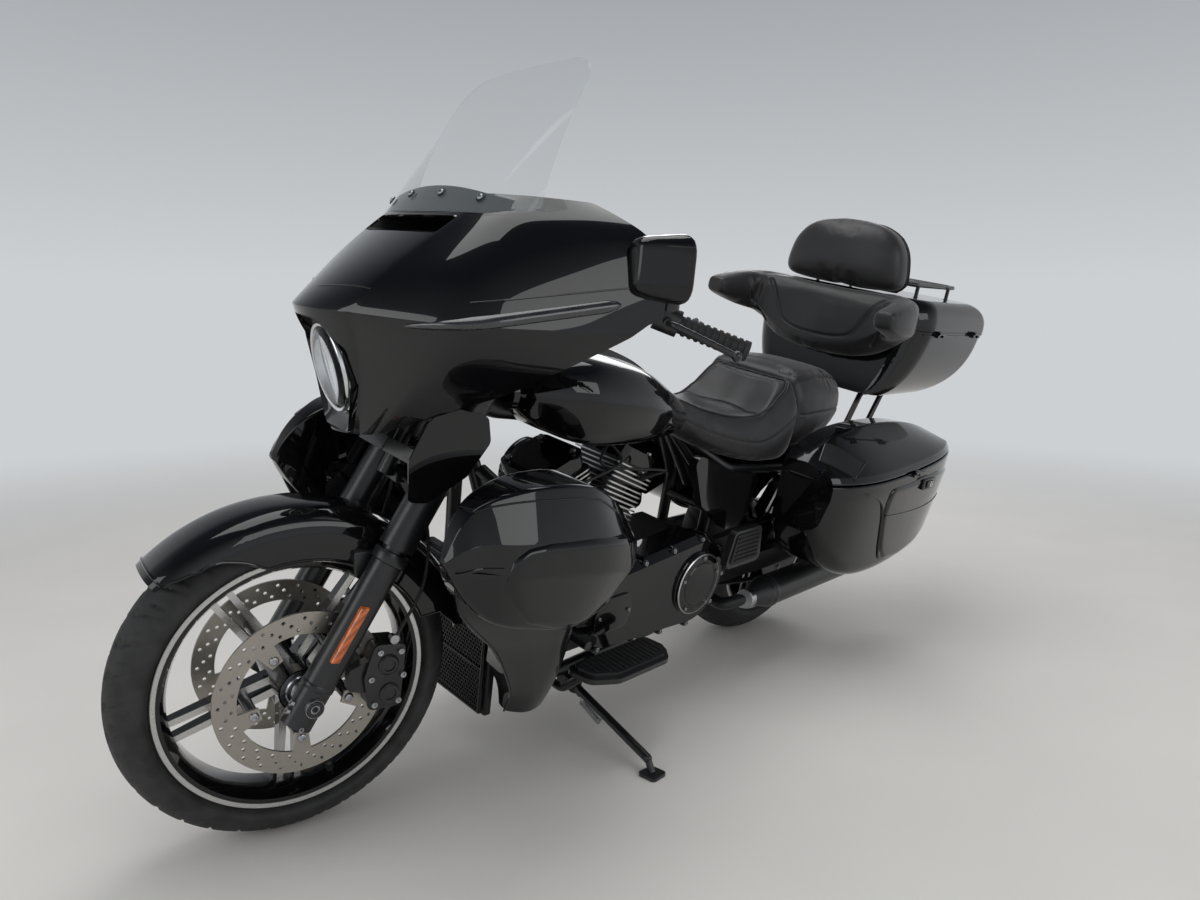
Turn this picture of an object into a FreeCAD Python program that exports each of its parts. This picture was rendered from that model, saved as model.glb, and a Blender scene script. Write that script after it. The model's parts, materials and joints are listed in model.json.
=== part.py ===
import FreeCAD, Part
import math
import os

V = FreeCAD.Vector

# Touring cruiser motorcycle, parked on its side stand.
# Every piece is drawn on an upright bike: X forward from the rear axle, Y to the rider's left,
# Z up from the ground, in mm. Then the steering group turns to rest, and the whole bike leans.

# Driving sizes
WHEELBASE = 1625.0
HEAD_ANGLE = math.radians(26.0)
TRAIL = 170.0
STEER_REST = math.radians(-13.0)      # bars turned to the right when parked
LEAN = math.radians(11.8)             # to the left, onto the stand

FRONT_R, FRONT_CROWN_R = 319.3, 68.0  # 130/60-19 tyre
REAR_R, REAR_CROWN_R = 327.6, 97.0    # 180/55-18 tyre
AXLE_R = 12.5
BORE_GAP = 0.05                       # radial, turning pin in its hole
SEAT_GAP = 0.3                        # a moving or shut piece over what it lies on

FORK_Y = 124.0
FORK_DIR = V(-math.sin(math.radians(29.25)), 0, math.cos(math.radians(29.25)))
SLIDER_R, FORK_TUBE_R, FORK_COVER_R = 30.0, 24.5, 34.0
DISC_R, DISC_IN_R, DISC_T, DISC_Y = 160.0, 118.0, 5.0, 88.0
HUB_R, HUB_END_Y = 42.0, 80.0

CRANK = V(880, 0, 360)
CYL_ANGLE = 22.5                      # degrees each side of upright
CLUTCH = V(560, 0, 352)
MUFFLER_Y, MUFFLER_Z = 226.0, 268.0
BELT_Y0, BELT_Y1, BELT_T = 98.0, 122.0, 5.0
PULLEY_GROOVE_R, FRONT_PULLEY_R = 112.0, 52.0

SHELL_T = 4.0                         # moulded panels
BAG_T = 4.0
SCREEN_T = 3.5
TOUR_SEAM_Z = 1060.0
TOUR_FRONT = -235.0                     # front wall of the top case at its seam
LID_GAP = 6.0                           # lids and what swings past fixed pieces
TOUR_HINGE = V(-500, 318, TOUR_SEAM_Z)  # lid opens from the right
BAG_HINGE = V(-120, 446, 668)           # lids open outward, hinged on their outer edge
STEER_LOCK = 33.0                       # degrees each way from straight

FRONT_AXLE = V(WHEELBASE, 0, FRONT_R)
REAR_AXLE = V(0, 0, REAR_R)
STEER_POINT = V(WHEELBASE + TRAIL, 0, 0)
STEER_AXIS = V(-math.sin(HEAD_ANGLE), 0, math.cos(HEAD_ANGLE))


# Shape helpers

def rounded(points, r=0.0):
    """Closed wire through corner points, each corner rounded by r (one value, or one each)."""
    n = len(points)
    radii = list(r) if isinstance(r, (list, tuple)) else [r] * n
    ends = []
    for i, c in enumerate(points):
        a, b = points[i - 1] - c, points[(i + 1) % n] - c
        if radii[i] <= 0:
            ends.append((c, None, c))
            continue
        ua, ub = V(a).normalize(), V(b).normalize()
        half = ua.getAngle(ub) / 2
        t = radii[i] / math.tan(half)
        mid = (ua + ub).normalize()
        centre = c + mid * (radii[i] / math.sin(half))
        ends.append((c + ua * t, centre - mid * radii[i], c + ub * t))
    edges = []
    for i in range(n):
        start, mid, end = ends[i]
        if mid is not None:
            edges.append(Part.Arc(start, mid, end).toShape())
        nxt = ends[(i + 1) % n][0]
        if (nxt - end).Length > 1e-4:
            edges.append(Part.makeLine(end, nxt))
    return Part.Wire(edges)


def on_x(x, yz, r=0.0):
    return rounded([V(x, y, z) for y, z in yz], r)


def on_y(y, xz, r=0.0):
    return rounded([V(x, y, z) for x, z in xz], r)


def on_z(z, xy, r=0.0):
    return rounded([V(x, y, z) for x, y in xy], r)


def prism(wire, along):
    return Part.Face(wire).extrude(along)


def plate_y(xz, y0, y1, r=0.0):
    return prism(on_y(y0, xz, r), V(0, y1 - y0, 0))


def plate_x(yz, x0, x1, r=0.0):
    return prism(on_x(x0, yz, r), V(x1 - x0, 0, 0))


def plate_z(xy, z0, z1, r=0.0):
    return prism(on_z(z0, xy, r), V(0, 0, z1 - z0))


def box(x0, x1, y0, y1, z0, z1):
    return Part.makeBox(x1 - x0, y1 - y0, z1 - z0, V(x0, y0, z0))


def cyl(a, b, r):
    return Part.makeCylinder(r, (b - a).Length, a, b - a)


def cone(a, b, ra, rb):
    return Part.makeCone(ra, rb, (b - a).Length, a, b - a)


def tube(a, b, r, ri):
    return cyl(a, b, r).cut(cyl(a, b, ri))


def loft(wires, ruled=False):
    return Part.makeLoft(wires, True, ruled)


def join(*shapes):
    flat = []
    for s in shapes:
        flat.extend(s if isinstance(s, (list, tuple)) else [s])
    return flat[0].multiFuse(flat[1:]) if len(flat) > 1 else flat[0]


def mirror(s):
    return s.mirror(V(0, 0, 0), V(0, 1, 0))


def revolve_y(ry, centre, r=0.0, angle=360.0, start=0.0):
    """Turn a profile of (radius, y) corners about the Y line through centre."""
    face = Part.Face(on_z(0, [(rad, y) for rad, y in ry], r))
    s = face.revolve(V(0, 0, 0), V(0, -1, 0), angle)
    s.rotate(V(0, 0, 0), V(0, -1, 0), start)
    s.translate(centre)
    return s


def revolve_x(xr):
    """Turn a profile of (x, radius) corners about the X axis."""
    return Part.Face(rounded([V(x, 0, r) for x, r in xr])).revolve(V(0, 0, 0), V(1, 0, 0), 360)


def pipe(points, r, bend=0.0, ri=0.0):
    """Bent tube through points, with one bend radius or one for each inner point."""
    n = len(points)
    bends = list(bend) if isinstance(bend, (list, tuple)) else [bend] * (n - 2)
    edges, last = [], points[0]
    for i in range(1, n - 1):
        c = points[i]
        ua, ub = (points[i - 1] - c).normalize(), (points[i + 1] - c).normalize()
        half = ua.getAngle(ub) / 2
        t = bends[i - 1] / math.tan(half)
        mid = (ua + ub).normalize()
        centre = c + mid * (bends[i - 1] / math.sin(half))
        start, end = c + ua * t, c + ub * t
        if (start - last).Length > 1e-4:
            edges.append(Part.makeLine(last, start))
        edges.append(Part.Arc(start, centre - mid * bends[i - 1], end).toShape())
        last = end
    edges.append(Part.makeLine(last, points[-1]))
    path = Part.Wire(edges)

    def sweep(radius):
        ring = Part.Wire(Part.makeCircle(radius, points[0], points[1] - points[0]))
        return path.makePipeShell([ring], True, False)
    return sweep(r).cut(sweep(ri)) if ri else sweep(r)


def biggest(s, keep=1):
    solids = sorted(s.Solids, key=lambda x: -x.Volume)[:keep]
    return solids[0] if keep == 1 else Part.makeCompound(solids)


def at(length, y=0.0):
    """Point on a fork leg line, length mm up from the axle."""
    return FRONT_AXLE + FORK_DIR * length + V(0, y, 0)


def hinge(p, fixed_wall, moving_wall):
    """Pin hinge along X at p. Walls are (y, z0, z1) where each leaf meets its shell."""
    pin_r, barrel, half = 2.5, 5.0, 12.0
    ends = []
    for x0, x1 in ((-28, -half - SEAT_GAP), (half + SEAT_GAP, 28)):
        y, z0, z1 = fixed_wall
        ends += [cyl(p + V(x0, 0, 0), p + V(x1, 0, 0), barrel), box(p.x + x0, p.x + x1, y, p.y, z0, z1)]
    fixed = join(ends, cyl(p - V(28, 0, 0), p + V(28, 0, 0), pin_r))
    y, z0, z1 = moving_wall
    moving = join(cyl(p - V(half, 0, 0), p + V(half, 0, 0), barrel),
                  box(p.x - half, p.x + half, y, p.y, z0, z1))
    return fixed, moving.cut(cyl(p - V(30, 0, 0), p + V(30, 0, 0), pin_r + BORE_GAP))


# Wheels

def wheel_tyre(centre, radius, crown, shoulder_y, side, bead):
    """side is (r, y) of the widest part, bead is (r, y) at the rim."""
    drop = crown - math.sqrt(crown ** 2 - shoulder_y ** 2)
    p = [V(r, y, 0) for r, y in ((bead[0], bead[1]), (bead[0] + 12.7, bead[1] + 1.4),
                                 (bead[0] + 14.0, bead[1] + 6.0), side,
                                 (radius - drop, shoulder_y))]
    top, inner = V(radius, 0, 0), V(radius - 11, 0, 0)
    m = [V(q.x, -q.y, 0) for q in p]
    line, arc = Part.makeLine, Part.Arc
    lip, lip_m = V(bead[0] + 7, bead[1] - 7, 0), V(bead[0] + 7, 7 - bead[1], 0)
    wire = Part.Wire([line(p[0], p[1]), line(p[1], p[2]), arc(p[2], p[3], p[4]).toShape(),
                      arc(p[4], top, m[4]).toShape(), arc(m[4], m[3], m[2]).toShape(),
                      line(m[2], m[1]), line(m[1], m[0]), line(m[0], lip_m),
                      arc(lip_m, inner, lip).toShape(), line(lip, p[0])])
    s = Part.Face(wire).revolve(V(0, 0, 0), V(0, 1, 0), 360)
    s.translate(centre)
    return s


def wheel_rim(centre, profile, hub_end, spoke_out, twin_gap, thick, bosses):
    """Barrel from (r, y) corners, hub, and five pairs of spokes. bosses: (r, y_end, size)."""
    barrel = revolve_y(profile, centre)
    hub = cyl(centre - V(0, hub_end, 0), centre + V(0, hub_end, 0), HUB_R)
    t_hub, t_rim = thick
    arms = []
    for i in range(5):
        for side in (-1, 1):
            arm = loft([
                rounded([V(30, y, z) for y, z in ((-t_hub, side * 13 - 8), (t_hub, side * 13 - 8),
                                                  (t_hub, side * 13 + 8), (-t_hub, side * 13 + 8))]),
                rounded([V(spoke_out, y, z) for y, z in
                         ((-t_rim, side * twin_gap - 6), (t_rim, side * twin_gap - 6),
                          (t_rim, side * twin_gap + 6), (-t_rim, side * twin_gap + 6))])], True)
            arm.rotate(V(0, 0, 0), V(0, 1, 0), 72 * i + 18)
            arm.translate(centre)
            arms.append(arm)
        for r, y_end, size in bosses:
            boss = cyl(V(r, 0, 0), V(r, y_end, 0), size)
            boss.rotate(V(0, 0, 0), V(0, 1, 0), 72 * i + 18)
            boss.translate(centre)
            arms.append(boss)
    bore = cyl(centre - V(0, 200, 0), centre + V(0, 200, 0), AXLE_R + BORE_GAP)
    return biggest(join(barrel, hub, arms).cut(bore))


def brake_disc(centre, y, r_out, r_in, lug_r, holes):
    """Flat ring with five lugs inward and holes (rows of (radius, count, turn))."""
    ring = tube(V(0, 0, 0), V(0, DISC_T, 0), r_out, r_in)
    lugs = []
    for i in range(5):
        lug = plate_y([(lug_r - 12, -12), (r_in + 8, -19), (r_in + 8, 19), (lug_r - 12, 12)], 0, DISC_T)
        lug.rotate(V(0, 0, 0), V(0, 1, 0), 72 * i + 18)
        lugs.append(lug)
    drills = []
    for radius, count, turn in holes:
        for i in range(count):
            a = 2 * math.pi * (i + turn) / count
            drills.append(Part.makeCylinder(3.5, DISC_T * 3, V(radius * math.cos(a), -DISC_T,
                                                              radius * math.sin(a)), V(0, 1, 0)))
    s = join(ring, lugs).cut(Part.makeCompound(drills))
    s.translate(centre + V(0, y - DISC_T / 2, 0))
    return biggest(s)


FRONT_RIM = [(254, 52), (254, 48.5), (241.3, 47), (241.3, 30), (228, 22),
             (228, -22), (241.3, -30), (241.3, -47), (254, -48.5), (254, -52),
             (236, -50), (222, -24), (222, 24), (236, 50)]
REAR_RIM = [(241.5, 77), (241.5, 73.5), (228.6, 72), (228.6, 52), (214, 44),
            (214, -44), (228.6, -52), (228.6, -72), (241.5, -73.5), (241.5, -77),
            (223, -75), (208, -44), (208, 44), (223, 75)]


def wheels():
    parts = {}
    parts["front_tyre"] = wheel_tyre(FRONT_AXLE, FRONT_R, FRONT_CROWN_R, 60, (266, 65), (241.5, 46.8))
    parts["front_rim"] = wheel_rim(FRONT_AXLE, FRONT_RIM, HUB_END_Y, 226, 17, (17, 11),
                                   [(92, 85.5, 11), (92, -85.5, 11)])
    holes = [(149, 24, 0), (138, 24, 0.33), (127, 24, 0.66)]
    parts["front_discs"] = Part.makeCompound([
        brake_disc(FRONT_AXLE, s * DISC_Y, DISC_R, DISC_IN_R, 92, holes) for s in (-1, 1)])
    parts["rear_tyre"] = wheel_tyre(REAR_AXLE, REAR_R, REAR_CROWN_R, 84, (256, 90), (228.8, 71.8))
    parts["rear_rim"] = wheel_rim(REAR_AXLE, REAR_RIM, 84, 212, 20, (22, 18),
                                  [(75, BELT_Y0 - 6, 10), (75, -94.5, 10)])
    parts["rear_disc"] = brake_disc(REAR_AXLE, -97, 150, 108, 75, [(138, 24, 0), (120, 24, 0.5)])
    rg = PULLEY_GROOVE_R
    pulley = revolve_y([(40, BELT_Y0 - 6), (rg - 2, BELT_Y0 - 6), (rg + 6, BELT_Y0 - 4),
                        (rg + 6, BELT_Y0 - 1), (rg, BELT_Y0 - 1), (rg, BELT_Y1 + 1),
                        (rg + 6, BELT_Y1 + 1), (rg + 6, BELT_Y1 + 3),
                        (60, BELT_Y1 + 3), (40, BELT_Y1 - 8)], REAR_AXLE)
    parts["rear_pulley"] = pulley
    return parts


# Fork, steering and front brake

def front_end():
    parts = {}
    top, low = 745.0, 480.0           # lengths along the leg: upper clamp, lower clamp
    legs = []
    for y in (-FORK_Y, FORK_Y):
        leg = join(cyl(at(-48, y), at(300, y), SLIDER_R),
                   cyl(at(292, y), at(330, y), FORK_TUBE_R),
                   cyl(at(318, y), at(low - 16, y), FORK_COVER_R),
                   cyl(at(low - 20, y), at(top, y), FORK_TUBE_R + 2))
        legs.append(leg)
    bore = cyl(FRONT_AXLE - V(0, 300, 0), FRONT_AXLE + V(0, 300, 0), AXLE_R)
    parts["fork_legs"] = Part.makeCompound([leg.cut(bore) for leg in legs])

    axle = join(cyl(FRONT_AXLE - V(0, 158, 0), FRONT_AXLE + V(0, 158, 0), AXLE_R),
                [cyl(FRONT_AXLE + V(0, s * (HUB_END_Y + SEAT_GAP), 0), FRONT_AXLE + V(0, s * 95, 0), 19)
                 for s in (-1, 1)],
                [cyl(FRONT_AXLE + V(0, s * 154, 0), FRONT_AXLE + V(0, s * 162, 0), 17) for s in (-1, 1)])
    # The left end is hollow, as the real spindle is.
    parts["front_axle"] = axle.cut(cyl(FRONT_AXLE + V(0, 122, 0), FRONT_AXLE + V(0, 170, 0), 6.0))

    # Clamps hold the legs; their stem turns in the neck of the frame.
    def clamp(length, reach):
        p = at(length)
        u, w = FORK_DIR, V(FORK_DIR.z, 0, -FORK_DIR.x)
        corners = [p - w * 38 + V(0, -150, 0), p - w * 38 + V(0, 150, 0), p + w * 30 + V(0, 165, 0),
                   p + w * reach + V(0, 60, 0), p + w * reach + V(0, -60, 0), p + w * 30 + V(0, -165, 0)]
        return prism(rounded([c - u * 14 for c in corners], 12), u * 28)
    stem_a = STEER_POINT + STEER_AXIS * 790
    stem_b = STEER_POINT + STEER_AXIS * 1110
    clamps = join(clamp(low, 95), clamp(top - 30, 100), cyl(stem_a, stem_b, 15))
    holes = [cyl(at(0, y), at(900, y), FORK_TUBE_R + 2) for y in (-FORK_Y, FORK_Y)]
    parts["fork_clamps"] = biggest(clamps.cut(holes).cut(parts["fork_legs"]))

    # Calipers grip the discs behind the legs.
    calipers = []
    for side in (-1, 1):
        c = FRONT_AXLE + V(-math.cos(math.radians(8)) * 138, 0, math.sin(math.radians(8)) * 138)
        body = plate_y([(c.x - 38, c.z - 62), (c.x + 22, c.z - 62), (c.x + 34, c.z + 4),
                        (c.x + 14, c.z + 66), (c.x - 46, c.z + 60)], side * (DISC_Y - 26),
                       side * (DISC_Y + 34), 12)
        slot = cyl(FRONT_AXLE + V(0, side * (DISC_Y - 5.5), 0), FRONT_AXLE + V(0, side * (DISC_Y + 5.5), 0),
                   DISC_R + 4)
        arm = plate_y([(c.x + 10, c.z - 34), (c.x + 62, c.z - 20), (c.x + 62, c.z + 22),
                       (c.x + 10, c.z + 40)],
                      side * (DISC_Y + 12), side * (DISC_Y + 34), 6)
        cal = join(body, arm).cut([slot, parts["fork_legs"]])
        calipers.append(biggest(cal))
    parts["front_calipers"] = Part.makeCompound(calipers)

    # Fender: a crown with side skirts, short at the front and deep by the fork.
    outer = [(258, 86), (300, 86), (330, 82), (348, 58), (354, 30),
             (354, -30), (348, -58), (330, -82), (300, -86), (258, -86)]
    inner = [(250, 82), (299, 82), (327, 79), (344, 55), (350, 29),
             (350, -29), (344, -55), (327, -79), (299, -82), (250, -82)]
    ring = revolve_y(outer, FRONT_AXLE, 0, 131, 43).cut(revolve_y(inner, FRONT_AXLE, 0, 135, 41))
    fx, fz = FRONT_AXLE.x, FRONT_AXLE.z
    front_trim = plate_y([(fx + 40, fz + 100), (fx + 60, fz + 262), (fx + 150, fz + 274),
                          (fx + 225, fz + 244), (fx + 290, fz + 204), (fx + 330, fz - 20),
                          (fx + 40, fz - 20)],
                         -120, 120, [10, 60, 60, 20, 5, 5, 5])
    rear_trim = plate_y([(fx - 420, fz - 60), (fx - 420, fz + 60), (fx - 322, fz + 76), (fx - 268, fz + 120),
                         (fx - 238, fz + 90), (fx - 180, fz - 60)], -120, 120)
    fender = biggest(ring.cut([front_trim, rear_trim]))
    stays = [plate_y([(fx - 150, fz + 218), (fx - 96, fz + 218), (fx - 88, fz + 262), (fx - 160, fz + 262)],
                     s * 80, s * 97, 5) for s in (-1, 1)]
    fender = join(fender, stays).cut(parts["fork_legs"])
    parts["front_fender"] = biggest(fender)
    return parts


# Fork-mounted fairing. Plan sections, one row each:
# z, nose x, set-back and half width of the nose, shoulder (x, y), tail (x, y)
FAIRING_LOW = [
    (800, 1556, 26, 62, (1512, 92), (1490, 104)),
    (880, 1578, 40, 92, (1488, 180), (1370, 218)),
    (960, 1604, 52, 112, (1468, 262), (1240, 330)),
    (1028, 1628, 50, 130, (1455, 318), (1130, 410)),
]
FAIRING_HIGH = [
    (1028, 1628, 50, 130, (1455, 318), (1130, 410)),
    (1120, 1526, 22, 166, (1438, 276), (1116, 412)),
    (1200, 1424, 16, 184, (1368, 258), (1140, 366)),
    (1254, 1358, 16, 176, (1300, 240), (1196, 276)),
]
LAMP_CENTRE = V(1556, 0, 920)
LAMP_TILT = 14.0                      # degrees, the lamp's face leans forward at the top


def plan_wire(row, off=0.0, back=0.0):
    z, nose, setback, nw, (sx, sy), (tx, ty) = row
    pts = [V(nose + off, 0, z), V(nose - setback + off, nw + off * 0.6, z), V(sx + off * 0.5, sy + off, z),
           V(tx - back, ty + off, z)]
    m = [V(p.x, -p.y, z) for p in pts]
    return Part.Wire([Part.Arc(m[1], pts[0], pts[1]).toShape(), Part.makeLine(pts[1], pts[2]),
                      Part.makeLine(pts[2], pts[3]), Part.makeLine(pts[3], m[3]),
                      Part.makeLine(m[3], m[2]), Part.makeLine(m[2], m[1])])


def fairing_block(off=0.0, back=0.0):
    low = loft([plan_wire(r, off, back) for r in FAIRING_LOW])
    high = loft([plan_wire(r, off, back) for r in FAIRING_HIGH])
    return join(low, high)


def fairing():
    parts = {}
    outer = fairing_block()
    hollow = join(fairing_block(-SHELL_T - 1, 160),
                  loft([plan_wire((z - 30 if i == 0 else z, *rest), -SHELL_T - 1, 160) for i, (z, *rest)
                        in enumerate(FAIRING_LOW[:2])]))
    shell = outer.cut(hollow)
    lamp_hole = plate_x([(-62, 806), (62, 806), (100, 900), (100, 960), (58, 1014), (-58, 1014),
                         (-100, 960), (-100, 900)], 1500, 1700, 18)
    vent = plate_x([(-170, 1176), (170, 1176), (178, 1212), (-178, 1212)], 1350, 1600, 8)
    # The lower edge rises from the chin to the wing tips.
    under = plate_y([(1600, 780), (1600, 792), (1520, 806), (1330, 906), (1204, 1008), (1140, 1058),
                     (1000, 1060), (1000, 780)], -500, 500)
    shell = biggest(shell.cut([lamp_hole, vent, under]))
    parts["fairing_shell"] = shell

    # Headlamp, drawn about its own centre: a round lens in a shield-shaped bezel, with a chin lamp.
    lens = cyl(V(-60, 0, 0), V(16, 0, 0), 84)
    bezel = plate_x([(-56, -106), (56, -106), (95, -18), (95, 40), (54, 96), (-54, 96), (-95, 40),
                     (-95, -18)], -26, -6, 16)
    chin = plate_x([(-44, -102), (44, -102), (58, -76), (-58, -76)], -10, 4, 6)
    lamp = join(lens, bezel, chin)
    lamp.rotate(V(0, 0, 0), V(0, 1, 0), LAMP_TILT)
    lamp.translate(LAMP_CENTRE)
    parts["headlamp"] = lamp

    # Deflector panels beside the fork legs, below the fairing.
    side = [(1466, 694), (1430, 690), (1350, 736), (1304, 800), (1312, 850), (1400, 872), (1436, 840),
            (1470, 770)]
    panels = [plate_y(side, s * 160, s * (160 + SHELL_T), [10, 20, 30, 20, 14, 14, 14, 20]) for s in (1, -1)]
    parts["fork_deflectors"] = Part.makeCompound(panels)

    # Turn signal strips rise rearward along the wings.
    skin = fairing_block(3.0).cut(outer)
    band = [(1520, 1010), (1200, 1076), (1200, 1092), (1520, 1026)]
    strips = skin.common(join(plate_y(band, 120, 480), plate_y(band, -480, -120)))
    parts["signal_strips"] = biggest(strips, 2)

    dash = loft([on_x(1180, [(-385, 1060), (-300, 985), (300, 985), (385, 1060), (300, 1205),
                             (-300, 1205)], 30),
                 on_x(1250, [(-330, 1040), (-250, 960), (250, 960), (330, 1040), (255, 1215),
                             (-255, 1215)], 30)])
    parts["fairing_inner"] = biggest(dash.common(fairing_block(-SHELL_T - 1 - SEAT_GAP, 160)))
    return parts


def windscreen():
    # z, front x, radius and half angle of the front arc, radius and end angle of the side arcs
    rows = [(1214, 1420, 800, 13, 116, 84), (1372, 1300, 1150, 10, 170, 34), (1540, 1176, 1700, 6.5, 300, 14)]

    def band(row):
        z, front, r1, a1, r2, a2 = row
        a1, a2 = math.radians(a1), math.radians(a2)
        c1 = V(front - r1, 0, z)
        c2 = c1 + V((r1 - r2) * math.cos(a1), (r1 - r2) * math.sin(a1), 0)

        def on(centre, r, a):
            return centre + V(r * math.cos(a), r * math.sin(a), 0)
        edges = []
        for t in (0.0, SCREEN_T):
            nose, turn_in = on(c1, r1 - t, 0), on(c1, r1 - t, a1)
            mid, end = on(c2, r2 - t, (a1 + a2) / 2), on(c2, r2 - t, a2)
            m = [V(p.x, -p.y, z) for p in (turn_in, mid, end)]
            edges.append([Part.Arc(m[2], m[1], m[0]).toShape(), Part.Arc(m[0], nose, turn_in).toShape(),
                          Part.Arc(turn_in, mid, end).toShape(), end, m[2]])
        (o1, o2, o3, oe, om), (i1, i2, i3, ie, im) = edges
        return Part.Wire([o1, o2, o3, Part.makeLine(oe, ie), i3, i2, i1, Part.makeLine(im, om)])
    trim = plate_x([(-330, 1216), (330, 1216), (330, 1360), (214, 1512), (-214, 1512), (-330, 1360)],
                   1000, 1500, [5, 5, 100, 90, 90, 100])
    return {"windscreen": biggest(loft([band(r) for r in rows]).common(trim))}


def bars():
    parts = {}
    half = [V(1288, 45, 985), V(1282, 45, 1046), V(1262, 200, 1064), V(1120, 330, 1080), V(952, 452, 1020)]
    left = pipe(half, 12.7, [30, 60, 60])
    middle = cyl(V(1282, -50, 1046), V(1282, 50, 1046), 12.7)
    bar = join(left, mirror(left), middle)
    parts["handlebar"] = bar
    g = (half[4] - half[3]).normalize()
    a, b = half[4] - g * 128, half[4] + g * 4
    grips = []
    for s in (1, -1):
        pa, pb = V(a.x, s * a.y, a.z), V(b.x, s * b.y, b.z)
        u = (pb - pa).normalize()
        ribs = [cyl(pa + u * (8 + 13 * i), pa + u * (14 + 13 * i), 19) for i in range(9)]
        grips.append(join(cyl(pa, pb, 16.5), ribs, cyl(pb - u * 8, pb + u * 2, 19)).cut(
            cyl(pa - u * 5, pb - u * 4, 12.7)))
    parts["grips"] = Part.makeCompound(grips)
    controls = []
    for s in (1, -1):
        pa = V(a.x, s * a.y, a.z) - V(g.x, s * g.y, g.z) * 2
        u = V(g.x, s * g.y, g.z)
        house = cyl(pa - u * 46, pa, 25)
        # Lever from the housing, ahead of the grip, with a ball end.
        fwd = V(0.5, s * 0.72, -0.1).normalize()
        p0 = pa - u * 24 + fwd * 18
        p1 = p0 + fwd * 30
        p2 = V(pa.x, pa.y, pa.z) + u * 126 + V(58, s * 46, -8)
        lever = join(cyl(p0, p1, 9), pipe([p1 - fwd * 4, p1 + V(4, s * 18, 0), p2], 6, 14),
                     Part.makeSphere(9.5, p2))
        cap = cyl(pa - u * 24 + V(0, 0, 10), pa - u * 24 + V(0, 0, 40), 21)
        controls.append(join(house, lever, cap).cut(cyl(pa - u * 60, pa + u * 5, 12.7)))
    parts["hand_controls"] = Part.makeCompound([biggest(c.cut(parts["grips"])) for c in controls])
    mirrors = []
    for s in (1, -1):
        body = loft([on_x(1176, [(s * 372, 1104), (s * 420, 1104), (s * 420, 1200), (s * 372, 1200)], 14),
                     on_x(1100, [(s * 366, 1092), (s * 462, 1092), (s * 462, 1212), (s * 366, 1212)], 22)])
        mirrors.append(body)
    parts["mirrors"] = Part.makeCompound(mirrors)
    return parts


# Frame, engine and running gear

def frame():
    neck_a, neck_b = STEER_POINT + STEER_AXIS * 882, STEER_POINT + STEER_AXIS * 1050
    neck = cyl(neck_a, neck_b, 31)
    spine = pipe([V(1375, 0, 880), V(1180, 0, 828), V(560, 0, 748), V(400, 0, 560)], 24, [90, 60])
    down, rails = [], []
    for s in (-1, 1):
        down.append(pipe([V(1400, s * 8, 838), V(1250, s * 26, 725), V(1165, s * 108, 400),
                          V(1140, s * 110, 165), V(450, s * 74, 165), V(400, s * 74, 330),
                          V(400, s * 74, 560), V(560, s * 20, 735)], 16, [40, 60, 80, 60, 60, 60]))
        rails.append(pipe([V(560, s * 20, 735), V(420, s * 128, 640), V(-330, s * 128, 560)], 14, [60]))
    cross = [cyl(V(x, -y, z), V(x, y, z), 13) for x, y, z in ((1080, 104, 165), (500, 75, 165),
                                                             (400, 74, 500))]
    tail = cyl(V(-300, -128, 563), V(-300, 128, 563), 12)
    pivot = join(cyl(V(412, -130, 330), V(412, 130, 330), 26), cyl(V(412, -164, 330), V(412, 164, 330), 12))
    f = join(neck, spine, down, rails, cross, tail, pivot)
    return {"frame": biggest(f.cut(cyl(neck_a - STEER_AXIS * 20, neck_b + STEER_AXIS * 20,
                                       15 + BORE_GAP)))}


def running_gear():
    parts = {}
    arms = []
    for s in (-1, 1):
        arm = plate_y([(440, 300), (440, 362), (120, 356), (-46, 350), (-46, 302), (120, 296)],
                      s * 130, s * 160, 12)
        arms.append(arm)
    brace = box(334, 356, -132, 132, 306, 352)
    swing = join(arms, brace).cut([cyl(V(412, -200, 330), V(412, 200, 330), 12),
                                   cyl(REAR_AXLE - V(0, 200, 0), REAR_AXLE + V(0, 200, 0), AXLE_R)])
    parts["swingarm"] = swing
    axle = join(cyl(REAR_AXLE - V(0, 176, 0), REAR_AXLE + V(0, 176, 0), AXLE_R),
                [cyl(REAR_AXLE + V(0, s * 160, 0), REAR_AXLE + V(0, s * 170, 0), 20) for s in (-1, 1)],
                [cyl(REAR_AXLE + V(0, s * (84 + SEAT_GAP), 0), REAR_AXLE + V(0, s * 130, 0), 18)
                 for s in (-1, 1)])
    parts["rear_axle"] = axle
    shocks = []
    for s in (-1, 1):
        a, b = V(60, s * 172, 352), V(150, s * 172, 580)
        u = (b - a).normalize()
        body = join(cyl(a + u * 6, a + u * 110, 20), cyl(a + u * 100, b - u * 4, 15),
                    [cyl(a + u * (112 + 11 * i), a + u * (118 + 11 * i), 20) for i in range(10)],
                    cyl(V(a.x, s * 160, a.z), V(a.x, s * 190, a.z), 15),
                    cyl(V(b.x, s * 128, b.z), V(b.x, s * 190, b.z), 13))
        shocks.append(body)
    parts["rear_shocks"] = Part.makeCompound(shocks)
    return parts


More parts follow.
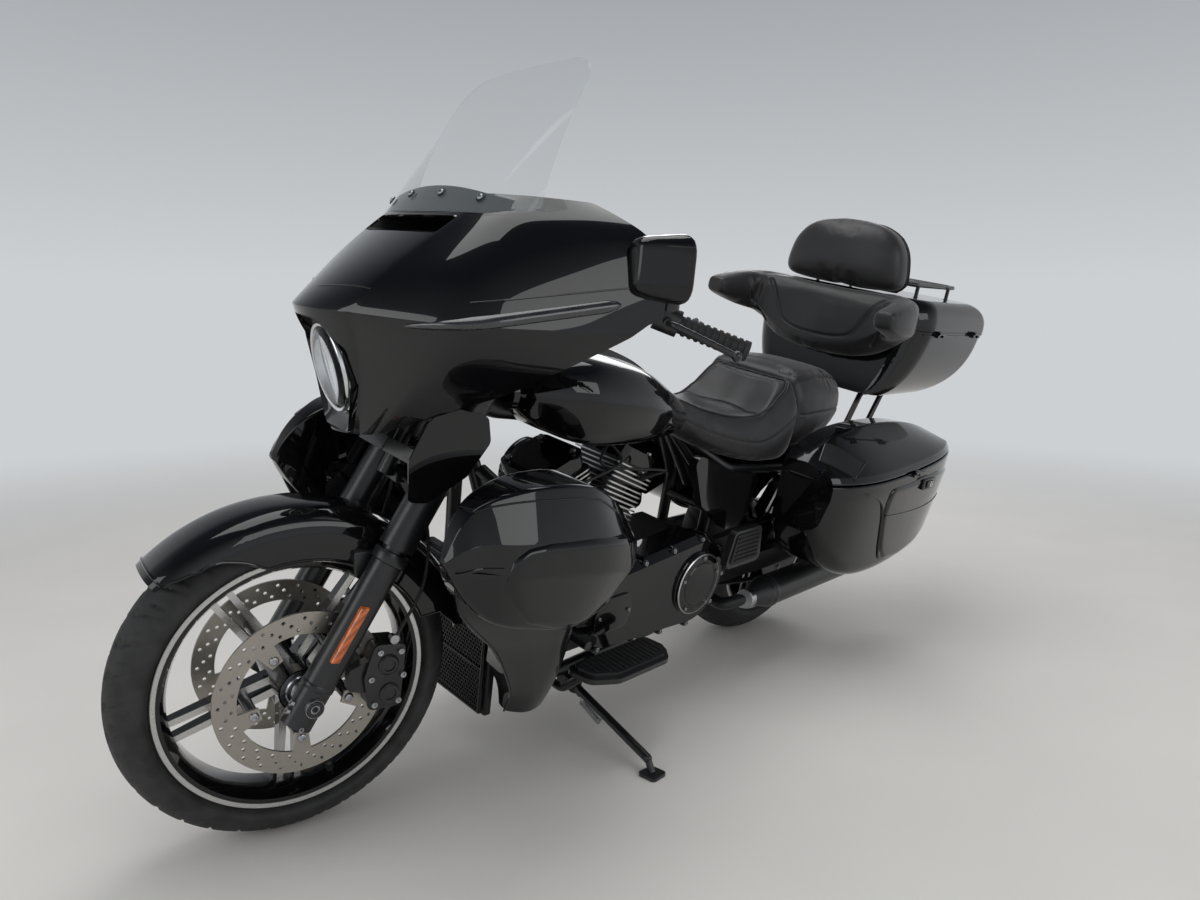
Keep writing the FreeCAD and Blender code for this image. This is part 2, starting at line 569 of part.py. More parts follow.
def round_ends(c1, r1, c2, r2, y):
    """Outline around two circles and their outer tangents, in the plane at y."""
    d = c2 - c1
    ang, tilt = math.atan2(d.z, d.x), math.asin((r1 - r2) / d.Length)
    pts = []
    for c, r, s in ((c1, r1, 1), (c2, r2, 1), (c2, r2, -1), (c1, r1, -1)):
        a = ang + s * (math.pi / 2 - tilt)
        pts.append(V(c.x + r * math.cos(a), y, c.z + r * math.sin(a)))
    far = V(c2.x + r2 * math.cos(ang), y, c2.z + r2 * math.sin(ang))
    near = V(c1.x - r1 * math.cos(ang), y, c1.z - r1 * math.sin(ang))
    return Part.Wire([Part.makeLine(pts[0], pts[1]), Part.Arc(pts[1], far, pts[2]).toShape(),
                      Part.makeLine(pts[2], pts[3]), Part.Arc(pts[3], near, pts[0]).toShape()])


def drive_belt():
    inner = (REAR_AXLE, PULLEY_GROOVE_R + SEAT_GAP, CLUTCH, FRONT_PULLEY_R, BELT_Y0)
    outer = (REAR_AXLE, PULLEY_GROOVE_R + SEAT_GAP + BELT_T, CLUTCH, FRONT_PULLEY_R + BELT_T, BELT_Y0)
    width = V(0, BELT_Y1 - BELT_Y0, 0)
    return {"drive_belt": prism(round_ends(*outer), width).cut(prism(round_ends(*inner), width))}


def along_cylinder(side, dist, y=0.0):
    a = math.radians(CYL_ANGLE) * side
    return CRANK + V(math.sin(a) * dist, y, math.cos(a) * dist)


def tilted_plate(side, d0, d1, half_x, half_y, r):
    """Rounded slab square to a cylinder's axis, from d0 to d1 above the crank."""
    a = math.radians(CYL_ANGLE) * side
    w = V(math.cos(a), 0, -math.sin(a))
    c = along_cylinder(side, d0)
    pts = [c - w * half_x + V(0, -half_y, 0), c + w * half_x + V(0, -half_y, 0),
           c + w * half_x + V(0, half_y, 0), c - w * half_x + V(0, half_y, 0)]
    return prism(rounded(pts, r), (along_cylinder(side, d1) - c))


def engine():
    parts = {}
    case = join(plate_y([(720, 250), (760, 205), (1010, 205), (1060, 260), (1060, 420), (960, 480),
                         (790, 480), (700, 430)], -112, 96, 20),
                plate_y([(430, 250), (470, 215), (740, 215), (740, 440), (470, 440), (430, 400)],
                        -96, 92, 20))
    barrels, rockers = [], []
    for s in (-1, 1):
        stack = [cyl(along_cylinder(s, 110), along_cylinder(s, 300), 58)]
        stack += [tilted_plate(s, 138 + 12 * i, 142.5 + 12 * i, 76, 80, 24) for i in range(12)]
        stack.append(tilted_plate(s, 282, 334, 66, 74, 18))
        stack += [tilted_plate(s, 286 + 12 * i, 290.5 + 12 * i, 80, 84, 20) for i in range(4)]
        barrels.append(join(stack).cut(case))
        rockers.append(tilted_plate(s, 334, 370, 74, 76, 26))
    # The fins of the two cylinders meet near the crank, where the front stack gives way.
    barrels[1] = biggest(barrels[1].cut(barrels[0]))
    parts["engine_case"] = biggest(case)
    parts["cylinders"] = Part.makeCompound([biggest(b) for b in barrels])
    parts["rocker_covers"] = Part.makeCompound([biggest(r) for r in rockers])

    front_c = V(890, 0, 345)
    primary = join(prism(round_ends(CLUTCH, 132, front_c, 104, 96), V(0, 74, 0)),
                   loft([round_ends(CLUTCH, 132, front_c, 104, 170),
                         round_ends(CLUTCH, 116, front_c, 90, 190)], True),
                   cyl(CLUTCH + V(0, 186, 0), CLUTCH + V(0, 200, 0), 88))
    belt_room = box(300, 560, 90, 126, 220, 500)
    parts["primary_cover"] = biggest(primary.cut([belt_room, box(300, 640, 90, 126, 290, 415)]))

    cam = join(plate_y([(770, 290), (850, 230), (960, 250), (990, 360), (930, 440), (820, 440)],
                       -112, -150, 24),
               [pipe([V(880 + dx, -138, 430), V(880 + dx + lean, -118, 640)], 9)
                for dx, lean in ((-26, -122), (-62, -122), (26, 122), (62, 122))])
    parts["cam_cover"] = biggest(cam.cut([case, parts["cylinders"]]))
    cleaner = join(cyl(V(880, -104, 590), V(880, -196, 590), 84),
                   cyl(V(880, -30, 560), V(880, -110, 590), 32))
    parts["air_cleaner"] = biggest(cleaner.cut([parts["cylinders"], parts["cam_cover"],
                                                parts["rocker_covers"]]))
    return parts


def exhaust():
    z, y = MUFFLER_Z, MUFFLER_Y
    muffs = []
    for s in (-1, 1):
        can = revolve_x([(330, 0), (330, 25), (250, 46), (-330, 46), (-425, 38), (-425, 32), (-340, 34),
                         (-340, 0)])
        can.translate(V(0, s * y, z))
        slash = plate_y([(-384, z - 58), (-460, z - 58), (-460, z + 62), (-430, z + 62)], s * 150, s * 330)
        muffs.append(can.cut(slash))
    front = pipe([V(1010, -70, 600), V(1062, -120, 590), V(1084, -176, 420), V(1020, -192, 250),
                  V(480, -204, z), V(327, -y, z)], 21, [30, 60, 60, 60])
    rear = pipe([V(710, -70, 600), V(650, -150, 580), V(610, -190, 420), V(560, -203, 250)], 21,
                [30, 50])
    # The crossover runs under the belt, behind the gearbox.
    low = z - 36
    cross = pipe([V(424, -214, z), V(372, -176, low), V(372, 176, low), V(327, y, z)], 18, [30, 40])
    return {"exhaust": join(front, rear, cross, muffs)}


# Bodywork

def section(x, w, zb, zm, zt, top=0.55, r=30.0):
    """Six-corner body section: half width w, bottom zb, widest zm, top zt."""
    return on_x(x, [(-w * 0.9, zb), (w * 0.9, zb), (w, zm), (w * top, zt), (-w * top, zt), (-w, zm)], r)


def tank():
    # x, half width, bottom, widest z, top
    rows = [(1180, 84, 822, 866, 914), (1104, 148, 790, 862, 952), (990, 182, 768, 852, 961),
            (820, 176, 762, 830, 928), (640, 118, 757, 796, 842)]
    body = loft([section(*r, r=26) for r in rows])
    tunnel = plate_y([(1240, 700), (1240, 847), (600, 764), (600, 700)], -34, 34)
    cap = cyl(V(1010, -60, 950), V(1010, -60, 984), 34)
    console = loft([on_x(1110, [(-44, 930), (44, 930), (30, 978), (-30, 978)], 8),
                    on_x(900, [(-48, 900), (48, 900), (34, 966), (-34, 966)], 8),
                    on_x(650, [(-34, 800), (34, 800), (22, 860), (-22, 860)], 8)])
    tank_solid = biggest(body.cut(tunnel))
    return {"fuel_tank": tank_solid, "tank_console": biggest(join(console, cap).cut(tank_solid))}


def seats():
    # x, half width, bottom, widest z, top
    rows = [(638, 74, 760, 800, 846), (520, 120, 700, 754, 808), (350, 180, 664, 722, 778),
            (276, 190, 664, 748, 802), (205, 190, 680, 800, 872), (60, 180, 700, 822, 890),
            (-150, 124, 730, 818, 872)]
    return {"seat": loft([section(*r, 0.62, 22) for r in rows])}


def bags():
    parts = {}
    # x, inner y, outer y, bottom z, seam z, lid top z
    rows = [(262, 205, 372, 500, 646, 690), (150, 198, 420, 372, 652, 742), (-80, 195, 438, 340, 664, 768),
            (-300, 195, 432, 366, 680, 762), (-470, 210, 392, 450, 690, 736)]

    def body_wire(row, t=0.0, lift=0.0):
        x, yi, yo, zb, zs, zl = row
        return on_x(x, [(yi + t, zb + t), (yo - 24 - t, zb + t), (yo - t, zs - 40), (yo - t, zs + lift),
                        (yi + t, zs + lift)], [14, 50, 12, 6, 6])

    def lid_wire(row, t=0.0, drop=0.0):
        x, yi, yo, zb, zs, zl = row
        return on_x(x, [(yi + t, zs - drop), (yo - t, zs - drop), (yo - 16 - t, zs + 22 - t),
                        (yi + 70, zl - t), (yi + t, zl - 6 - t)], [5, 5, 12, 30, 10])

    def inset(rows_in):
        out = [list(r) for r in rows_in]
        out[0][0] -= BAG_T * 2
        out[-1][0] += BAG_T
        return out
    gap = 2.0
    body = loft([body_wire(r) for r in rows]).cut(
        loft([body_wire(r, BAG_T, 40) for r in inset(rows)]))
    lid_rows = [(x, yi, yo, zb, zs + gap, zl) for x, yi, yo, zb, zs, zl in rows]
    lid = loft([lid_wire(r) for r in lid_rows]).cut(
        loft([lid_wire(r, BAG_T, 30) for r in inset(lid_rows)]))
    h = BAG_HINGE
    fixed, moving = hinge(h, (h.y - 13, h.z - 13, h.z - 3.5), (h.y - 13, h.z + 2, h.z + 5))
    body, lid = join(body, fixed), join(lid, moving)
    parts["saddlebag_left"] = biggest(body)
    parts["saddlebag_right"] = mirror(parts["saddlebag_left"])
    parts["bag_lid_left"] = biggest(lid)
    parts["bag_lid_right"] = mirror(parts["bag_lid_left"])
    return parts


def tour():
    parts = {}

    def ring(z, x0, x1, w, r, t=0.0):
        return on_z(z, [(x0 - t, -w + t), (x0 - t, w - t), (x1 + t, w - t), (x1 + t, -w + t)], r - t * 0.6)
    # z, front x, rear x, half width, corner radius
    base = [(838, -190, -560, 214, 50), (920, -216, -738, 274, 70), (TOUR_SEAM_Z, TOUR_FRONT, -780, 304, 80)]
    t = SHELL_T
    outer = loft([ring(*r) for r in base])
    inner = loft([ring(z + (t if i == 0 else 0) + (1 if i == 2 else 0), x0, x1, w, r, t)
                  for i, (z, x0, x1, w, r) in enumerate(base)])
    parts["tour_box"] = biggest(outer.cut(inner))
    lid = [(TOUR_SEAM_Z + 2, TOUR_FRONT, -791, 308, 80), (TOUR_SEAM_Z + 58, TOUR_FRONT - 5, -776, 300, 80),
           (TOUR_SEAM_Z + 92, TOUR_FRONT - 27, -706, 262, 80)]
    outer = loft([ring(*r) for r in lid])
    inner = loft([ring(z + (-1 if i == 0 else 0) + (-t if i == 2 else 0), x0, x1, w, r, t)
                  for i, (z, x0, x1, w, r) in enumerate(lid)])
    parts["tour_lid"] = outer.cut(inner)
    for dx in (-150, 150):
        h = TOUR_HINGE + V(dx, 0, 0)
        fixed, moving = hinge(h, (h.y - 15.5, h.z - 14, h.z - 2.5), (h.y - 12.5, h.z + 2.5, h.z + 5))
        parts["tour_box"] = join(parts["tour_box"], fixed)
        parts["tour_lid"] = join(parts["tour_lid"], moving)
    parts["tour_lid"] = biggest(parts["tour_lid"])

    # Backrest: a centre pad with arms that wrap forward. It stays when the lid opens.
    xb, zt = TOUR_FRONT + LID_GAP, TOUR_SEAM_Z + 94
    centre = loft([on_z(928, [(xb, -176), (xb, 176), (-112, 176), (-112, -176)], 24),
                   on_z(1040, [(xb, -236), (xb, 236), (-116, 236), (-116, -236)], 24),
                   on_z(zt, [(xb, -262), (xb, 262), (-156, 262), (-156, -262)], 24)])
    arms = []
    for s in (1, -1):
        back_end = [(s * 206, 1036), (s * 322, 1030), (s * 334, zt - 6), (s * 206, zt)]
        middle = [(s * 226, 1044), (s * 326, 1040), (s * 334, zt - 16), (s * 226, zt - 4)]
        tip = [(s * 252, 1058), (s * 326, 1054), (s * 332, 1118), (s * 252, 1124)]
        arms.append(loft([on_x(xb, back_end, 20), on_x(-80, middle, 20), on_x(40, tip, 20)]))
    parts["backrest"] = biggest(join(centre, arms).cut([outer, parts["tour_box"]]))
    zp = zt + 14
    top = loft([on_z(zp, [(-278, -182), (-278, 182), (-188, 182), (-188, -182)], 28),
                on_z(zp + 70, [(-284, -200), (-284, 200), (-186, 200), (-186, -200)], 28),
                on_z(zp + 140, [(-292, -176), (-292, 176), (-200, 176), (-200, -176)], 28),
                on_z(zp + 182, [(-290, -124), (-290, 124), (-218, 124), (-218, -124)], 28)])
    foot = plate_z([(-262, -120), (-262, 120), (-330, 120), (-330, -120)], TOUR_SEAM_Z + 60, zp + 40, 10)
    parts["backrest_top"] = biggest(join(top, foot).cut([outer, inner]))
    # Luggage rack on the lid: a bent rail on feet, with three slats.
    zr = TOUR_SEAM_Z + 132
    rail = pipe([V(-330, 150, zr), V(-360, 190, zr), V(-760, 168, zr), V(-760, -168, zr),
                 V(-360, -190, zr), V(-330, -150, zr)], 7, [20, 60, 60, 20])
    feet = [cyl(V(x, y, TOUR_SEAM_Z + 70), V(x, y, zr), 6) for x in (-400, -650) for y in (-181, 181)]
    slats = [cyl(V(x, -184, zr), V(x, 184, zr), 5) for x in (-420, -530, -640)]
    parts["luggage_rack"] = biggest(join(rail, feet, slats).cut([outer, inner]))
    # Frame tubes carrying the case, from the seat rails.
    posts = []
    for s in (-1, 1):
        posts.append(pipe([V(-60, s * 150, 596), V(-160, s * 158, 720), V(-240, s * 150, 832),
                           V(-540, s * 150, 832)], 9, [60, 30]))
        posts.append(cyl(V(-250, s * 150, 575), V(-400, s * 150, 832), 9))
    ties = [cyl(V(x, -150, z), V(x, 150, z), 8) for x, z in ((-280, 829), (-510, 829))]
    parts["tour_rack"] = biggest(join(posts, ties).cut(parts["tour_box"]))
    return parts


def rear_body():
    parts = {}
    outer = [(372, 100), (384, 80), (388, 40), (388, -40), (384, -80), (372, -100), (280, -112),
             (280, 112)]
    inner = [(368, 96), (380, 77), (384, 39), (384, -39), (380, -77), (368, -96), (270, -108),
             (270, 108)]
    fender = revolve_y([outer[-1]] + outer[:-1], REAR_AXLE, 0, 132, 42).cut(
        revolve_y([inner[-1]] + inner[:-1], REAR_AXLE, 0, 150, 34))
    parts["rear_fender"] = biggest(fender)
    lamps = [plate_x([(s * 40, 560), (s * 150, 560), (s * 150, 610), (s * 40, 610)], -392, -430, 14)
             for s in (-1, 1)]
    bar = box(-400, -388, -160, 160, 566, 604)
    parts["rear_lamps"] = join(lamps, bar)
    covers = []
    for s in (-1, 1):
        c = plate_y([(640, 720), (430, 640), (300, 620), (330, 500), (420, 470), (560, 560)],
                    s * 138, s * 162, 20)
        covers.append(c)
    parts["side_covers"] = Part.makeCompound(covers)
    return parts


def lower_body():
    parts = {}
    # Lower fairing, one side: x, inner y, outer y, bottom z, top z
    rows = [(1470, 262, 318, 560, 700), (1360, 256, 392, 500, 782), (1200, 250, 408, 480, 760),
            (1040, 262, 350, 520, 660)]
    lowers = []
    for s in (1, -1):
        top = loft([on_x(x, [(s * yi, zb), (s * (yo - 26), zb), (s * yo, (zb + zt) / 2), (s * (yo - 34), zt),
                             (s * yi, zt)], 10) for x, yi, yo, zb, zt in rows])
        chin = loft([on_x(1228, [(s * 134, 150), (s * 186, 166), (s * 300, 520), (s * 134, 520)], 14),
                     on_x(1100, [(s * 134, 176), (s * 200, 186), (s * 300, 540), (s * 134, 540)], 14)])
        lowers.append(join(top, chin))
    parts["lower_fairings"] = Part.makeCompound([biggest(x) for x in lowers])
    # Cooler behind a mesh, low between the down tubes.
    parts["radiator_grilles"] = join(
        loft([on_z(136, [(1186, -124), (1186, 124), (1206, 124), (1206, -124)], 6),
              on_z(480, [(1206, -130), (1206, 130), (1230, 130), (1230, -130)], 6)]),
        loft([on_z(150, [(1206, -108), (1206, 108), (1211, 108), (1211, -108)], 2),
              on_z(466, [(1226, -114), (1226, 114), (1235, 114), (1235, -114)], 2)]))
    guard = []
    for s in (1, -1):
        guard.append(pipe([V(1180, s * 118, 260), V(1190, s * 220, 300), V(1215, s * 292, 440),
                           V(1240, s * 300, 640), V(1250, s * 60, 712)], 14, [40, 60, 60]))
    parts["engine_guard"] = Part.makeCompound(guard)
    boards = []
    for s in (1, -1):
        board = plate_z([(812, s * 236), (802, s * 300), (836, s * 338), (1010, s * 338), (1074, s * 306),
                         (1090, s * 236)], 268, 280, [20, 24, 30, 50, 30, 20])
        arms = [pipe([V(x, s * 112, 176), V(x, s * 180, 176), V(x, s * 260, 262)], 10, [30])
                for x in (850, 1020)]
        pad = plate_z([(822, s * 244), (812, s * 298), (842, s * 328), (1004, s * 328), (1062, s * 300),
                       (1078, s * 244)], 280, 290, [16, 20, 26, 44, 26, 16])
        boards.append(join(board, arms, pad))
    pegs = []
    for s in (1, -1):
        peg = plate_y([(330, 392), (500, 392), (480, 500), (350, 500)], s * 214, s * 234, 18)
        arm = cyl(V(415, s * 128, 330), V(415, s * 222, 400), 11)
        pegs.append(join(peg, arm))
    parts["floorboards"] = Part.makeCompound(boards + pegs)
    shifter = join(cyl(V(990, 100, 310), V(990, 226, 310), 9),
                   plate_y([(980, 300), (1072, 344), (1080, 360), (980, 322)], 216, 226, 4),
                   cyl(V(1072, 216, 352), V(1072, 280, 352), 11))
    brake = join(cyl(V(975, -140, 316), V(975, -226, 316), 9),
                 plate_y([(965, 306), (1080, 344), (1076, 356), (965, 326)], -216, -226, 3),
                 box(1040, 1084, -280, -214, 350, 362))
    parts["foot_controls"] = Part.makeCompound([shifter, brake])
    return parts


# Stance

def turn(v, axis, angle):
    return FreeCAD.Rotation(axis, math.degrees(angle)).multVec(v)


def stance():
    """Pitch and lift that put both tyres on the ground once the bike leans."""
    def lowest(pitch):
        out = []
        for centre, ring, crown, steer in (
                (FRONT_AXLE, FRONT_R - FRONT_CROWN_R, FRONT_CROWN_R, STEER_REST),
                (REAR_AXLE, REAR_R - REAR_CROWN_R, REAR_CROWN_R, 0.0)):
            c, a = V(centre), V(0, 1, 0)
            if steer:
                c = turn(c - STEER_POINT, STEER_AXIS, steer) + STEER_POINT
                a = turn(a, STEER_AXIS, steer)
            for ax, ang in ((V(1, 0, 0), -LEAN), (V(0, 1, 0), pitch)):
                c, a = turn(c, ax, ang), turn(a, ax, ang)
            out.append(c.z - ring * math.sqrt(max(0.0, 1 - a.z ** 2)) - crown)
        return out
    low, high = -0.05, 0.05
    for _ in range(60):
        mid = (low + high) / 2
        f, r = lowest(mid)
        low, high = (mid, high) if f > r else (low, mid)
    return low, -lowest(low)[1]


PITCH, LIFT = stance()


def lean_placement():
    r = FreeCAD.Rotation(V(0, 1, 0), math.degrees(PITCH)).multiply(
        FreeCAD.Rotation(V(1, 0, 0), -math.degrees(LEAN)))
    return FreeCAD.Placement(V(0, 0, LIFT), r)


def steer_placement(extra=0.0):
    r = FreeCAD.Rotation(STEER_AXIS, math.degrees(STEER_REST + extra))
    return FreeCAD.Placement(STEER_POINT - r.multVec(STEER_POINT), r)


def to_bike(p):
    """A point of the finished stance back in the upright bike."""
    return lean_placement().inverse().multVec(p)


# Side stand. It swings about STAND_AXIS; deployed, the load presses it forward onto its stop.
STAND_PIVOT = V(940, 150, 142)
STAND_FOOT_WORLD = V(985, 462, 0)
STAND_STOWED = V(-1, 0.10, -0.03)
STAND_PIN_R = 6.0


def stand_lines():
    foot = to_bike(STAND_FOOT_WORLD)
    up = (to_bike(STAND_FOOT_WORLD + V(0, 0, 100)) - foot).normalize()
    out = (foot - STAND_PIVOT).normalize()
    return foot, up, out, out.cross(STAND_STOWED).normalize()


def stand():
    foot, up, out, axis = stand_lines()
    knee = foot + up * 26 - out * 18
    straight = (knee - STAND_PIVOT).normalize()
    across = straight.cross(axis).normalize() * 9
    away = axis.cross(across).normalize() * 34
    root = STAND_PIVOT - axis * 8
    neck = prism(rounded([root - across, root + across, root + across + away, root - across + away]),
                 axis * 16)
    leg = join(cyl(STAND_PIVOT + straight * 19, knee, 10.5), Part.makeSphere(10.5, knee),
               cyl(knee, foot + up * 5, 8), neck)
    pad = prism(rounded([foot + V(x, y, -(up.x * x + up.y * y) / up.z) for x, y in
                         ((-22, -20), (24, -24), (26, 26), (-22, 24))], 10), up * 7)
    eye = cyl(STAND_PIVOT - axis * 8, STAND_PIVOT + axis * 8, 15)
    pin_hole = cyl(STAND_PIVOT - axis * 30, STAND_PIVOT + axis * 30, STAND_PIN_R + BORE_GAP)
    return {"side_stand": biggest(join(leg, pad, eye).cut(pin_hole))}


def stand_bracket():
    """Fork of two plates on the left frame rail, with the pin the stand swings on."""
    axis = stand_lines()[3]
    outward = axis.cross(V(1, 0, 0)).normalize()
    side = outward.cross(axis).normalize()
    plates = []
    for a, b in ((-13, -8.3), (8.3, 13)):
        c = STAND_PIVOT + axis * a
        plates.append(join(cyl(c, c + axis * (b - a), 15),
                           prism(rounded([c - side * 15, c + side * 15, c + side * 15 - outward * 48,
                                          c - side * 15 - outward * 48]), axis * (b - a))))
    web_at = STAND_PIVOT - axis * 13 - outward * 22
    web = prism(rounded([web_at - side * 15, web_at + side * 15, web_at + side * 15 - outward * 26,
                         web_at - side * 15 - outward * 26]), axis * 26)
    pin = cyl(STAND_PIVOT - axis * 16, STAND_PIVOT + axis * 16, STAND_PIN_R)
    return join(plates, web, pin)


STEERED = ["fork_legs", "fork_clamps", "fork_deflectors", "front_axle", "front_calipers",
           "front_fender", "fairing_shell", "fairing_inner", "headlamp", "signal_strips",
           "windscreen", "handlebar", "grips", "hand_controls", "mirrors"]
FRONT_WHEEL = ["front_tyre", "front_rim", "front_discs"]
REAR_WHEEL = ["rear_tyre", "rear_rim", "rear_disc", "rear_pulley"]


# A piece on the left gives way to the pieces on the right where they meet, so they share a face.
TRIMS = [
    ("engine_case", ["frame"]),
    ("primary_cover", ["frame", "engine_case", "swingarm"]),
    ("fuel_tank", ["frame"]),
    ("seat", ["frame", "rear_fender", "fuel_tank", "tank_console"]),
    ("rear_fender", ["frame", "rear_shocks"]),
    ("rear_shocks", ["frame", "swingarm"]),
    ("exhaust", ["frame", "engine_case", "cylinders", "cam_cover"]),
    ("side_covers", ["frame"]),
    ("tour_rack", ["frame"]),
    ("windscreen", ["fairing_shell"]),
    ("fork_deflectors", ["fairing_shell", "fork_legs", "fork_clamps"]),
    ("radiator_grilles", ["frame"]),
    ("engine_guard", ["frame", "radiator_grilles"]),
    ("lower_fairings", ["engine_guard", "frame", "radiator_grilles", "exhaust", "cylinders"]),
    ("floorboards", ["frame", "swingarm", "exhaust"]),
    ("foot_controls", ["engine_case", "primary_cover", "frame", "cam_cover", "exhaust"]),
    ("mirrors", ["fairing_shell", "hand_controls"]),
    ("fairing_inner", ["handlebar", "fork_legs", "fork_clamps", "headlamp"]),
    ("headlamp", ["fairing_shell"]),
    ("front_axle", ["fork_legs"]),
]


def upright():
    """Every node as drawn on the upright bike."""
    parts = {}
    for group in (wheels, front_end, fairing, windscreen, bars, frame, running_gear, drive_belt, engine,
                  exhaust, tank, seats, bags, tour, rear_body, lower_body, stand):
        parts.update(group())
    parts["frame"] = biggest(join(parts["frame"], stand_bracket()))
    for name, others in TRIMS:
        count = len(parts[name].Solids)
        trimmed = parts[name].cut([parts[o] for o in others])
        parts[name] = biggest(trimmed, count)
    return parts


def placed(parts):
    """The bike at rest: bars turned, leaning on its stand, centred over the origin."""
    lean = lean_placement()
    out = {}
    for name, shape in parts.items():
        pl = lean
        if name in STEERED or name in FRONT_WHEEL:
            pl = lean.multiply(steer_placement())
        s = shape.copy()
        s.Placement = pl.multiply(s.Placement)
        out[name] = s
    whole = Part.makeCompound(list(out.values())).optimalBoundingBox(True)
    shift = V(-(whole.XMin + whole.XMax) / 2, -(whole.YMin + whole.YMax) / 2, -whole.ZMin)
    for s in out.values():
        s.translate(shift)
    return out, shift


if __name__ == "__main__":
    os.makedirs("parts", exist_ok=True)
    final, shift = placed(upright())
    for name, shape in final.items():
        shape.exportStep(os.path.join("parts", name + ".step"))
    print(len(final), "nodes, shift", shift)
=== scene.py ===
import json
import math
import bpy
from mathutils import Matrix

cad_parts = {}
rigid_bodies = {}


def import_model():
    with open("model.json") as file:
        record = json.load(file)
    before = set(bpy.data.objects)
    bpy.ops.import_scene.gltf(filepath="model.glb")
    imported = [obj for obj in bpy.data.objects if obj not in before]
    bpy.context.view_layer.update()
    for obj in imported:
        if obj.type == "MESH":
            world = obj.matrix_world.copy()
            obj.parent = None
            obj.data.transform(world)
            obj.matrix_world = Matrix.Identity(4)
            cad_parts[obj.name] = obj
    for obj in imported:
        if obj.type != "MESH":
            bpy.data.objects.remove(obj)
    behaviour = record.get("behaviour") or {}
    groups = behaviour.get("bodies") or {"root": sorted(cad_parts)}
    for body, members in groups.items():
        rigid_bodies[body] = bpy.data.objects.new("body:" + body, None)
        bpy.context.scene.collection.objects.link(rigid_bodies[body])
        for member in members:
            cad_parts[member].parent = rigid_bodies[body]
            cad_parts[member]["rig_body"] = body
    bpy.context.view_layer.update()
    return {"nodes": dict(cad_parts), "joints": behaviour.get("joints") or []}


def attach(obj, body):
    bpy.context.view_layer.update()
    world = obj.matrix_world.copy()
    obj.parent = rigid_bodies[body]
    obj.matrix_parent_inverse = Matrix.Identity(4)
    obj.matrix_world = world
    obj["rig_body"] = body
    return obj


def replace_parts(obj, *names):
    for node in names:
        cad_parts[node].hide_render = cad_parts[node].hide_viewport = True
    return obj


bl_info = {
    "name": "Touring cruiser motorcycle",
    "version": (1, 0, 0),
    "blender": (4, 5, 0),
    "location": "View3D > Sidebar > Motorcycle",
    "description": "Dresses the packed touring motorcycle with its finishes, soft goods and small parts",
    "category": "Object",
}

from contextlib import contextmanager

import bmesh
import bpy
from mathutils import Matrix, Vector
from mathutils.bvhtree import BVHTree
from mathutils.kdtree import KDTree

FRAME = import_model()
NODES = FRAME["nodes"]
JOINTS = {j["name"]: j for j in FRAME["joints"]}

# Every piece is drawn on the upright, straight bike in millimetres, as the CAD is: X forward from the
# rear axle, Y to the rider's left, Z up. These turn it into the parked stance.
PITCH, LEAN = -0.0023561590940, math.radians(11.8)
STEER_REST, HEAD_ANGLE = math.radians(-13.0), math.radians(26.0)
REAR_AXLE = Vector((0.0, 0.0, 327.6))
FRONT_AXLE = Vector((1625.0, 0.0, 319.3))
STEER_FOOT = Vector((1795.0, 0.0, 0.0))
STEER_AXIS = Vector((-math.sin(HEAD_ANGLE), 0.0, math.cos(HEAD_ANGLE)))
FORK_DIR = Vector((-math.sin(math.radians(29.25)), 0.0, math.cos(math.radians(29.25))))
TURN = Matrix.Rotation(PITCH, 4, "Y") @ Matrix.Rotation(-LEAN, 4, "X")
SHIFT = Vector(JOINTS["rear_wheel_spin"]["pos_m"]) * 1000 - TURN @ REAR_AXLE
PARKED = Matrix.Scale(0.001, 4) @ Matrix.Translation(SHIFT) @ TURN
STEERED = (PARKED @ Matrix.Translation(STEER_FOOT) @ Matrix.Rotation(STEER_REST, 4, STEER_AXIS)
           @ Matrix.Translation(-STEER_FOOT))
PLACE = {"steering": STEERED, "front_wheel": STEERED}


def linear(hex_colour):
    """An sRGB hex value as the linear colour that a socket takes."""
    out = []
    for i in (0, 2, 4):
        c = int(hex_colour[i:i + 2], 16) / 255
        out.append(c / 12.92 if c <= 0.04045 else ((c + 0.055) / 1.055) ** 2.4)
    return (*out, 1.0)


# Settings

class MotoFinishSettings(bpy.types.PropertyGroup):
    paint: bpy.props.FloatVectorProperty(
        name="Paint", description="Colour of the painted bodywork", subtype="COLOR", size=4,
        min=0, max=1, default=linear("0A0A0C"))
    satin: bpy.props.FloatVectorProperty(
        name="Powder coat", description="Colour of the frame, forks and bars", subtype="COLOR", size=4,
        min=0, max=1, default=linear("121315"))
    leather: bpy.props.FloatVectorProperty(
        name="Seat cover", description="Colour of the seats and backrest", subtype="COLOR", size=4,
        min=0, max=1, default=linear("1B1B1D"))
    reflector: bpy.props.FloatVectorProperty(
        name="Reflectors", description="Colour of the fork reflectors", subtype="COLOR", size=4,
        min=0, max=1, default=linear("D0641A"))
    tail_lens: bpy.props.FloatVectorProperty(
        name="Tail lens", description="Colour of the rear lamps", subtype="COLOR", size=4,
        min=0, max=1, default=linear("8E0F12"))


class MotoStageSettings(bpy.types.PropertyGroup):
    floor: bpy.props.FloatVectorProperty(
        name="Floor", description="Colour of the studio floor", subtype="COLOR", size=4,
        min=0, max=1, default=linear("D6D4D0"))
    lens: bpy.props.FloatProperty(
        name="Lens", description="Focal length on a 36 mm sensor", subtype="DISTANCE_CAMERA",
        default=26.01, min=10, max=200)
    key_light: bpy.props.FloatProperty(
        name="Key light", description="Power of the large light overhead", unit="POWER",
        default=70.0, min=0, max=2000)


def settings(name):
    return getattr(bpy.context.scene, name)


# Node trees

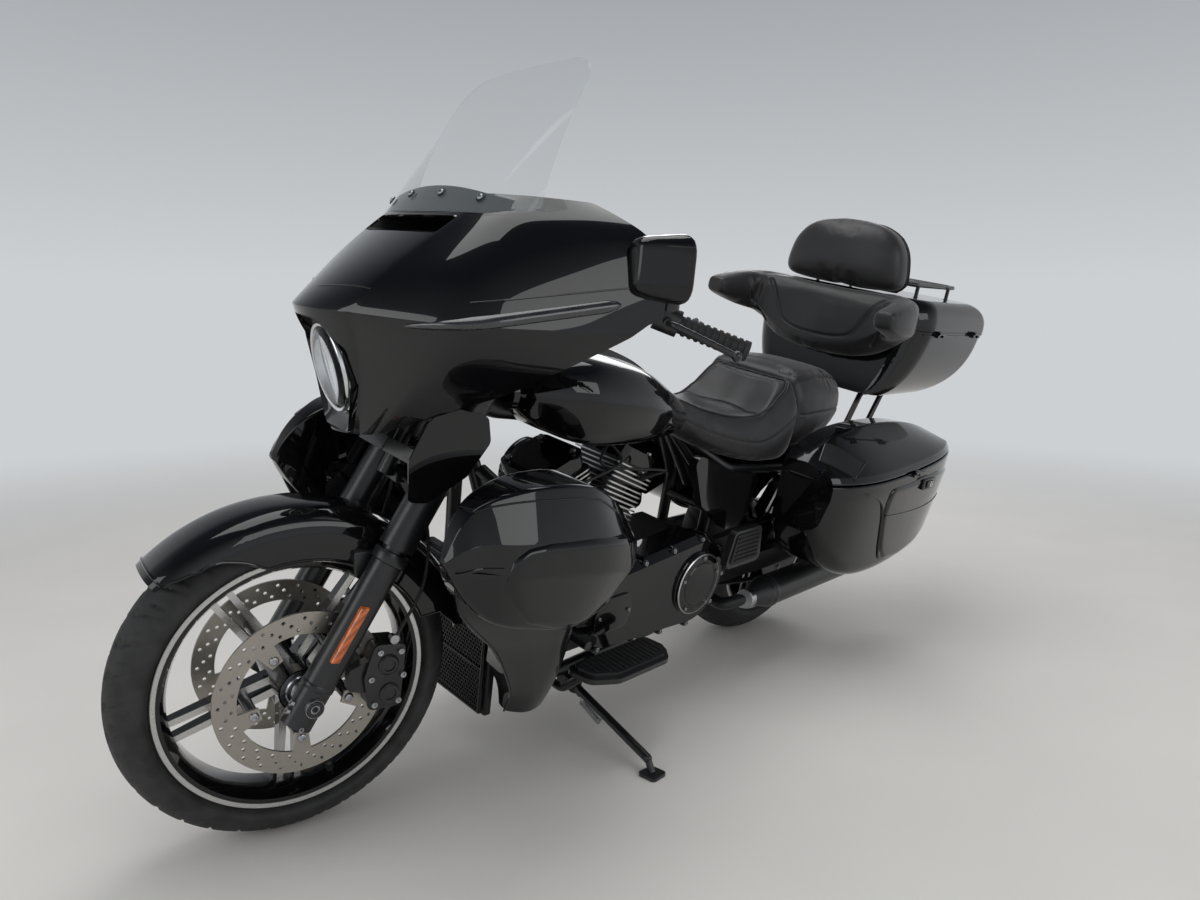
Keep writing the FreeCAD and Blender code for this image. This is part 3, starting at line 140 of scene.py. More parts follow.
def add(tree, kind, props=None, **inputs):
    """Adds a node to a tree, sets its properties and fills its inputs with values or links."""
    made = tree.nodes.new(kind)
    for key, value in (props or {}).items():
        setattr(made, key, value)
    for key, value in inputs.items():
        socket = made.inputs[int(key[1:])] if key[1:].isdigit() else made.inputs[key.replace("_", " ")]
        if isinstance(value, bpy.types.NodeSocket):
            tree.links.new(value, socket)
        else:
            socket.default_value = value
    return made


def start(name, **shader):
    """A material with its shader, its output and the object's own coordinates."""
    made = bpy.data.materials.get(name)
    if made:
        bpy.data.materials.remove(made)
    made = bpy.data.materials.new(name)
    made.use_nodes = True
    tree = made.node_tree
    tree.nodes.clear()
    bsdf = add(tree, "ShaderNodeBsdfPrincipled", **shader)
    add(tree, "ShaderNodeOutputMaterial", Surface=bsdf.outputs["BSDF"])
    coords = add(tree, "ShaderNodeTexCoord")
    return made, tree, bsdf, coords.outputs["Object"]


def speckle(tree, where, size, detail=2.0):
    """Noise whose grains are about size metres across."""
    return add(tree, "ShaderNodeTexNoise", Vector=where, Scale=1.0 / size, Detail=detail,
               Roughness=0.5).outputs["Fac"]


def spread(tree, value, low, high, start_at=0.0, end_at=1.0):
    """Spreads a pattern from low to high."""
    return add(tree, "ShaderNodeMapRange", Value=value, From_Min=start_at, From_Max=end_at,
               To_Min=low, To_Max=high).outputs[0]


def tint(tree, value, dark, light, low=0.35, high=0.65):
    """Colour variation between two linear colours."""
    factor = spread(tree, value, 0.0, 1.0, low, high)
    return add(tree, "ShaderNodeMix", {"data_type": "RGBA"}, _0=factor, _6=dark, _7=light).outputs[2]


def relief(tree, bsdf, height, depth, strength):
    """Bump of a real depth in metres."""
    bump = add(tree, "ShaderNodeBump", Height=height, Distance=depth, Strength=strength)
    tree.links.new(bump.outputs[0], bsdf.inputs["Normal"])


def shade(colour, factor):
    return (*(min(1.0, c * factor) for c in colour[:3]), 1.0)


def clear_coated_paint(name, colour):
    # Sprayed black base under clear coat: a deep mirror, broken only by a faint orange peel and dust.
    made, tree, bsdf, where = start(name, IOR=1.12, Coat_Weight=1.0, Coat_Roughness=0.015, Coat_IOR=1.5)
    cloud = speckle(tree, where, 0.19)
    tree.links.new(tint(tree, cloud, shade(colour, 0.85), shade(colour, 1.2)), bsdf.inputs["Base Color"])
    dust = speckle(tree, where, 0.012, 4.0)
    tree.links.new(spread(tree, dust, 0.14, 0.3), bsdf.inputs["Roughness"])
    # Orange peel has waves of about 3 mm.
    relief(tree, bsdf, speckle(tree, where, 0.003, 1.0), 0.00002, 0.35)
    return made


def powder_coat(name, colour):
    # Powder-coated steel: satin, with the fine pebble that the powder leaves.
    made, tree, bsdf, where = start(name, IOR=1.5, Coat_Weight=0.3, Coat_Roughness=0.22)
    tree.links.new(tint(tree, speckle(tree, where, 0.06), shade(colour, 0.8), shade(colour, 1.3)),
                   bsdf.inputs["Base Color"])
    tree.links.new(spread(tree, speckle(tree, where, 0.009, 3.0), 0.28, 0.46), bsdf.inputs["Roughness"])
    relief(tree, bsdf, speckle(tree, where, 0.0012, 2.0), 0.00006, 0.4)
    return made


def wrinkle_coat(name, colour):
    # Cast aluminium under wrinkle black: matte, crinkled about every 2 mm.
    made, tree, bsdf, where = start(name, IOR=1.5, Coat_Weight=0.25, Coat_Roughness=0.3)
    tree.links.new(tint(tree, speckle(tree, where, 0.05), shade(colour, 0.75), shade(colour, 1.35)),
                   bsdf.inputs["Base Color"])
    cells = add(tree, "ShaderNodeTexVoronoi", {"feature": "SMOOTH_F1"}, Vector=where, Scale=500.0)
    tree.links.new(spread(tree, cells.outputs["Distance"], 0.34, 0.52), bsdf.inputs["Roughness"])
    relief(tree, bsdf, cells.outputs["Distance"], 0.00012, 0.5)
    return made


def moulded_plastic(name, colour, smooth):
    # Moulded ABS: smooth and glossy, or with a spark-eroded grain of about 1 mm.
    made, tree, bsdf, where = start(name, IOR=1.46)
    tree.links.new(tint(tree, speckle(tree, where, 0.11), shade(colour, 0.85), shade(colour, 1.2)),
                   bsdf.inputs["Base Color"])
    low, high = (0.07, 0.14) if smooth else (0.4, 0.55)
    tree.links.new(spread(tree, speckle(tree, where, 0.015, 4.0), low, high), bsdf.inputs["Roughness"])
    relief(tree, bsdf, speckle(tree, where, 0.004 if smooth else 0.001, 2.0),
           0.00002 if smooth else 0.00012, 0.4)
    return made


def seat_vinyl(name, colour):
    # Upholstery vinyl: pressed leather grain with cells of about 2 mm, a soft sheen where it is stretched.
    made, tree, bsdf, where = start(name, IOR=1.5, Sheen_Weight=0.25, Sheen_Roughness=0.4)
    tree.links.new(tint(tree, speckle(tree, where, 0.07, 3.0), shade(colour, 0.8), shade(colour, 1.25)),
                   bsdf.inputs["Base Color"])
    cells = add(tree, "ShaderNodeTexVoronoi", {"feature": "DISTANCE_TO_EDGE"}, Vector=where, Scale=420.0)
    grain = spread(tree, cells.outputs["Distance"], 0.0, 1.0, 0.0, 0.25)
    rub = speckle(tree, where, 0.045, 3.0)
    tree.links.new(spread(tree, rub, 0.36, 0.52), bsdf.inputs["Roughness"])
    relief(tree, bsdf, grain, 0.00012, 0.4)
    return made


def tyre_rubber(name):
    # Road tyre compound: carbon-black rubber, dusty where it rolls, a faint bloom on the walls.
    made, tree, bsdf, where = start(name, IOR=1.52)
    dust = speckle(tree, where, 0.03, 5.0)
    tree.links.new(tint(tree, dust, linear("141415"), linear("2A2A2B")), bsdf.inputs["Base Color"])
    tree.links.new(spread(tree, dust, 0.55, 0.78), bsdf.inputs["Roughness"])
    relief(tree, bsdf, speckle(tree, where, 0.0016, 3.0), 0.00015, 0.5)
    return made


def moulded_rubber(name):
    # Grips, pads and hoses: matte black rubber.
    made, tree, bsdf, where = start(name, IOR=1.5)
    tree.links.new(tint(tree, speckle(tree, where, 0.02, 4.0), linear("101011"), linear("1E1E1F")),
                   bsdf.inputs["Base Color"])
    tree.links.new(spread(tree, speckle(tree, where, 0.006, 3.0), 0.5, 0.68), bsdf.inputs["Roughness"])
    relief(tree, bsdf, speckle(tree, where, 0.001, 2.0), 0.00008, 0.4)
    return made


def turned_metal(name, colour, low, high, axis=None, centre=None, fine=0.0012):
    # Machined metal: fine tool rings around its axis where it has one, else an even blasted grain.
    made, tree, bsdf, where = start(name, Metallic=1.0)
    if axis is not None:
        off = add(tree, "ShaderNodeVectorMath", {"operation": "SUBTRACT"}, _0=where,
                  _1=tuple(centre)).outputs[0]
        along = add(tree, "ShaderNodeVectorMath", {"operation": "DOT_PRODUCT"}, _0=off, _1=tuple(axis))
        back = add(tree, "ShaderNodeVectorMath", {"operation": "SCALE"}, _0=tuple(axis),
                   Scale=along.outputs["Value"]).outputs[0]
        flat = add(tree, "ShaderNodeVectorMath", {"operation": "SUBTRACT"}, _0=off, _1=back).outputs[0]
        ring = add(tree, "ShaderNodeVectorMath", {"operation": "LENGTH"}, _0=flat).outputs["Value"]
        pattern = add(tree, "ShaderNodeTexNoise", {"noise_dimensions": "1D"}, W=ring, Scale=1 / fine,
                      Detail=3.0).outputs["Fac"]
    else:
        pattern = speckle(tree, where, fine, 3.0)
    tree.links.new(tint(tree, pattern, shade(colour, 0.82), colour), bsdf.inputs["Base Color"])
    tree.links.new(spread(tree, pattern, low, high), bsdf.inputs["Roughness"])
    relief(tree, bsdf, pattern, 0.00004, 0.35)
    return made


def polycarbonate(name):
    # Hard-coated clear screen: almost nothing but its reflections, with a faint grey edge.
    made, tree, bsdf, where = start(name, Base_Color=linear("AEB7BA"), IOR=1.58, Alpha=0.13,
                                    Coat_Weight=0.6, Coat_Roughness=0.02)
    tree.links.new(spread(tree, speckle(tree, where, 0.05, 4.0), 0.02, 0.07), bsdf.inputs["Roughness"])
    relief(tree, bsdf, speckle(tree, where, 0.08, 1.0), 0.00002, 0.2)
    return made


def coloured_lens(name, colour, glow=0.0):
    # Moulded acrylic lens with prisms about 4 mm apart behind a polished face.
    made, tree, bsdf, where = start(name, IOR=1.49, Coat_Weight=1.0, Coat_Roughness=0.03)
    wave = add(tree, "ShaderNodeTexWave", {"bands_direction": "DIAGONAL"}, Vector=where, Scale=38.0)
    tree.links.new(tint(tree, wave.outputs["Fac"], shade(colour, 0.6), colour), bsdf.inputs["Base Color"])
    tree.links.new(spread(tree, speckle(tree, where, 0.01), 0.2, 0.32), bsdf.inputs["Roughness"])
    if glow:
        bsdf.inputs["Emission Color"].default_value = colour
        bsdf.inputs["Emission Strength"].default_value = glow
    relief(tree, bsdf, wave.outputs["Fac"], 0.0003, 0.4)
    return made


PAINT, SATIN, WRINKLE, GLOSS_ABS, GRAIN_ABS = ("black_clear_coated_paint", "satin_black_powder_coat",
                                               "wrinkle_black_cast_aluminium", "gloss_moulded_abs",
                                               "grained_moulded_abs")
VINYL, TYRE, RUBBER, SCREEN = "seat_vinyl", "tyre_rubber", "moulded_rubber", "clear_polycarbonate"
STEEL, ALLOY = "zinc_plated_steel", "turned_aluminium"
DISC_F, DISC_R = "ground_disc_front", "ground_disc_rear"
AMBER, RED, LAMP, CHROME = "amber_reflector", "red_acrylic_lens", "lamp_glass", "polished_reflector"
LED, SMOKED, CUT = "led_lens", "smoked_acrylic_lens", "diamond_cut_aluminium"


def make_finishes():
    f = settings("moto_finish")
    paint, satin, hide = tuple(f.paint), tuple(f.satin), tuple(f.leather)
    front = (STEERED @ FRONT_AXLE, (STEERED.to_3x3() @ Vector((0, 1, 0))).normalized())
    rear = (PARKED @ REAR_AXLE, (PARKED.to_3x3() @ Vector((0, 1, 0))).normalized())
    clear_coated_paint(PAINT, paint)
    powder_coat(SATIN, satin)
    wrinkle_coat(WRINKLE, linear("141416"))
    moulded_plastic(GLOSS_ABS, linear("0E0E10"), True)
    moulded_plastic(GRAIN_ABS, linear("19191B"), False)
    seat_vinyl(VINYL, hide)
    tyre_rubber(TYRE)
    moulded_rubber(RUBBER)
    polycarbonate(SCREEN)
    turned_metal(STEEL, linear("B9BABD"), 0.22, 0.38)
    turned_metal(ALLOY, linear("C9CBCE"), 0.16, 0.3)
    turned_metal(DISC_F, linear("B3AEA6"), 0.24, 0.4, front[1], front[0])
    turned_metal(DISC_R, linear("B3AEA6"), 0.24, 0.4, rear[1], rear[0])
    turned_metal(CHROME, linear("E8E9EB"), 0.03, 0.08, fine=0.02)
    coloured_lens(AMBER, tuple(f.reflector))
    coloured_lens(RED, tuple(f.tail_lens))
    coloured_lens(LED, linear("E6EBF0"), 0.35)
    coloured_lens(SMOKED, linear("2A2A2D"))
    turned_metal(CUT, linear("D3D3D2"), 0.2, 0.34, fine=0.0008)
    _, tree, bsdf, where = start(LAMP, Base_Color=linear("F4F7F8"), IOR=1.2, Transmission_Weight=1.0)
    # Hard polycarbonate lamp cover: clear, with a little haze.
    tree.links.new(spread(tree, speckle(tree, where, 0.02), 0.0, 0.04), bsdf.inputs["Roughness"])
    relief(tree, bsdf, speckle(tree, where, 0.03, 1.0), 0.00003, 0.2)


# Meshes

# Points closer than this many metres are one
WELD = 1e-6


def linked(name, data):
    """An object of a mesh, a lamp or a camera, put in the scene."""
    obj = bpy.data.objects.new(name, data)
    bpy.context.scene.collection.objects.link(obj)
    return obj


def result_of(obj):
    """The mesh that an object's modifiers make of it; the object goes."""
    made = bpy.data.meshes.new_from_object(obj.evaluated_get(bpy.context.evaluated_depsgraph_get()))
    bpy.data.objects.remove(obj)
    return made


@contextmanager
def editing(mesh):
    """A mesh opened for editing and written back at the end."""
    bm = bmesh.new()
    bm.from_mesh(mesh)
    yield bm
    bm.to_mesh(mesh)
    bm.free()


def search_tree(mesh, back=Matrix.Identity(4)):
    """Search tree of a mesh's surface, taken back to the upright bike where asked."""
    return BVHTree.FromPolygons([back @ v.co for v in mesh.vertices], [p.vertices for p in mesh.polygons])


def round_angles(sides):
    return [2 * math.pi * k / sides for k in range(sides)]


def shaded(mesh, sharp):
    """Smooth shading, broken at edges sharper than so many degrees."""
    mesh.shade_smooth()
    mesh.set_sharp_from_angle(angle=math.radians(sharp))


def riding(name, mesh, body):
    """The piece itself: a finished mesh that rides on a body."""
    obj = linked(name, mesh)
    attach(obj, body)
    return obj


def to_piece(name, mesh, body, finish, sharp=35.0, closed=True):
    """Makes a piece of a mesh drawn on the upright bike, puts it in place and lets it ride."""
    mesh.materials.append(bpy.data.materials[finish])
    mesh.transform(PLACE.get(body, PARKED))
    if closed:
        with editing(mesh) as bm:
            bmesh.ops.remove_doubles(bm, verts=bm.verts, dist=WELD)
            bmesh.ops.recalc_face_normals(bm, faces=bm.faces)
    shaded(mesh, sharp)
    return riding(name, mesh, body)


def from_node(name, node, finish, sharp):
    """A CAD node's own shape with smooth shading."""
    mesh = NODES[node].data.copy()
    mesh.name = name
    mesh.materials.clear()
    mesh.materials.append(bpy.data.materials[finish])
    with editing(mesh) as bm:
        bmesh.ops.remove_doubles(bm, verts=bm.verts, dist=10 * WELD)
        bmesh.ops.dissolve_degenerate(bm, edges=bm.edges, dist=WELD)
        for face in bm.faces:
            face.material_index = 0
    if mesh.attributes.get("custom_normal"):
        mesh.attributes.remove(mesh.attributes["custom_normal"])
    shaded(mesh, sharp)
    obj = linked(name + "_work", mesh)
    even = obj.modifiers.new("even", "WEIGHTED_NORMAL")
    even.mode, even.keep_sharp = "FACE_AREA_WITH_ANGLE", True
    mesh = result_of(obj)
    mesh.name = name
    obj = riding(name, mesh, NODES[node]["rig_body"])
    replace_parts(obj, node)
    return obj


# Repeats, made with Geometry Nodes

# Metres from one stitch to the next
STITCH_PITCH = 0.0055
# What each spot of a repeat carries
SPOT_DATA = (("facing", "FLOAT_VECTOR"), ("along", "FLOAT_VECTOR"), ("size", "FLOAT"))


def repeat_tree(name):
    """Stands a template on each point, turned along the point's own direction and scaled by its size."""
    tree = bpy.data.node_groups.get(name)
    if tree:
        return tree
    tree = bpy.data.node_groups.new(name, "GeometryNodeTree")
    face = tree.interface
    for key, kind in (("Points", "Geometry"), ("Template", "Object"), ("Scale", "Float"), ("Turn", "Float"),
                      ("Seed", "Int"), ("Finish", "Material")):
        face.new_socket(key, in_out="INPUT", socket_type="NodeSocket" + kind)
    face.new_socket("Pieces", in_out="OUTPUT", socket_type="NodeSocketGeometry")
    given = add(tree, "NodeGroupInput").outputs
    ahead, along, size = (add(tree, "GeometryNodeInputNamedAttribute", {"data_type": kind},
                              Name=key).outputs[0]
                          for key, kind in SPOT_DATA)
    turn = add(tree, "FunctionNodeAlignRotationToVector", {"axis": "Z"}, Vector=ahead).outputs[0]
    turn = add(tree, "FunctionNodeAlignRotationToVector", {"axis": "X", "pivot_axis": "Z"},
               Rotation=turn, Vector=along).outputs[0]
    spin = add(tree, "FunctionNodeRandomValue", {"data_type": "FLOAT"}, _2=0.0, _3=given["Turn"],
               Seed=given["Seed"]).outputs[1]
    spin = add(tree, "ShaderNodeCombineXYZ", Z=spin).outputs[0]
    turn = add(tree, "FunctionNodeRotateRotation", {"rotation_space": "LOCAL"}, Rotation=turn,
               Rotate_By=add(tree, "FunctionNodeEulerToRotation", Euler=spin).outputs[0]).outputs[0]
    size = add(tree, "ShaderNodeMath", {"operation": "MULTIPLY"}, _0=size, _1=given["Scale"]).outputs[0]
    points = add(tree, "GeometryNodeMeshToPoints", Mesh=given["Points"]).outputs[0]
    shape = add(tree, "GeometryNodeObjectInfo", Object=given["Template"]).outputs["Geometry"]
    stood = add(tree, "GeometryNodeInstanceOnPoints", Points=points, Instance=shape, Rotation=turn,
                Scale=size).outputs[0]
    real = add(tree, "GeometryNodeRealizeInstances", Geometry=stood).outputs[0]
    done = add(tree, "GeometryNodeSetMaterial", Geometry=real, Material=given["Finish"]).outputs[0]
    add(tree, "NodeGroupOutput", Pieces=done)
    return tree


def repeated(name, body, spots, template, finish, turn=0.0, scale=0.001, placed=False):
    """Stands the template at each spot: (place, facing, size) or (place, facing, size, along)."""
    place = Matrix.Identity(4) if placed else PLACE.get(body, PARKED)
    spin = Matrix.Identity(3) if placed else place.to_3x3().normalized()
    mesh = bpy.data.meshes.new(name)
    mesh.from_pydata([tuple(place @ Vector(s[0])) for s in spots], [], [])
    for key, kind in SPOT_DATA:
        mesh.attributes.new(key, kind, "POINT")
    for k, s in enumerate(spots):
        facing = (spin @ Vector(s[1])).normalized()
        mesh.attributes["facing"].data[k].vector = facing
        along = spin @ Vector(s[3]) if len(s) > 3 else facing.orthogonal()
        mesh.attributes["along"].data[k].vector = along.normalized()
        mesh.attributes["size"].data[k].value = s[2]
    holder = linked(name + "_points", mesh)
    template = linked(name + "_template", template)
    tree = repeat_tree("stand_on_points")
    mod = holder.modifiers.new("repeat", "NODES")
    mod.node_group = tree
    ids = {s.name: s.identifier for s in tree.interface.items_tree if s.item_type == "SOCKET"}
    for key, value in (("Template", template), ("Scale", scale), ("Turn", turn), ("Seed", 7),
                       ("Finish", bpy.data.materials[finish])):
        mod[ids[key]] = value
    made = result_of(holder)
    bpy.data.objects.remove(template)
    for key, _ in SPOT_DATA:
        if made.attributes.get(key):
            made.attributes.remove(made.attributes[key])
    shaded(made, 35)
    return riding(name, made, body)


def turned_rings(rings, sides=20, start_angle=0.0):
    """Rings of (radius, height, sides that are flat or 0) about Z, bottom first."""
    out = []
    for radius, height, flats in rings:
        ring = []
        for k in range(sides):
            a = 2 * math.pi * k / sides + start_angle
            r = radius
            if flats:
                step = 2 * math.pi / flats
                r = radius / math.cos((a % step) - step / 2)
            ring.append(Vector((r * math.cos(a), r * math.sin(a), height)))
        out.append(ring)
    return out


def fastener_template(kind):
    """A screw head one unit in radius: button with a hex socket, or flanged hexagon."""
    if kind == "button":
        rings = turned_rings([(1.0, -0.3, 0), (1.0, 0.12, 0), (0.94, 0.34, 0), (0.76, 0.5, 0),
                              (0.5, 0.56, 0),
                              (0.44, 0.54, 6), (0.42, 0.18, 6)], 24)
    elif kind == "socket":
        rings = turned_rings([(1.0, -0.3, 0), (1.0, 0.92, 0), (0.92, 1.0, 0), (0.6, 1.0, 0),
                              (0.52, 0.96, 6), (0.5, 0.4, 6)], 24)
    else:
        rings = turned_rings([(1.0, -0.3, 0), (1.0, 0.14, 0), (0.95, 0.22, 0), (0.7, 0.24, 6),
                              (0.7, 0.8, 6),
                              (0.62, 0.92, 0), (0.3, 0.94, 0)], 24)
    mesh = body_of_rings("fastener_" + kind, rings)
    mesh.shade_smooth()
    return mesh


def stitch_rows(name, body, lines):
    """Thread stitches along lines on the skin, dipping at both ends."""
    rings = []
    for i in range(7):
        t = i / 6
        r = 0.0006 * math.sqrt(max(0.05, 1 - (2 * t - 1) ** 2))
        lift = 0.0003 - 0.0009 * (2 * t - 1) ** 2
        rings.append([Vector(((t - 0.5) * 0.0040, r * math.cos(a), lift + r * math.sin(a)))
                      for a in round_angles(6)])
    thread = body_of_rings("stitch", rings)
    spots = []
    for line in lines:
        gone, due = 0.0, 0.0
        for (p, n), (q, _) in zip(line, line[1:]):
            step = (q - p).length
            while step > 1e-6 and due <= gone + step:
                t = (due - gone) / step
                spots.append((p.lerp(q, t), n, 1.0, (q - p).normalized()))
                due += STITCH_PITCH
            gone += step
    return repeated(name, body, spots, thread, RUBBER, scale=1.0, placed=True)


# Soft goods

# Metres: cells of the even skin, and how far a seam's points may lie from it
SKIN_VOXEL, SEAM_REACH = 0.006, 0.08
SWELL_FRAMES, PAD_FILL = 18, 0.7


def smooth_path(points, per=6, closed=False):
    """Points of a curve that runs evenly through the given ones."""
    pts = [Vector(p) for p in points]
    n, out = len(pts), []
    for i in range(n if closed else n - 1):
        p = [pts[(i + k) % n] if closed else pts[min(max(i + k, 0), n - 1)] for k in (-1, 0, 1, 2)]
        for j in range(per):
            t = j / per
            out.append(0.5 * (2 * p[1] + (p[2] - p[0]) * t + (2 * p[0] - 5 * p[1] + 4 * p[2] - p[3]) * t * t
                              + (3 * p[1] - p[0] - 3 * p[2] + p[3]) * t ** 3))
    if not closed:
        out.append(pts[-1])
    return out


def grid_faces(rows, cols, closed=True, caps=True):
    """Quads between rows of points, and the two end faces."""
    wrap = cols if closed else cols - 1
    faces = [(i * cols + j, i * cols + (j + 1) % cols, (i + 1) * cols + (j + 1) % cols, (i + 1) * cols + j)
             for i in range(rows - 1) for j in range(wrap)]
    if caps:
        faces += [tuple(range(cols))[::-1], tuple(range((rows - 1) * cols, rows * cols))]
    return faces


def mesh_of(name, points, faces):
    mesh = bpy.data.meshes.new(name)
    mesh.from_pydata([tuple(p) for p in points], [], faces)
    mesh.update()
    return mesh


def body_of_rings(name, rings, closed=True, caps=True):
    return mesh_of(name, [p for ring in rings for p in ring],
                   grid_faces(len(rings), len(rings[0]), closed, caps))


def steady(rows, x):
    """Row of a table at x, on a smooth curve through the rows, which run down in their first column."""
    for i in range(len(rows) - 1):
        if rows[i][0] >= x >= rows[i + 1][0] or i == len(rows) - 2:
            break
    a, b = rows[i], rows[i + 1]
    before, after = rows[max(i - 1, 0)], rows[min(i + 2, len(rows) - 1)]
    t = (x - a[0]) / (b[0] - a[0])
    out = []
    for k in range(1, len(a)):
        ma = (b[k] - before[k]) / ((b[0] - before[0]) or 1) * (b[0] - a[0])
        mb = (after[k] - a[k]) / ((after[0] - a[0]) or 1) * (b[0] - a[0])
        out.append((2 * t ** 3 - 3 * t * t + 1) * a[k] + (t ** 3 - 2 * t * t + t) * ma
                   + (3 * t * t - 2 * t ** 3) * b[k] + (t ** 3 - t * t) * mb)
    return out


def seat_ring(x, half, bottom, widest, rim, crown, flare, shrink=1.0):
    """Section of a seat: flat base, full sides, a rim and a dished or crowned top."""
    mid = (rim + bottom) / 2
    half_ring = [(0, bottom), (half * 0.8, bottom), (half * 0.985, bottom + 14), (half, widest),
                 (half * (1 + flare) / 2, widest * 0.35 + rim * 0.65), (half * flare, rim - 2),
                 (half * flare * 0.72, (rim + crown) / 2 + 1), (half * flare * 0.34, crown)]
    ring = [Vector((x, y, z)) for y, z in half_ring] + [Vector((x, 0, crown))]
    ring += [Vector((x, -p.y, p.z)) for p in reversed(ring[1:-1])]
    out = smooth_path(ring, 4, True)
    if shrink != 1.0:
        out = [Vector((x, p.y * shrink, mid + (p.z - mid) * shrink)) for p in out]
    return out


def remeshed(mesh, voxel):
    obj = linked("remesh", mesh)
    mod = obj.modifiers.new("even", "REMESH")
    mod.mode, mod.voxel_size, mod.adaptivity = "VOXEL", voxel, 0.0
    return result_of(obj)


def inflate(mesh, cap):
    """Swells a closed skin with cloth pressure; no point moves further than cap metres."""
    rest = [v.co.copy() for v in mesh.vertices]
    obj = linked("swell", mesh)
    cloth = obj.modifiers.new("cover", "CLOTH")
    s = cloth.settings
    s.quality, s.mass = 5, 0.3
    s.tension_stiffness = s.compression_stiffness = 12
    s.shear_stiffness, s.bending_stiffness = 6, 1.5
    s.use_pressure, s.uniform_pressure_force = True, 4.0
    s.effector_weights.gravity = 0.0
    cloth.collision_settings.use_collision = False
    scene = bpy.context.scene
    cloth.point_cache.frame_start, cloth.point_cache.frame_end = 1, SWELL_FRAMES
    for frame in range(1, SWELL_FRAMES + 1):
        scene.frame_set(frame)
    swollen = result_of(obj)
    scene.frame_set(1)
    for v, r in zip(swollen.vertices, rest):
        move = v.co - r
        if move.length > cap:
            v.co = r + move * (cap / move.length)
    return swollen


def draped_line(tree, points, reach):
    """A seam's line laid on the nearest skin of a pad, from points near it."""
    out = []
    for p in smooth_path(points, 10):
        hit = tree.find_nearest(p, reach)
        if hit[0] is not None:
            out.append((hit[0], hit[1]))
    return out


def sewn(mesh, seams, depth, width):
    """Presses the skin in along its seams, most at the line itself."""
    kd = KDTree(sum(len(line) for line in seams))
    for k, point in enumerate(p for line in seams for p, _ in line):
        kd.insert(point, k)
    kd.balance()
    normals = [v.normal.copy() for v in mesh.vertices]
    for v, n in zip(mesh.vertices, normals):
        near = kd.find(v.co)[2]
        if near < width * 3:
            v.co -= n * depth * math.exp(-(near / width) ** 2)


def relaxed(mesh, rounds):
    with editing(mesh) as bm:
        for _ in range(rounds):
            bmesh.ops.smooth_vert(bm, verts=bm.verts, factor=0.5, use_axis_x=True, use_axis_y=True,
                                  use_axis_z=True)


def pad(name, mesh, body, node, seams, cap, depth=0.004, width=0.0035):
    """Padded piece: an even skin, swelled, sewn along its seams and laid in place; gives the seams' lines."""
    place = PLACE.get(body, PARKED)
    mesh.transform(place)
    mesh = inflate(remeshed(mesh, SKIN_VOXEL), cap)
    relaxed(mesh, 2)
    with editing(mesh) as bm:
        bmesh.ops.subdivide_edges(bm, edges=bm.edges, cuts=1, use_grid_fill=True, smooth=0.0)
    relaxed(mesh, 2)
    skin = search_tree(mesh)
    lines = [draped_line(skin, [place @ Vector(p) for p in seam], SEAM_REACH) for seam in seams]
    sewn(mesh, lines, depth, width)
    mesh.materials.clear()
    mesh.materials.append(bpy.data.materials[VINYL])
    mesh.shade_smooth()
    mesh.name = name
    obj = riding(name, mesh, body)
    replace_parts(obj, node)
    return lines


def piping(name, body, lines, radius):
    """Sewn cord along a seam, standing just proud of the skin."""
    mesh = bpy.data.meshes.new(name)
    with editing(mesh) as bm:
        for line in lines:
            ring_of(bm, [p + n * radius * 0.4 for p, n in line], radius, 8)
    mesh.materials.append(bpy.data.materials[VINYL])
    mesh.shade_smooth()
    riding(name, mesh, body)


def ring_of(bm, path, radius, sides):
    """Adds a round cord along a path to a mesh, with closed ends."""
    last, first, side = None, None, None
    for i, p in enumerate(path):
        ahead = (path[min(i + 1, len(path) - 1)] - path[max(i - 1, 0)]).normalized()
        if side is None:
            side = ahead.orthogonal().normalized()
        side = (side - ahead * side.dot(ahead)).normalized()
        other = ahead.cross(side)
        ring = [bm.verts.new(p + (side * math.cos(a) + other * math.sin(a)) * radius)
                for a in round_angles(sides)]
        if last:
            for k in range(sides):
                bm.faces.new((last[k], last[(k + 1) % sides], ring[(k + 1) % sides], ring[k]))
        else:
            first = ring
        last = ring
    bm.faces.new(first[::-1])
    bm.faces.new(last)


# How wide each seat's top is, as a share of the seat
SADDLE_FLARE, PILLION_FLARE = 0.74, 0.8
# x, half width, base, widest, rim, crown
SADDLE = [(668, 46, 792, 822, 850, 852), (650, 66, 772, 806, 846, 846), (600, 84, 742, 788, 834, 826),
          (520, 116, 706, 758, 806, 792), (430, 152, 680, 736, 786, 768), (350, 176, 666, 730, 784, 762),
          (290, 186, 664, 748, 806, 784), (240, 188, 668, 776, 850, 832), (206, 184, 680, 796, 880, 872),
          (190, 178, 690, 806, 886, 886)]
PILLION = [(186, 176, 696, 812, 886, 892), (166, 182, 694, 822, 896, 904), (100, 184, 694, 826, 900, 910),
           (0, 172, 706, 826, 896, 906), (-80, 150, 722, 822, 884, 894), (-136, 128, 730, 816, 866, 878),
           (-150, 112, 744, 810, 850, 858)]


def seat_mesh(name, rows, flare, ends):
    xs = [rows[0][0] + (rows[-1][0] - rows[0][0]) * i / 44 for i in range(45)]
    rings = [seat_ring(x, *steady(rows, x), flare) for x in xs]
    first, last = rows[0], rows[-1]
    rings.insert(0, seat_ring(first[0] + ends[0], *first[1:], flare, 0.7))
    rings.append(seat_ring(last[0] - ends[1], *last[1:], flare, 0.86))
    return body_of_rings(name, rings)


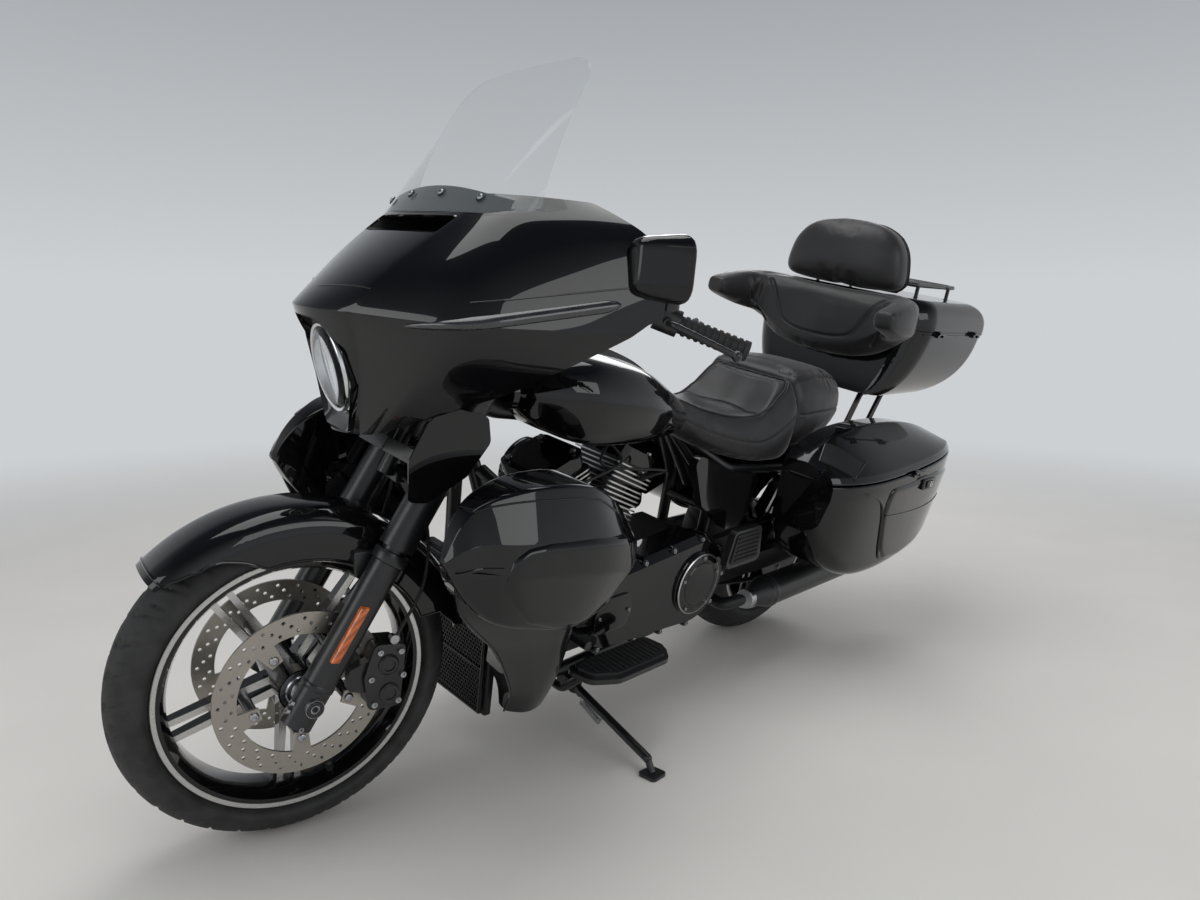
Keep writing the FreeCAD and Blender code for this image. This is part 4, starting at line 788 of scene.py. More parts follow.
class MOTO_OT_saddle(bpy.types.Operator):
    """Sews the rider's bucket seat and the pillion pad behind it"""
    bl_idname = "moto.saddle"
    bl_label = "Saddle"

    def execute(self, context):
        def rim(x, side):
            row = steady(SADDLE, x)
            return (x, side * row[0] * SADDLE_FLARE, row[3])
        stations = (640, 590, 520, 430, 350, 290, 250, 222)
        around = [rim(x, 1) for x in stations]
        around += [(196, 116, 892), (188, 60, 896), (186, 0, 897), (188, -60, 896), (196, -116, 892)]
        around += [rim(x, -1) for x in reversed(stations)]
        bolster = [(330, 138, 792), (318, 96, 776), (300, 46, 784), (294, 0, 784), (300, -46, 784),
                   (318, -96, 776), (330, -138, 792)]
        skirt = [(x, 0.985 * steady(SADDLE, x)[0], steady(SADDLE, x)[2] - 8) for x in
                 (600, 520, 430, 350, 290, 240, 210)]
        seams = [around, bolster, skirt, [(x, -y, z) for x, y, z in skirt]]
        lines = pad("rider_saddle", seat_mesh("rider_saddle", SADDLE, SADDLE_FLARE, (8, 3)), "root", "seat",
                    seams, cap=0.006)
        piping("saddle_piping", "root", lines[:1], 0.0024)
        edge = [(x, steady(PILLION, x)[0] * PILLION_FLARE, steady(PILLION, x)[3]) for x in
                (160, 100, 40, -20, -80, -120)]
        edge = [(170, 80, 900), *edge, (-142, 60, 866), (-146, 0, 866)]
        edge += [(x, -y, z) for x, y, z in reversed(edge[:-1])]
        low = [(x, steady(PILLION, x)[0] * 0.99, steady(PILLION, x)[2] - 30) for x in
               (170, 100, 40, -20, -80, -130)]
        more = pad("pillion_pad", seat_mesh("pillion_pad", PILLION, PILLION_FLARE, (3, 10)), "root", "seat",
                   [edge, low, [(x, -y, z) for x, y, z in low]], cap=0.006)
        stitch_rows("saddle_stitches", "root", [offset_line(lines[1], 0.004), offset_line(lines[1], -0.004),
                                                offset_line(more[0], 0.005)])
        return {"FINISHED"}


def offset_line(line, gap):
    """The same line moved sideways on the skin."""
    out = []
    for i, (p, n) in enumerate(line):
        ahead = line[min(i + 1, len(line) - 1)][0] - line[max(i - 1, 0)][0]
        out.append((p + ahead.cross(n).normalized() * gap, n))
    return out


# Backrest: x, y of the wrap's middle line, half thickness, low and high edge
WRAP = [(50, 294, 26, 1074, 1112), (34, 294, 34, 1064, 1120), (-20, 292, 42, 1050, 1132),
        (-80, 284, 47, 1040, 1142), (-128, 268, 49, 1030, 1150), (-160, 236, 50, 1004, 1156),
        (-176, 190, 50, 966, 1160), (-180, 140, 51, 946, 1160), (-178, 70, 53, 936, 1158),
        (-176, 0, 54, 932, 1158)]
# Height, back and front x, half width of the top pad
HEADREST = [(1164, -272, -196, 168), (1170, -282, -186, 190), (1190, -288, -176, 204),
            (1240, -294, -172, 200),
            (1290, -296, -176, 184), (1330, -296, -186, 150), (1348, -290, -200, 112),
            (1354, -276, -216, 84)]


def wrap_mesh():
    half = smooth_path([Vector((x, y, t)) for x, y, t, _, _ in WRAP], 5)
    edges = smooth_path([Vector((low, high, 0)) for *_, low, high in WRAP], 5)
    way = [(Vector((p.x, p.y, 0)), p.z, e.x, e.y) for p, e in zip(half, edges)]
    way += [(Vector((p.x, -p.y, 0)), t, low, high) for p, t, low, high in reversed(way[:-1])]
    rings = []
    for i, (p, t, low, high) in enumerate(way):
        ahead = (way[min(i + 1, len(way) - 1)][0] - way[max(i - 1, 0)][0]).normalized()
        out = Vector((0, 0, 1)).cross(ahead)
        mid, tall = (low + high) / 2, (high - low) / 2
        ring = []
        for k in range(28):
            a = 2 * math.pi * k / 28
            c, s = math.cos(a), math.sin(a)
            # The front swells low down, as a lumbar pad does.
            swell = 1 + 0.1 * max(0.0, -s) * (1 if c < 0 else 0)
            ring.append(p + out * t * swell * math.copysign(abs(c) ** 0.62, c)
                        + Vector((0, 0, mid + tall * math.copysign(abs(s) ** 0.5, s))))
        rings.append(ring)
    return body_of_rings("backrest_wrap", rings)


def headrest_mesh():
    rings = []
    for i in range(41):
        z = HEADREST[-1][0] + (HEADREST[0][0] - HEADREST[-1][0]) * i / 40
        back, front, half = steady(HEADREST[::-1], z)
        ring = []
        for k in range(40):
            a = 2 * math.pi * k / 40
            c, s = math.cos(a), math.sin(a)
            x = (back + front) / 2 + (front - back) / 2 * math.copysign(abs(c) ** 0.6, c)
            ring.append(Vector((x, half * math.copysign(abs(s) ** 0.55, s), z)))
        rings.append(ring)
    return body_of_rings("backrest_top_pad", rings)


class MOTO_OT_backrest(bpy.types.Operator):
    """Sews the wrap-around backrest and its top pad, with the moulded shell behind it"""
    bl_idname = "moto.backrest"
    bl_label = "Backrest"

    def execute(self, context):
        panel = [(-120, -196, 1146), (-120, -176, 1110), (-120, -150, 1060), (-118, -122, 1018),
                 (-116, -70, 1000), (-115, 0, 996), (-116, 70, 1000), (-118, 122, 1018),
                 (-120, 150, 1060), (-120, 176, 1110), (-120, 196, 1146)]
        arms = [[(-70, s * 240, 1132), (-76, s * 236, 1100), (-92, s * 228, 1060), (-112, s * 216, 1020),
                 (-124, s * 200, 985)] for s in (1, -1)]
        lines = pad("backrest_wrap", wrap_mesh(), "root", "backrest",
                    [panel, *arms], cap=0.008, depth=0.006, width=0.005)
        rim = [(-262, y, z) for y, z in ((-198, 1192), (-204, 1236), (-192, 1284), (-160, 1326),
                                         (-110, 1350),
                                         (0, 1358), (110, 1350), (160, 1326), (192, 1284), (204, 1236),
                                         (198, 1192))]
        back = pad("backrest_top_pad", headrest_mesh(), "tour_lid", "backrest_top",
                   [rim], cap=0.009, depth=0.003)
        piping("backrest_piping", "tour_lid", back, 0.0026)
        stitch_rows("backrest_stitches", "root",
                    [offset_line(lines[0], 0.006), offset_line(lines[0], -0.006)])
        # Moulded shell behind the top pad, down to the lid.
        rings = []
        for i in range(15):
            z = 1158 + i * 13
            _, _, half = steady(HEADREST[::-1], min(z, 1350))
            half *= 0.96
            depth = 10 + 8 * math.sin(math.pi * i / 14)
            rings.append([Vector((-288 + (4 if k in (0, 12) else -depth * math.sin(math.pi * k / 12)),
                                  half * math.cos(math.pi * k / 12), z)) for k in range(13)]
                         + [Vector((-276, -half * 0.9, z)), Vector((-276, half * 0.9, z))])
        solids("backrest_shell", "tour_lid", GRAIN_ABS, [rings])
        return {"FINISHED"}


# Painted bodywork

def cut_with(obj, cutters):
    """The mesh of an object with closed shapes cut out of it; all of them go."""
    for cutter in cutters:
        mod = obj.modifiers.new("opening", "BOOLEAN")
        mod.object, mod.operation, mod.solver = cutter, "DIFFERENCE", "EXACT"
    mesh = result_of(obj)
    for cutter in cutters:
        bpy.data.objects.remove(cutter)
    return mesh


def prism_of(name, outline, start_at, end_at, axis):
    """Straight prism of an outline drawn in the two other directions."""
    def put(a, b, c):
        return (c, a, b) if axis == 0 else (a, c, b) if axis == 1 else (a, b, c)
    rings = [[Vector(put(a, b, c)) for a, b in outline] for c in (start_at, end_at)]
    mesh = body_of_rings(name, rings)
    with editing(mesh) as bm:
        bmesh.ops.recalc_face_normals(bm, faces=bm.faces)
    return linked(name, mesh)


def softened(outline, radius, steps=5):
    """A flat outline with its corners rounded, all by one radius or each by its own."""
    out, n = [], len(outline)
    for i, p in enumerate(outline):
        p = Vector(p)
        a, b = Vector(outline[i - 1]) - p, Vector(outline[(i + 1) % n]) - p
        r = radius[i] if isinstance(radius, (list, tuple)) else radius
        half = a.angle(b) / 2
        reach = min(r / math.tan(half), a.length * 0.48, b.length * 0.48) if r else 0
        s, e = p + a.normalized() * reach, p + b.normalized() * reach
        for k in range(steps + 1 if reach else 1):
            t = k / steps if reach else 0
            out.append((s * (1 - t) ** 2 + p * 2 * t * (1 - t) + e * t * t)[:])
    return out


def subdivided(mesh, levels, thickness):
    """Subdivision surface, then a wall on the inner side; done before it is placed."""
    obj = linked("work", mesh)
    mod = obj.modifiers.new("smooth", "SUBSURF")
    mod.levels = mod.render_levels = levels
    wall = obj.modifiers.new("wall", "SOLIDIFY")
    wall.thickness, wall.offset, wall.use_even_offset = thickness, -1.0, True
    return result_of(obj)


def net_surface(name, rows, creases):
    """Open control net as a mesh; creases are (row or None, column or None, sharpness)."""
    m = len(rows[0])
    mesh = body_of_rings(name, rows, False, False)
    with editing(mesh) as bm:
        layer = bm.edges.layers.float.get("crease_edge") or bm.edges.layers.float.new("crease_edge")
        bm.verts.ensure_lookup_table()
        for edge in bm.edges:
            a, b = sorted(v.index for v in edge.verts)
            for row, col, sharp in creases:
                in_row = a // m == row and b == a + 1 and (col is None or col[0] <= a % m < col[1])
                if in_row if row is not None else (b == a + m and a % m == col):
                    edge[layer] = sharp
        bmesh.ops.recalc_face_normals(bm, faces=bm.faces)
    return mesh


# Fairing sections: height, nose x, setback, nose half width, shoulder x and y, tail x and y
FAIRING = [(790, 1552, 24, 58, 1512, 84, 1492, 98), (806, 1557, 26, 64, 1511, 96, 1486, 108),
           (880, 1578, 40, 92, 1488, 180, 1370, 218), (960, 1604, 50, 112, 1468, 262, 1240, 330),
           (1008, 1622, 50, 126, 1458, 305, 1160, 390), (1030, 1629, 50, 131, 1454, 320, 1128, 411),
           (1044, 1616, 44, 138, 1450, 316, 1124, 414), (1120, 1532, 26, 164, 1430, 290, 1112, 414),
           (1196, 1438, 20, 184, 1372, 266, 1130, 388), (1222, 1404, 18, 186, 1342, 254, 1158, 350),
           (1254, 1358, 16, 176, 1300, 236, 1196, 282)]
LAMP_HOLE = [(-62, 806), (62, 806), (100, 900), (100, 960), (58, 1014), (-58, 1014), (-100, 960),
             (-100, 900)]
LAMP_CENTRE, LAMP_TILT = Vector((1556, 0, 920)), math.radians(14)


def fairing_row(row):
    z, nose, back, half, sx, sy, tx, ty = row
    side = [(nose, 0), (nose - back * 0.22, half * 0.5), (nose - back * 0.78, half * 0.94),
            (nose - back - 2, half + 6), ((nose - back) * 0.62 + sx * 0.38, half * 0.6 + sy * 0.4 + 5),
            (sx + 6, sy - 2), (sx * 0.78 + tx * 0.22, sy * 0.78 + ty * 0.22 + 4),
            (sx * 0.42 + tx * 0.58, sy * 0.42 + ty * 0.58 + 6),
            (tx * 0.9 + sx * 0.1, ty * 0.9 + sy * 0.1 + 2), (tx, ty)]
    left = [Vector((x, y, z)) for x, y in side]
    return [Vector((p.x, -p.y, z)) for p in reversed(left[1:])] + left


class MOTO_OT_fairing(bpy.types.Operator):
    """Shapes the fork-mounted fairing with its lamp opening, hood vent and side creases"""
    bl_idname = "moto.fairing"
    bl_label = "Fairing"

    def execute(self, context):
        rows = [fairing_row(r) for r in FAIRING]
        mid = len(rows[0]) // 2
        net = net_surface("fairing", rows, [(5, (mid - 9, mid + 9), 0.55), (None, mid + 3, 0.75),
                                            (None, mid - 3, 0.75), (0, None, 1.0), (10, None, 1.0)])
        mesh = subdivided(net, 3, 4.0)
        shell = linked("fairing_skin", mesh)
        whole = search_tree(mesh)
        hole = softened(LAMP_HOLE, 22)
        vent = softened([(-168, 1176), (168, 1176), (176, 1210), (-176, 1210)], 9)
        under = softened([(1620, 700), (1620, 792), (1520, 806), (1330, 906), (1204, 1008), (1140, 1058),
                          (1000, 1060), (1000, 700)], [0, 0, 60, 120, 60, 30, 0, 0])
        mesh = cut_with(shell, [prism_of("lamp_opening", hole, 1500, 1700, 0),
                                prism_of("vent_opening", vent, 1380, 1600, 0),
                                prism_of("under_edge", under, -500, 500, 1)])
        skin = to_piece("fairing_skin", mesh, "steering", PAINT, 30)
        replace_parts(skin, "fairing_shell")
        # Vent trim: a dark duct behind the slot.
        duct = softened([(-170, 1178), (170, 1178), (177, 1209), (-177, 1209)], 9)
        rings = []
        for back, grow in ((5, -1.5), (47, -3), (125, -10)):
            rings.append([Vector((whole.ray_cast(Vector((1900, y, z)), Vector((-1, 0, 0)))[0].x - back,
                                  y * (1 + grow / 175), z + (1194 - z) * -grow / 30)) for y, z in duct])
        solids("vent_duct", "steering", GRAIN_ABS, [rings], caps=False)
        back = mesh_of("vent_back", rings[-1], [tuple(range(len(rings[-1])))])
        to_piece("vent_back", back, "steering", GRAIN_ABS, closed=False)
        return {"FINISHED"}


def lamp_point(y, z, ahead):
    """Point on the headlamp: across, up and ahead of its tilted face."""
    return (LAMP_CENTRE + Vector((0, y, 0)) + Vector((math.sin(LAMP_TILT), 0, math.cos(LAMP_TILT))) * z
            + Vector((math.cos(LAMP_TILT), 0, -math.sin(LAMP_TILT))) * ahead)


def dial(rings):
    """Rings of (radius, ahead) about the lamp's axis."""
    return [[lamp_point(r * math.cos(a), r * math.sin(a), ahead) for a in round_angles(48)]
            for r, ahead in rings]


class MOTO_OT_headlamp(bpy.types.Operator):
    """Builds the headlamp: surround, reflector, light modules and domed cover"""
    bl_idname = "moto.headlamp"
    bl_label = "Headlamp"

    def execute(self, context):
        hole = softened(LAMP_HOLE, 22)
        rings = []
        for k in range(5):
            ring = []
            for y, z in hole:
                ang = math.atan2(z - 920, y)
                inner = lamp_point(88 * math.cos(ang), 88 * math.sin(ang), -8)
                face = 1556 + (z - 806) * 0.29 + (6 if z < 860 else 0) - abs(y) * 0.22
                outer = Vector((face - 3, y * 0.995, z))
                t = k / 4
                p = outer.lerp(inner, t)
                # The chin stands forward as a shelf under the lamp; the brow drops straight in.
                p.x -= math.sin(math.pi * t) * (2 if z < 880 else 14)
                ring.append(p)
            rings.append(ring)
        surround = solids("lamp_surround", "steering", PAINT, [rings], 40, False)
        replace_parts(surround, "headlamp")
        bowl = dial([(86, -6), (88, 2), (84, 4), (82, -2), (80, -16), (70, -34), (52, -46), (20, -50),
                     (2, -51)])
        solids("lamp_bowl", "steering", CHROME, [bowl], 30, False)
        # Two stacked light modules on each side of the centre, in dark frames.
        bm = bmesh.new()
        lit = bmesh.new()
        for y0, y1 in ((-58, -6), (6, 58)):
            for z0, z1 in ((-40, -3), (3, 40)):
                box = softened([(y0, z0), (y1, z0), (y1, z1), (y0, z1)], 10, 4)
                for target, shrink, fore, aft in ((bm, 0.0, -8, -40), (lit, 5.0, -14, -22)):
                    cy, cz = (y0 + y1) / 2, (z0 + z1) / 2
                    loop = [(cy + (y - cy) * (1 - shrink / 26), cz + (z - cz) * (1 - shrink / 19))
                            for y, z in box]
                    if target is bm:
                        rows = [(0.0, aft), (0.0, fore), (3.0, fore), (4.0, fore - 8)]
                    else:
                        rows = [(0.0, aft), (0.0, fore - 3), (5.0, fore)]
                    last = None
                    for inset, x in rows:
                        ring = [target.verts.new(lamp_point(cy + (y - cy) * (1 - inset / 26),
                                                            cz + (z - cz) * (1 - inset / 19), x))
                                for y, z in loop]
                        if last:
                            for k in range(len(ring)):
                                target.faces.new((last[k - 1], last[k], ring[k], ring[k - 1]))
                        last = ring
                    target.faces.new(last)
        for name, target, finish in (("lamp_modules", bm, GRAIN_ABS), ("lamp_lenses", lit, LED)):
            mesh = bpy.data.meshes.new(name)
            target.to_mesh(mesh)
            target.free()
            to_piece(name, mesh, "steering", finish, 30)
        ring = dial([(83, 0), (86, 2), (86, 8), (83, 11), (78, 9), (77, 3)])
        solids("lamp_ring", "steering", CHROME, [ring + ring[:1]], 50, False)
        dome = [(80.0 * math.sin(a), 6 + 16 * (math.cos(a) - math.cos(1.45)) / (1 - math.cos(1.45)))
                for a in (1.45 * k / 12 for k in range(12, 0, -1))]
        dome = [(r / math.sin(1.45), x) for r, x in dome]
        to_piece("lamp_cover", body_of_rings("lamp_cover", dial(dome), caps=True), "steering",
                 LAMP, 60, closed=False)
        return {"FINISHED"}


# Tyres

def tyre_mesh(name, centre, radius, crown, shoulder, side, bead, pitches):
    """Tyre with a cut tread: sweeping grooves that repeat round it, and ribbed walls."""
    drop = crown - math.sqrt(crown ** 2 - shoulder ** 2)
    half = []
    for k in range(15):
        y = shoulder * k / 14
        half.append((radius - crown + math.sqrt(crown ** 2 - y * y), y, "tread"))
    top, wide, foot = Vector((radius - drop, shoulder)), Vector(side), Vector((bead[0] + 14, bead[1] + 6))
    for k in range(1, 9):
        t = k / 8
        mid = wide * 2 - (top + foot) / 2
        p = top * (1 - t) ** 2 + mid * 2 * t * (1 - t) + foot * t * t
        half.append((p.x, p.y, "wall"))
    half += [(bead[0] + 12.7, bead[1] + 1.4, "lip"), (bead[0], bead[1], "lip"),
             (bead[0] + 3, bead[1] - 10, "lip")]
    profile = [(r, -y, kind) for r, y, kind in reversed(half[1:])] + half
    steps = pitches * 12
    rings = []
    for i in range(steps):
        ring = []
        for r, y, kind in profile:
            u = (i / 12) % 1.0
            depth = 0.0
            reach = abs(y) / shoulder
            if kind == "tread":
                # Each side has a long sweeping groove per pitch, and a short one between.
                for offset, low, high, width, lean in ((0.0, 0.12, 0.98, 0.085, 0.55),
                                                       (0.5, 0.5, 0.9, 0.06, 0.3),
                                                       (0.28, 0.2, 0.42, 0.06, -0.3)):
                    line = (offset + (0.5 if y < 0 else 0.0) + lean * reach ** 1.4) % 1.0
                    gap = min(abs(u - line), 1 - abs(u - line))
                    if low < reach < high and gap < width:
                        depth = max(depth, 3.6 * (1 - (gap / width) ** 4))
            elif kind == "wall":
                near = abs(abs(y) - side[1])
                depth = 0.5 if near < 1.2 and abs(r - side[0]) > 6 else 0.0
            ring.append((r - depth, y))
        a = 2 * math.pi * i / steps
        rings.append([Vector((centre.x + r * math.cos(a), y, centre.z + r * math.sin(a))) for r, y in ring])
    n, m = steps, len(profile)
    faces = [(i * m + j, i * m + j + 1, ((i + 1) % n) * m + j + 1, ((i + 1) % n) * m + j)
             for i in range(n) for j in range(m - 1)]
    faces += [(i * m + m - 1, i * m, ((i + 1) % n) * m, ((i + 1) % n) * m + m - 1) for i in range(n)]
    return mesh_of(name, [p for ring in rings for p in ring], faces)


class MOTO_OT_tyres(bpy.types.Operator):
    """Cuts the tread of both tyres and fits their valves"""
    bl_idname = "moto.tyres"
    bl_label = "Tyres"

    def execute(self, context):
        front = tyre_mesh("front_tyre_tread", FRONT_AXLE, 319.3, 68.0, 60, (266, 65), (241.5, 46.8), 34)
        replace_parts(to_piece("front_tyre_tread", front, "front_wheel", TYRE, 40), "front_tyre")
        rear = tyre_mesh("rear_tyre_tread", REAR_AXLE, 327.6, 97.0, 84, (256, 90), (228.8, 71.8), 34)
        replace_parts(to_piece("rear_tyre_tread", rear, "rear_wheel", TYRE, 40), "rear_tyre")
        for name, body, axle, base in (("front_valve", "front_wheel", FRONT_AXLE, 229),
                                       ("rear_valve", "rear_wheel", REAR_AXLE, 214)):
            a = math.radians(250)
            out = Vector((math.cos(a), 0, math.sin(a)))
            foot = axle + out * base + Vector((0, 24, 0))
            way = -out * 0.86 + Vector((0, 0.5, 0))
            rings = []
            for r, d in ((6.5, -2), (6.2, 6), (4.6, 9), (4.2, 20), (4.6, 21), (4.6, 31), (2.5, 33)):
                side = way.normalized().orthogonal()
                other = way.normalized().cross(side)
                rings.append([foot + way.normalized() * d + side * r * math.cos(t) + other * r * math.sin(t)
                              for t in round_angles(12)])
            solids(name, body, RUBBER, [rings], 50)
        return {"FINISHED"}


# Forks, brakes and bars

def bars_of(name, body, runs, finish, sides=14, per=8):
    """Round bars, hoses or cables, each (points, radius), as one piece."""
    mesh = bpy.data.meshes.new(name)
    with editing(mesh) as bm:
        for points, radius in runs:
            ring_of(bm, smooth_path(points, per), radius, sides)
    return to_piece(name, mesh, body, finish, 40)


def along_fork(length, y, ahead=0.0):
    """Point beside the fork's axis line, so far up it and so far ahead of it."""
    square = Vector((FORK_DIR.z, 0, -FORK_DIR.x))
    return FRONT_AXLE + FORK_DIR * length + square * ahead + Vector((0, y, 0))


def turned_on(base, axis, rings, sides=28):
    """Rings of (radius, distance) round an axis."""
    axis = axis.normalized()
    side = axis.orthogonal().normalized()
    other = axis.cross(side)
    return [[base + axis * d + side * r * math.cos(a) + other * r * math.sin(a)
             for a in round_angles(sides)] for r, d in rings]


def joined(name, bodies, caps=True):
    """One mesh of several bodies of rings."""
    points, faces = [], []
    for rings in bodies:
        base = len(points)
        points += [p for ring in rings for p in ring]
        faces += [tuple(base + k for k in f) for f in grid_faces(len(rings), len(rings[0]), True, caps)]
    return mesh_of(name, points, faces)


def slab(outline, low, high, axis, edge=1.5):
    """Rings of a flat plate with rounded edges, from low to high along one axis."""
    cx = sum(p[0] for p in outline) / len(outline)
    cy = sum(p[1] for p in outline) / len(outline)

    def shrunk(d):
        out = []
        for a, b in outline:
            w = Vector((a - cx, b - cy))
            w = w * max(0.0, 1 - d / max(w.length, 1e-6))
            out.append((cx + w.x, cy + w.y))
        return out

    def put(a, b, c):
        return Vector((c, a, b)) if axis == 0 else Vector((a, c, b)) if axis == 1 else Vector((a, b, c))
    step = math.copysign(1, high - low)
    return [[put(a, b, c) for a, b in shrunk(d)] for d, c in
            ((edge, low), (edge * 0.3, low + step * edge * 0.3), (0, low + step * edge),
             (0, high - step * edge), (edge * 0.3, high - step * edge * 0.3), (edge, high))]


def plate(a, b, radius, low, high, axis, edge):
    """Rings of a rectangular plate between two opposite corners, which are rounded."""
    return slab(softened([a, (b[0], a[1]), b, (a[0], b[1])], radius), low, high, axis, edge)


def solids(name, body, finish, parts, sharp=35.0, caps=True):
    """One piece of several bodies of rings."""
    return to_piece(name, joined(name, parts, caps), body, finish, sharp)


def screw_circle(centre, radius, degrees, facing, size):
    """Spots of screws on a circle that faces sideways."""
    return [(centre + Vector((radius * math.cos(a), 0, radius * math.sin(a))), facing, size)
            for a in map(math.radians, degrees)]


class MOTO_OT_forks(bpy.types.Operator):
    """Fits the fork reflectors, seals, axle caps, caliper parts and brake lines"""
    bl_idname = "moto.forks"
    bl_label = "Forks and brakes"

    def execute(self, context):
        bodies, screws = [], []
        for s in (1, -1):
            y = s * 124
            # Reflector: a bevelled amber bar on the outside of each leg.
            rows = []
            for dy, shrink in ((25, 0), (32.5, 0), (35.0, 1.6), (35.6, 3.2)):
                rows.append([along_fork(l, y + s * dy, a) for l, a in
                             softened([(84 + shrink, 17 - shrink), (198 - shrink, 17 - shrink),
                                       (204 - shrink, 1 + shrink), (90 + shrink, 1 + shrink)], 3)])
            bodies.append(rows)
            # Axle pinch screws, seal collars and drain screws.
            screws += [(along_fork(-26 + 16 * k, y + s * 8, 30), (0.87, 0, 0.49), 5.5) for k in range(2)]
            screws += [(along_fork(-44, y + s * 27, 0), (0, s, 0), 4.5)]
        solids("fork_reflectors", "steering", AMBER, bodies, 30)
        collars = []
        for s in (1, -1):
            base = along_fork(0, s * 124)
            collars.append(turned_on(base, FORK_DIR,
                                     [(30, 286), (33.5, 288), (34.5, 292), (34.5, 306), (33, 309),
                                      (26, 310)]))
            collars.append(turned_on(base, FORK_DIR, [(30.2, 26), (31.6, 28), (31.6, 36), (30.2, 38)]))
            # Axle nut cover with a hex socket.
            collars.append(turned_on(FRONT_AXLE + Vector((0, s * 153, 0)), Vector((0, s, 0)),
                                     [(17, 0), (17, 8), (15, 11), (9.5, 11.6), (8.5, 11.2), (8, 3)], 24))
        solids("fork_collars", "steering", SATIN, collars)
        # Hub covers: turned cones with a bright face, as wide as the spoke roots.
        hubs = []
        for s in (1, -1):
            hubs.append(turned_on(FRONT_AXLE + Vector((0, s * 79.6, 0)), Vector((0, s, 0)),
                                  [(41.5, -26), (41.5, -4), (39, 0.4), (30, 1.2), (28, 4), (21, 5.4),
                                   (19.4, 14)], 40))
        solids("front_hub_covers", "front_wheel", ALLOY, hubs)
        # Caliper: rounded body ribs, pistons' bores and banjo, behind each leg.
        calipers, bright = [], []
        for s in (1, -1):
            c = FRONT_AXLE + Vector((-136.7, s * 122, 19.2))
            outline = softened([(c.x - 40, c.z - 66), (c.x + 24, c.z - 66), (c.x + 36, c.z + 4),
                                (c.x + 16, c.z + 70), (c.x - 48, c.z + 64)], 16)
            calipers.append(slab(outline, c.y - s * 2, c.y + s * 9, 1, 4))
            for dx, dz in ((-16, -34), (-12, 26)):
                calipers.append(turned_on(Vector((c.x + dx, c.y + s * 6, c.z + dz)), Vector((0, s, 0)),
                                          [(21, 0), (20.5, 6), (17, 9), (12, 9.4), (11, 7), (3, 7)]))
            for dx, dz in ((-34, -52), (14, -52), (-36, 50), (6, 54), (22, 2), (-42, 0)):
                screws.append((Vector((c.x + dx, c.y + s * 8, c.z + dz)), (0, s, 0), 6.0))
            bright.append(turned_on(Vector((c.x - 20, c.y + s * 8, c.z + 78)), Vector((0, s, 0)),
                                    [(7, -10), (7, 2), (9, 2.4), (9, 8), (5, 8.6)], 16))
        solids("caliper_faces", "steering", SATIN, calipers)
        solids("brake_banjos", "steering", STEEL, bright)
        head = fastener_head("socket")
        repeated("front_screws", "steering", screws, head, STEEL, turn=1.0)
        lugs = []
        for s in (1, -1):
            lugs += screw_circle(FRONT_AXLE + Vector((0, s * 90.8, 0)), 92, range(-18, -378, -72),
                                 (0, s, 0), 9.0)
        repeated("front_disc_screws", "front_wheel", lugs, fastener_head("button"), STEEL,
                 turn=1.0)
        lugs = []
        for k in range(5):
            a = math.radians(-72 * k - 18)
            for y, s in ((-99.8, -1), (125.2, 1)):
                lugs.append((REAR_AXLE + Vector((75 * math.cos(a), y, 75 * math.sin(a))), (0, s, 0), 8.0))
        repeated("rear_disc_screws", "rear_wheel", lugs, fastener_head("button"), STEEL,
                 turn=1.0)
        # Brake lines: from each caliper up behind the leg to a junction under the lower clamp.
        lines = []
        for s in (1, -1):
            c = FRONT_AXLE + Vector((-156, s * 134, 98))
            lines.append(([c, c + Vector((-18, s * 2, 30)), Vector((1412, s * 130, 520)),
                           Vector((1398, s * 108, 610)),
                           Vector((1404, s * 62, 680)), Vector((1420, s * 20, 706))], 3.4))
        lines.append(([Vector((1420, 0, 706)), Vector((1432, 14, 760)), Vector((1412, 22, 850)),
                       Vector((1370, 30, 930)), Vector((1330, 60, 1010))], 3.4))
        bars_of("front_brake_lines", "steering", lines, RUBBER, 8)
        junction = plate((1408, 694), (1434, 716), 4, -26, 26, 1, 2)
        solids("brake_junction", "steering", SATIN, [junction])
        return {"FINISHED"}


def fastener_head(kind):
    """The mesh for a kind of screw head, made once."""
    return bpy.data.meshes.get("fastener_" + kind) or fastener_template(kind)


# Rim finish: black with the faces that the lathe has cut left bright
class MOTO_OT_rims(bpy.types.Operator):
    """Gives both rims their black barrels, cut lips and bright spoke faces"""
    bl_idname = "moto.rims"
    bl_label = "Rims"

    def execute(self, context):
        for node, axle, place, outer, lip, wide in (("front_rim", FRONT_AXLE, STEERED, 252.6, 243.5, 52.0),
                                                    ("rear_rim", REAR_AXLE, PARKED, 240.0, 230.5, 77.0)):
            obj = from_node(node + "_cut", node, PAINT, 30)
            obj.data.materials.append(bpy.data.materials[CUT])
            back = place.inverted()
            for face in obj.data.polygons:
                n = (back.to_3x3() @ face.normal).normalized()
                c = back @ face.center - axle
                if abs(n.y) > 0.96 and 46 < math.hypot(c.x, c.z) < 226 and abs(c.y) < 30:
                    face.material_index = 1
            # Lip rings cut bright on both sides, and a fine line where the well begins.
            rings = []
            for s in (1, -1):
                base = axle + Vector((0, s * (wide - 2.6), 0))
                rings.append(turned_on(base, Vector((0, s, 0)),
                                       [(outer, 0), (outer, 2.9), (outer - 1, 3.5), (lip, 2.6),
                                        (lip - 0.5, 0.6), (outer, 0)], 144))
            body = "front_wheel" if axle == FRONT_AXLE else "rear_wheel"
            solids(node + "_lips", body, CUT, rings, 30, caps=False)
        return {"FINISHED"}


# Fenders, tank and the copies of the CAD's own shapes

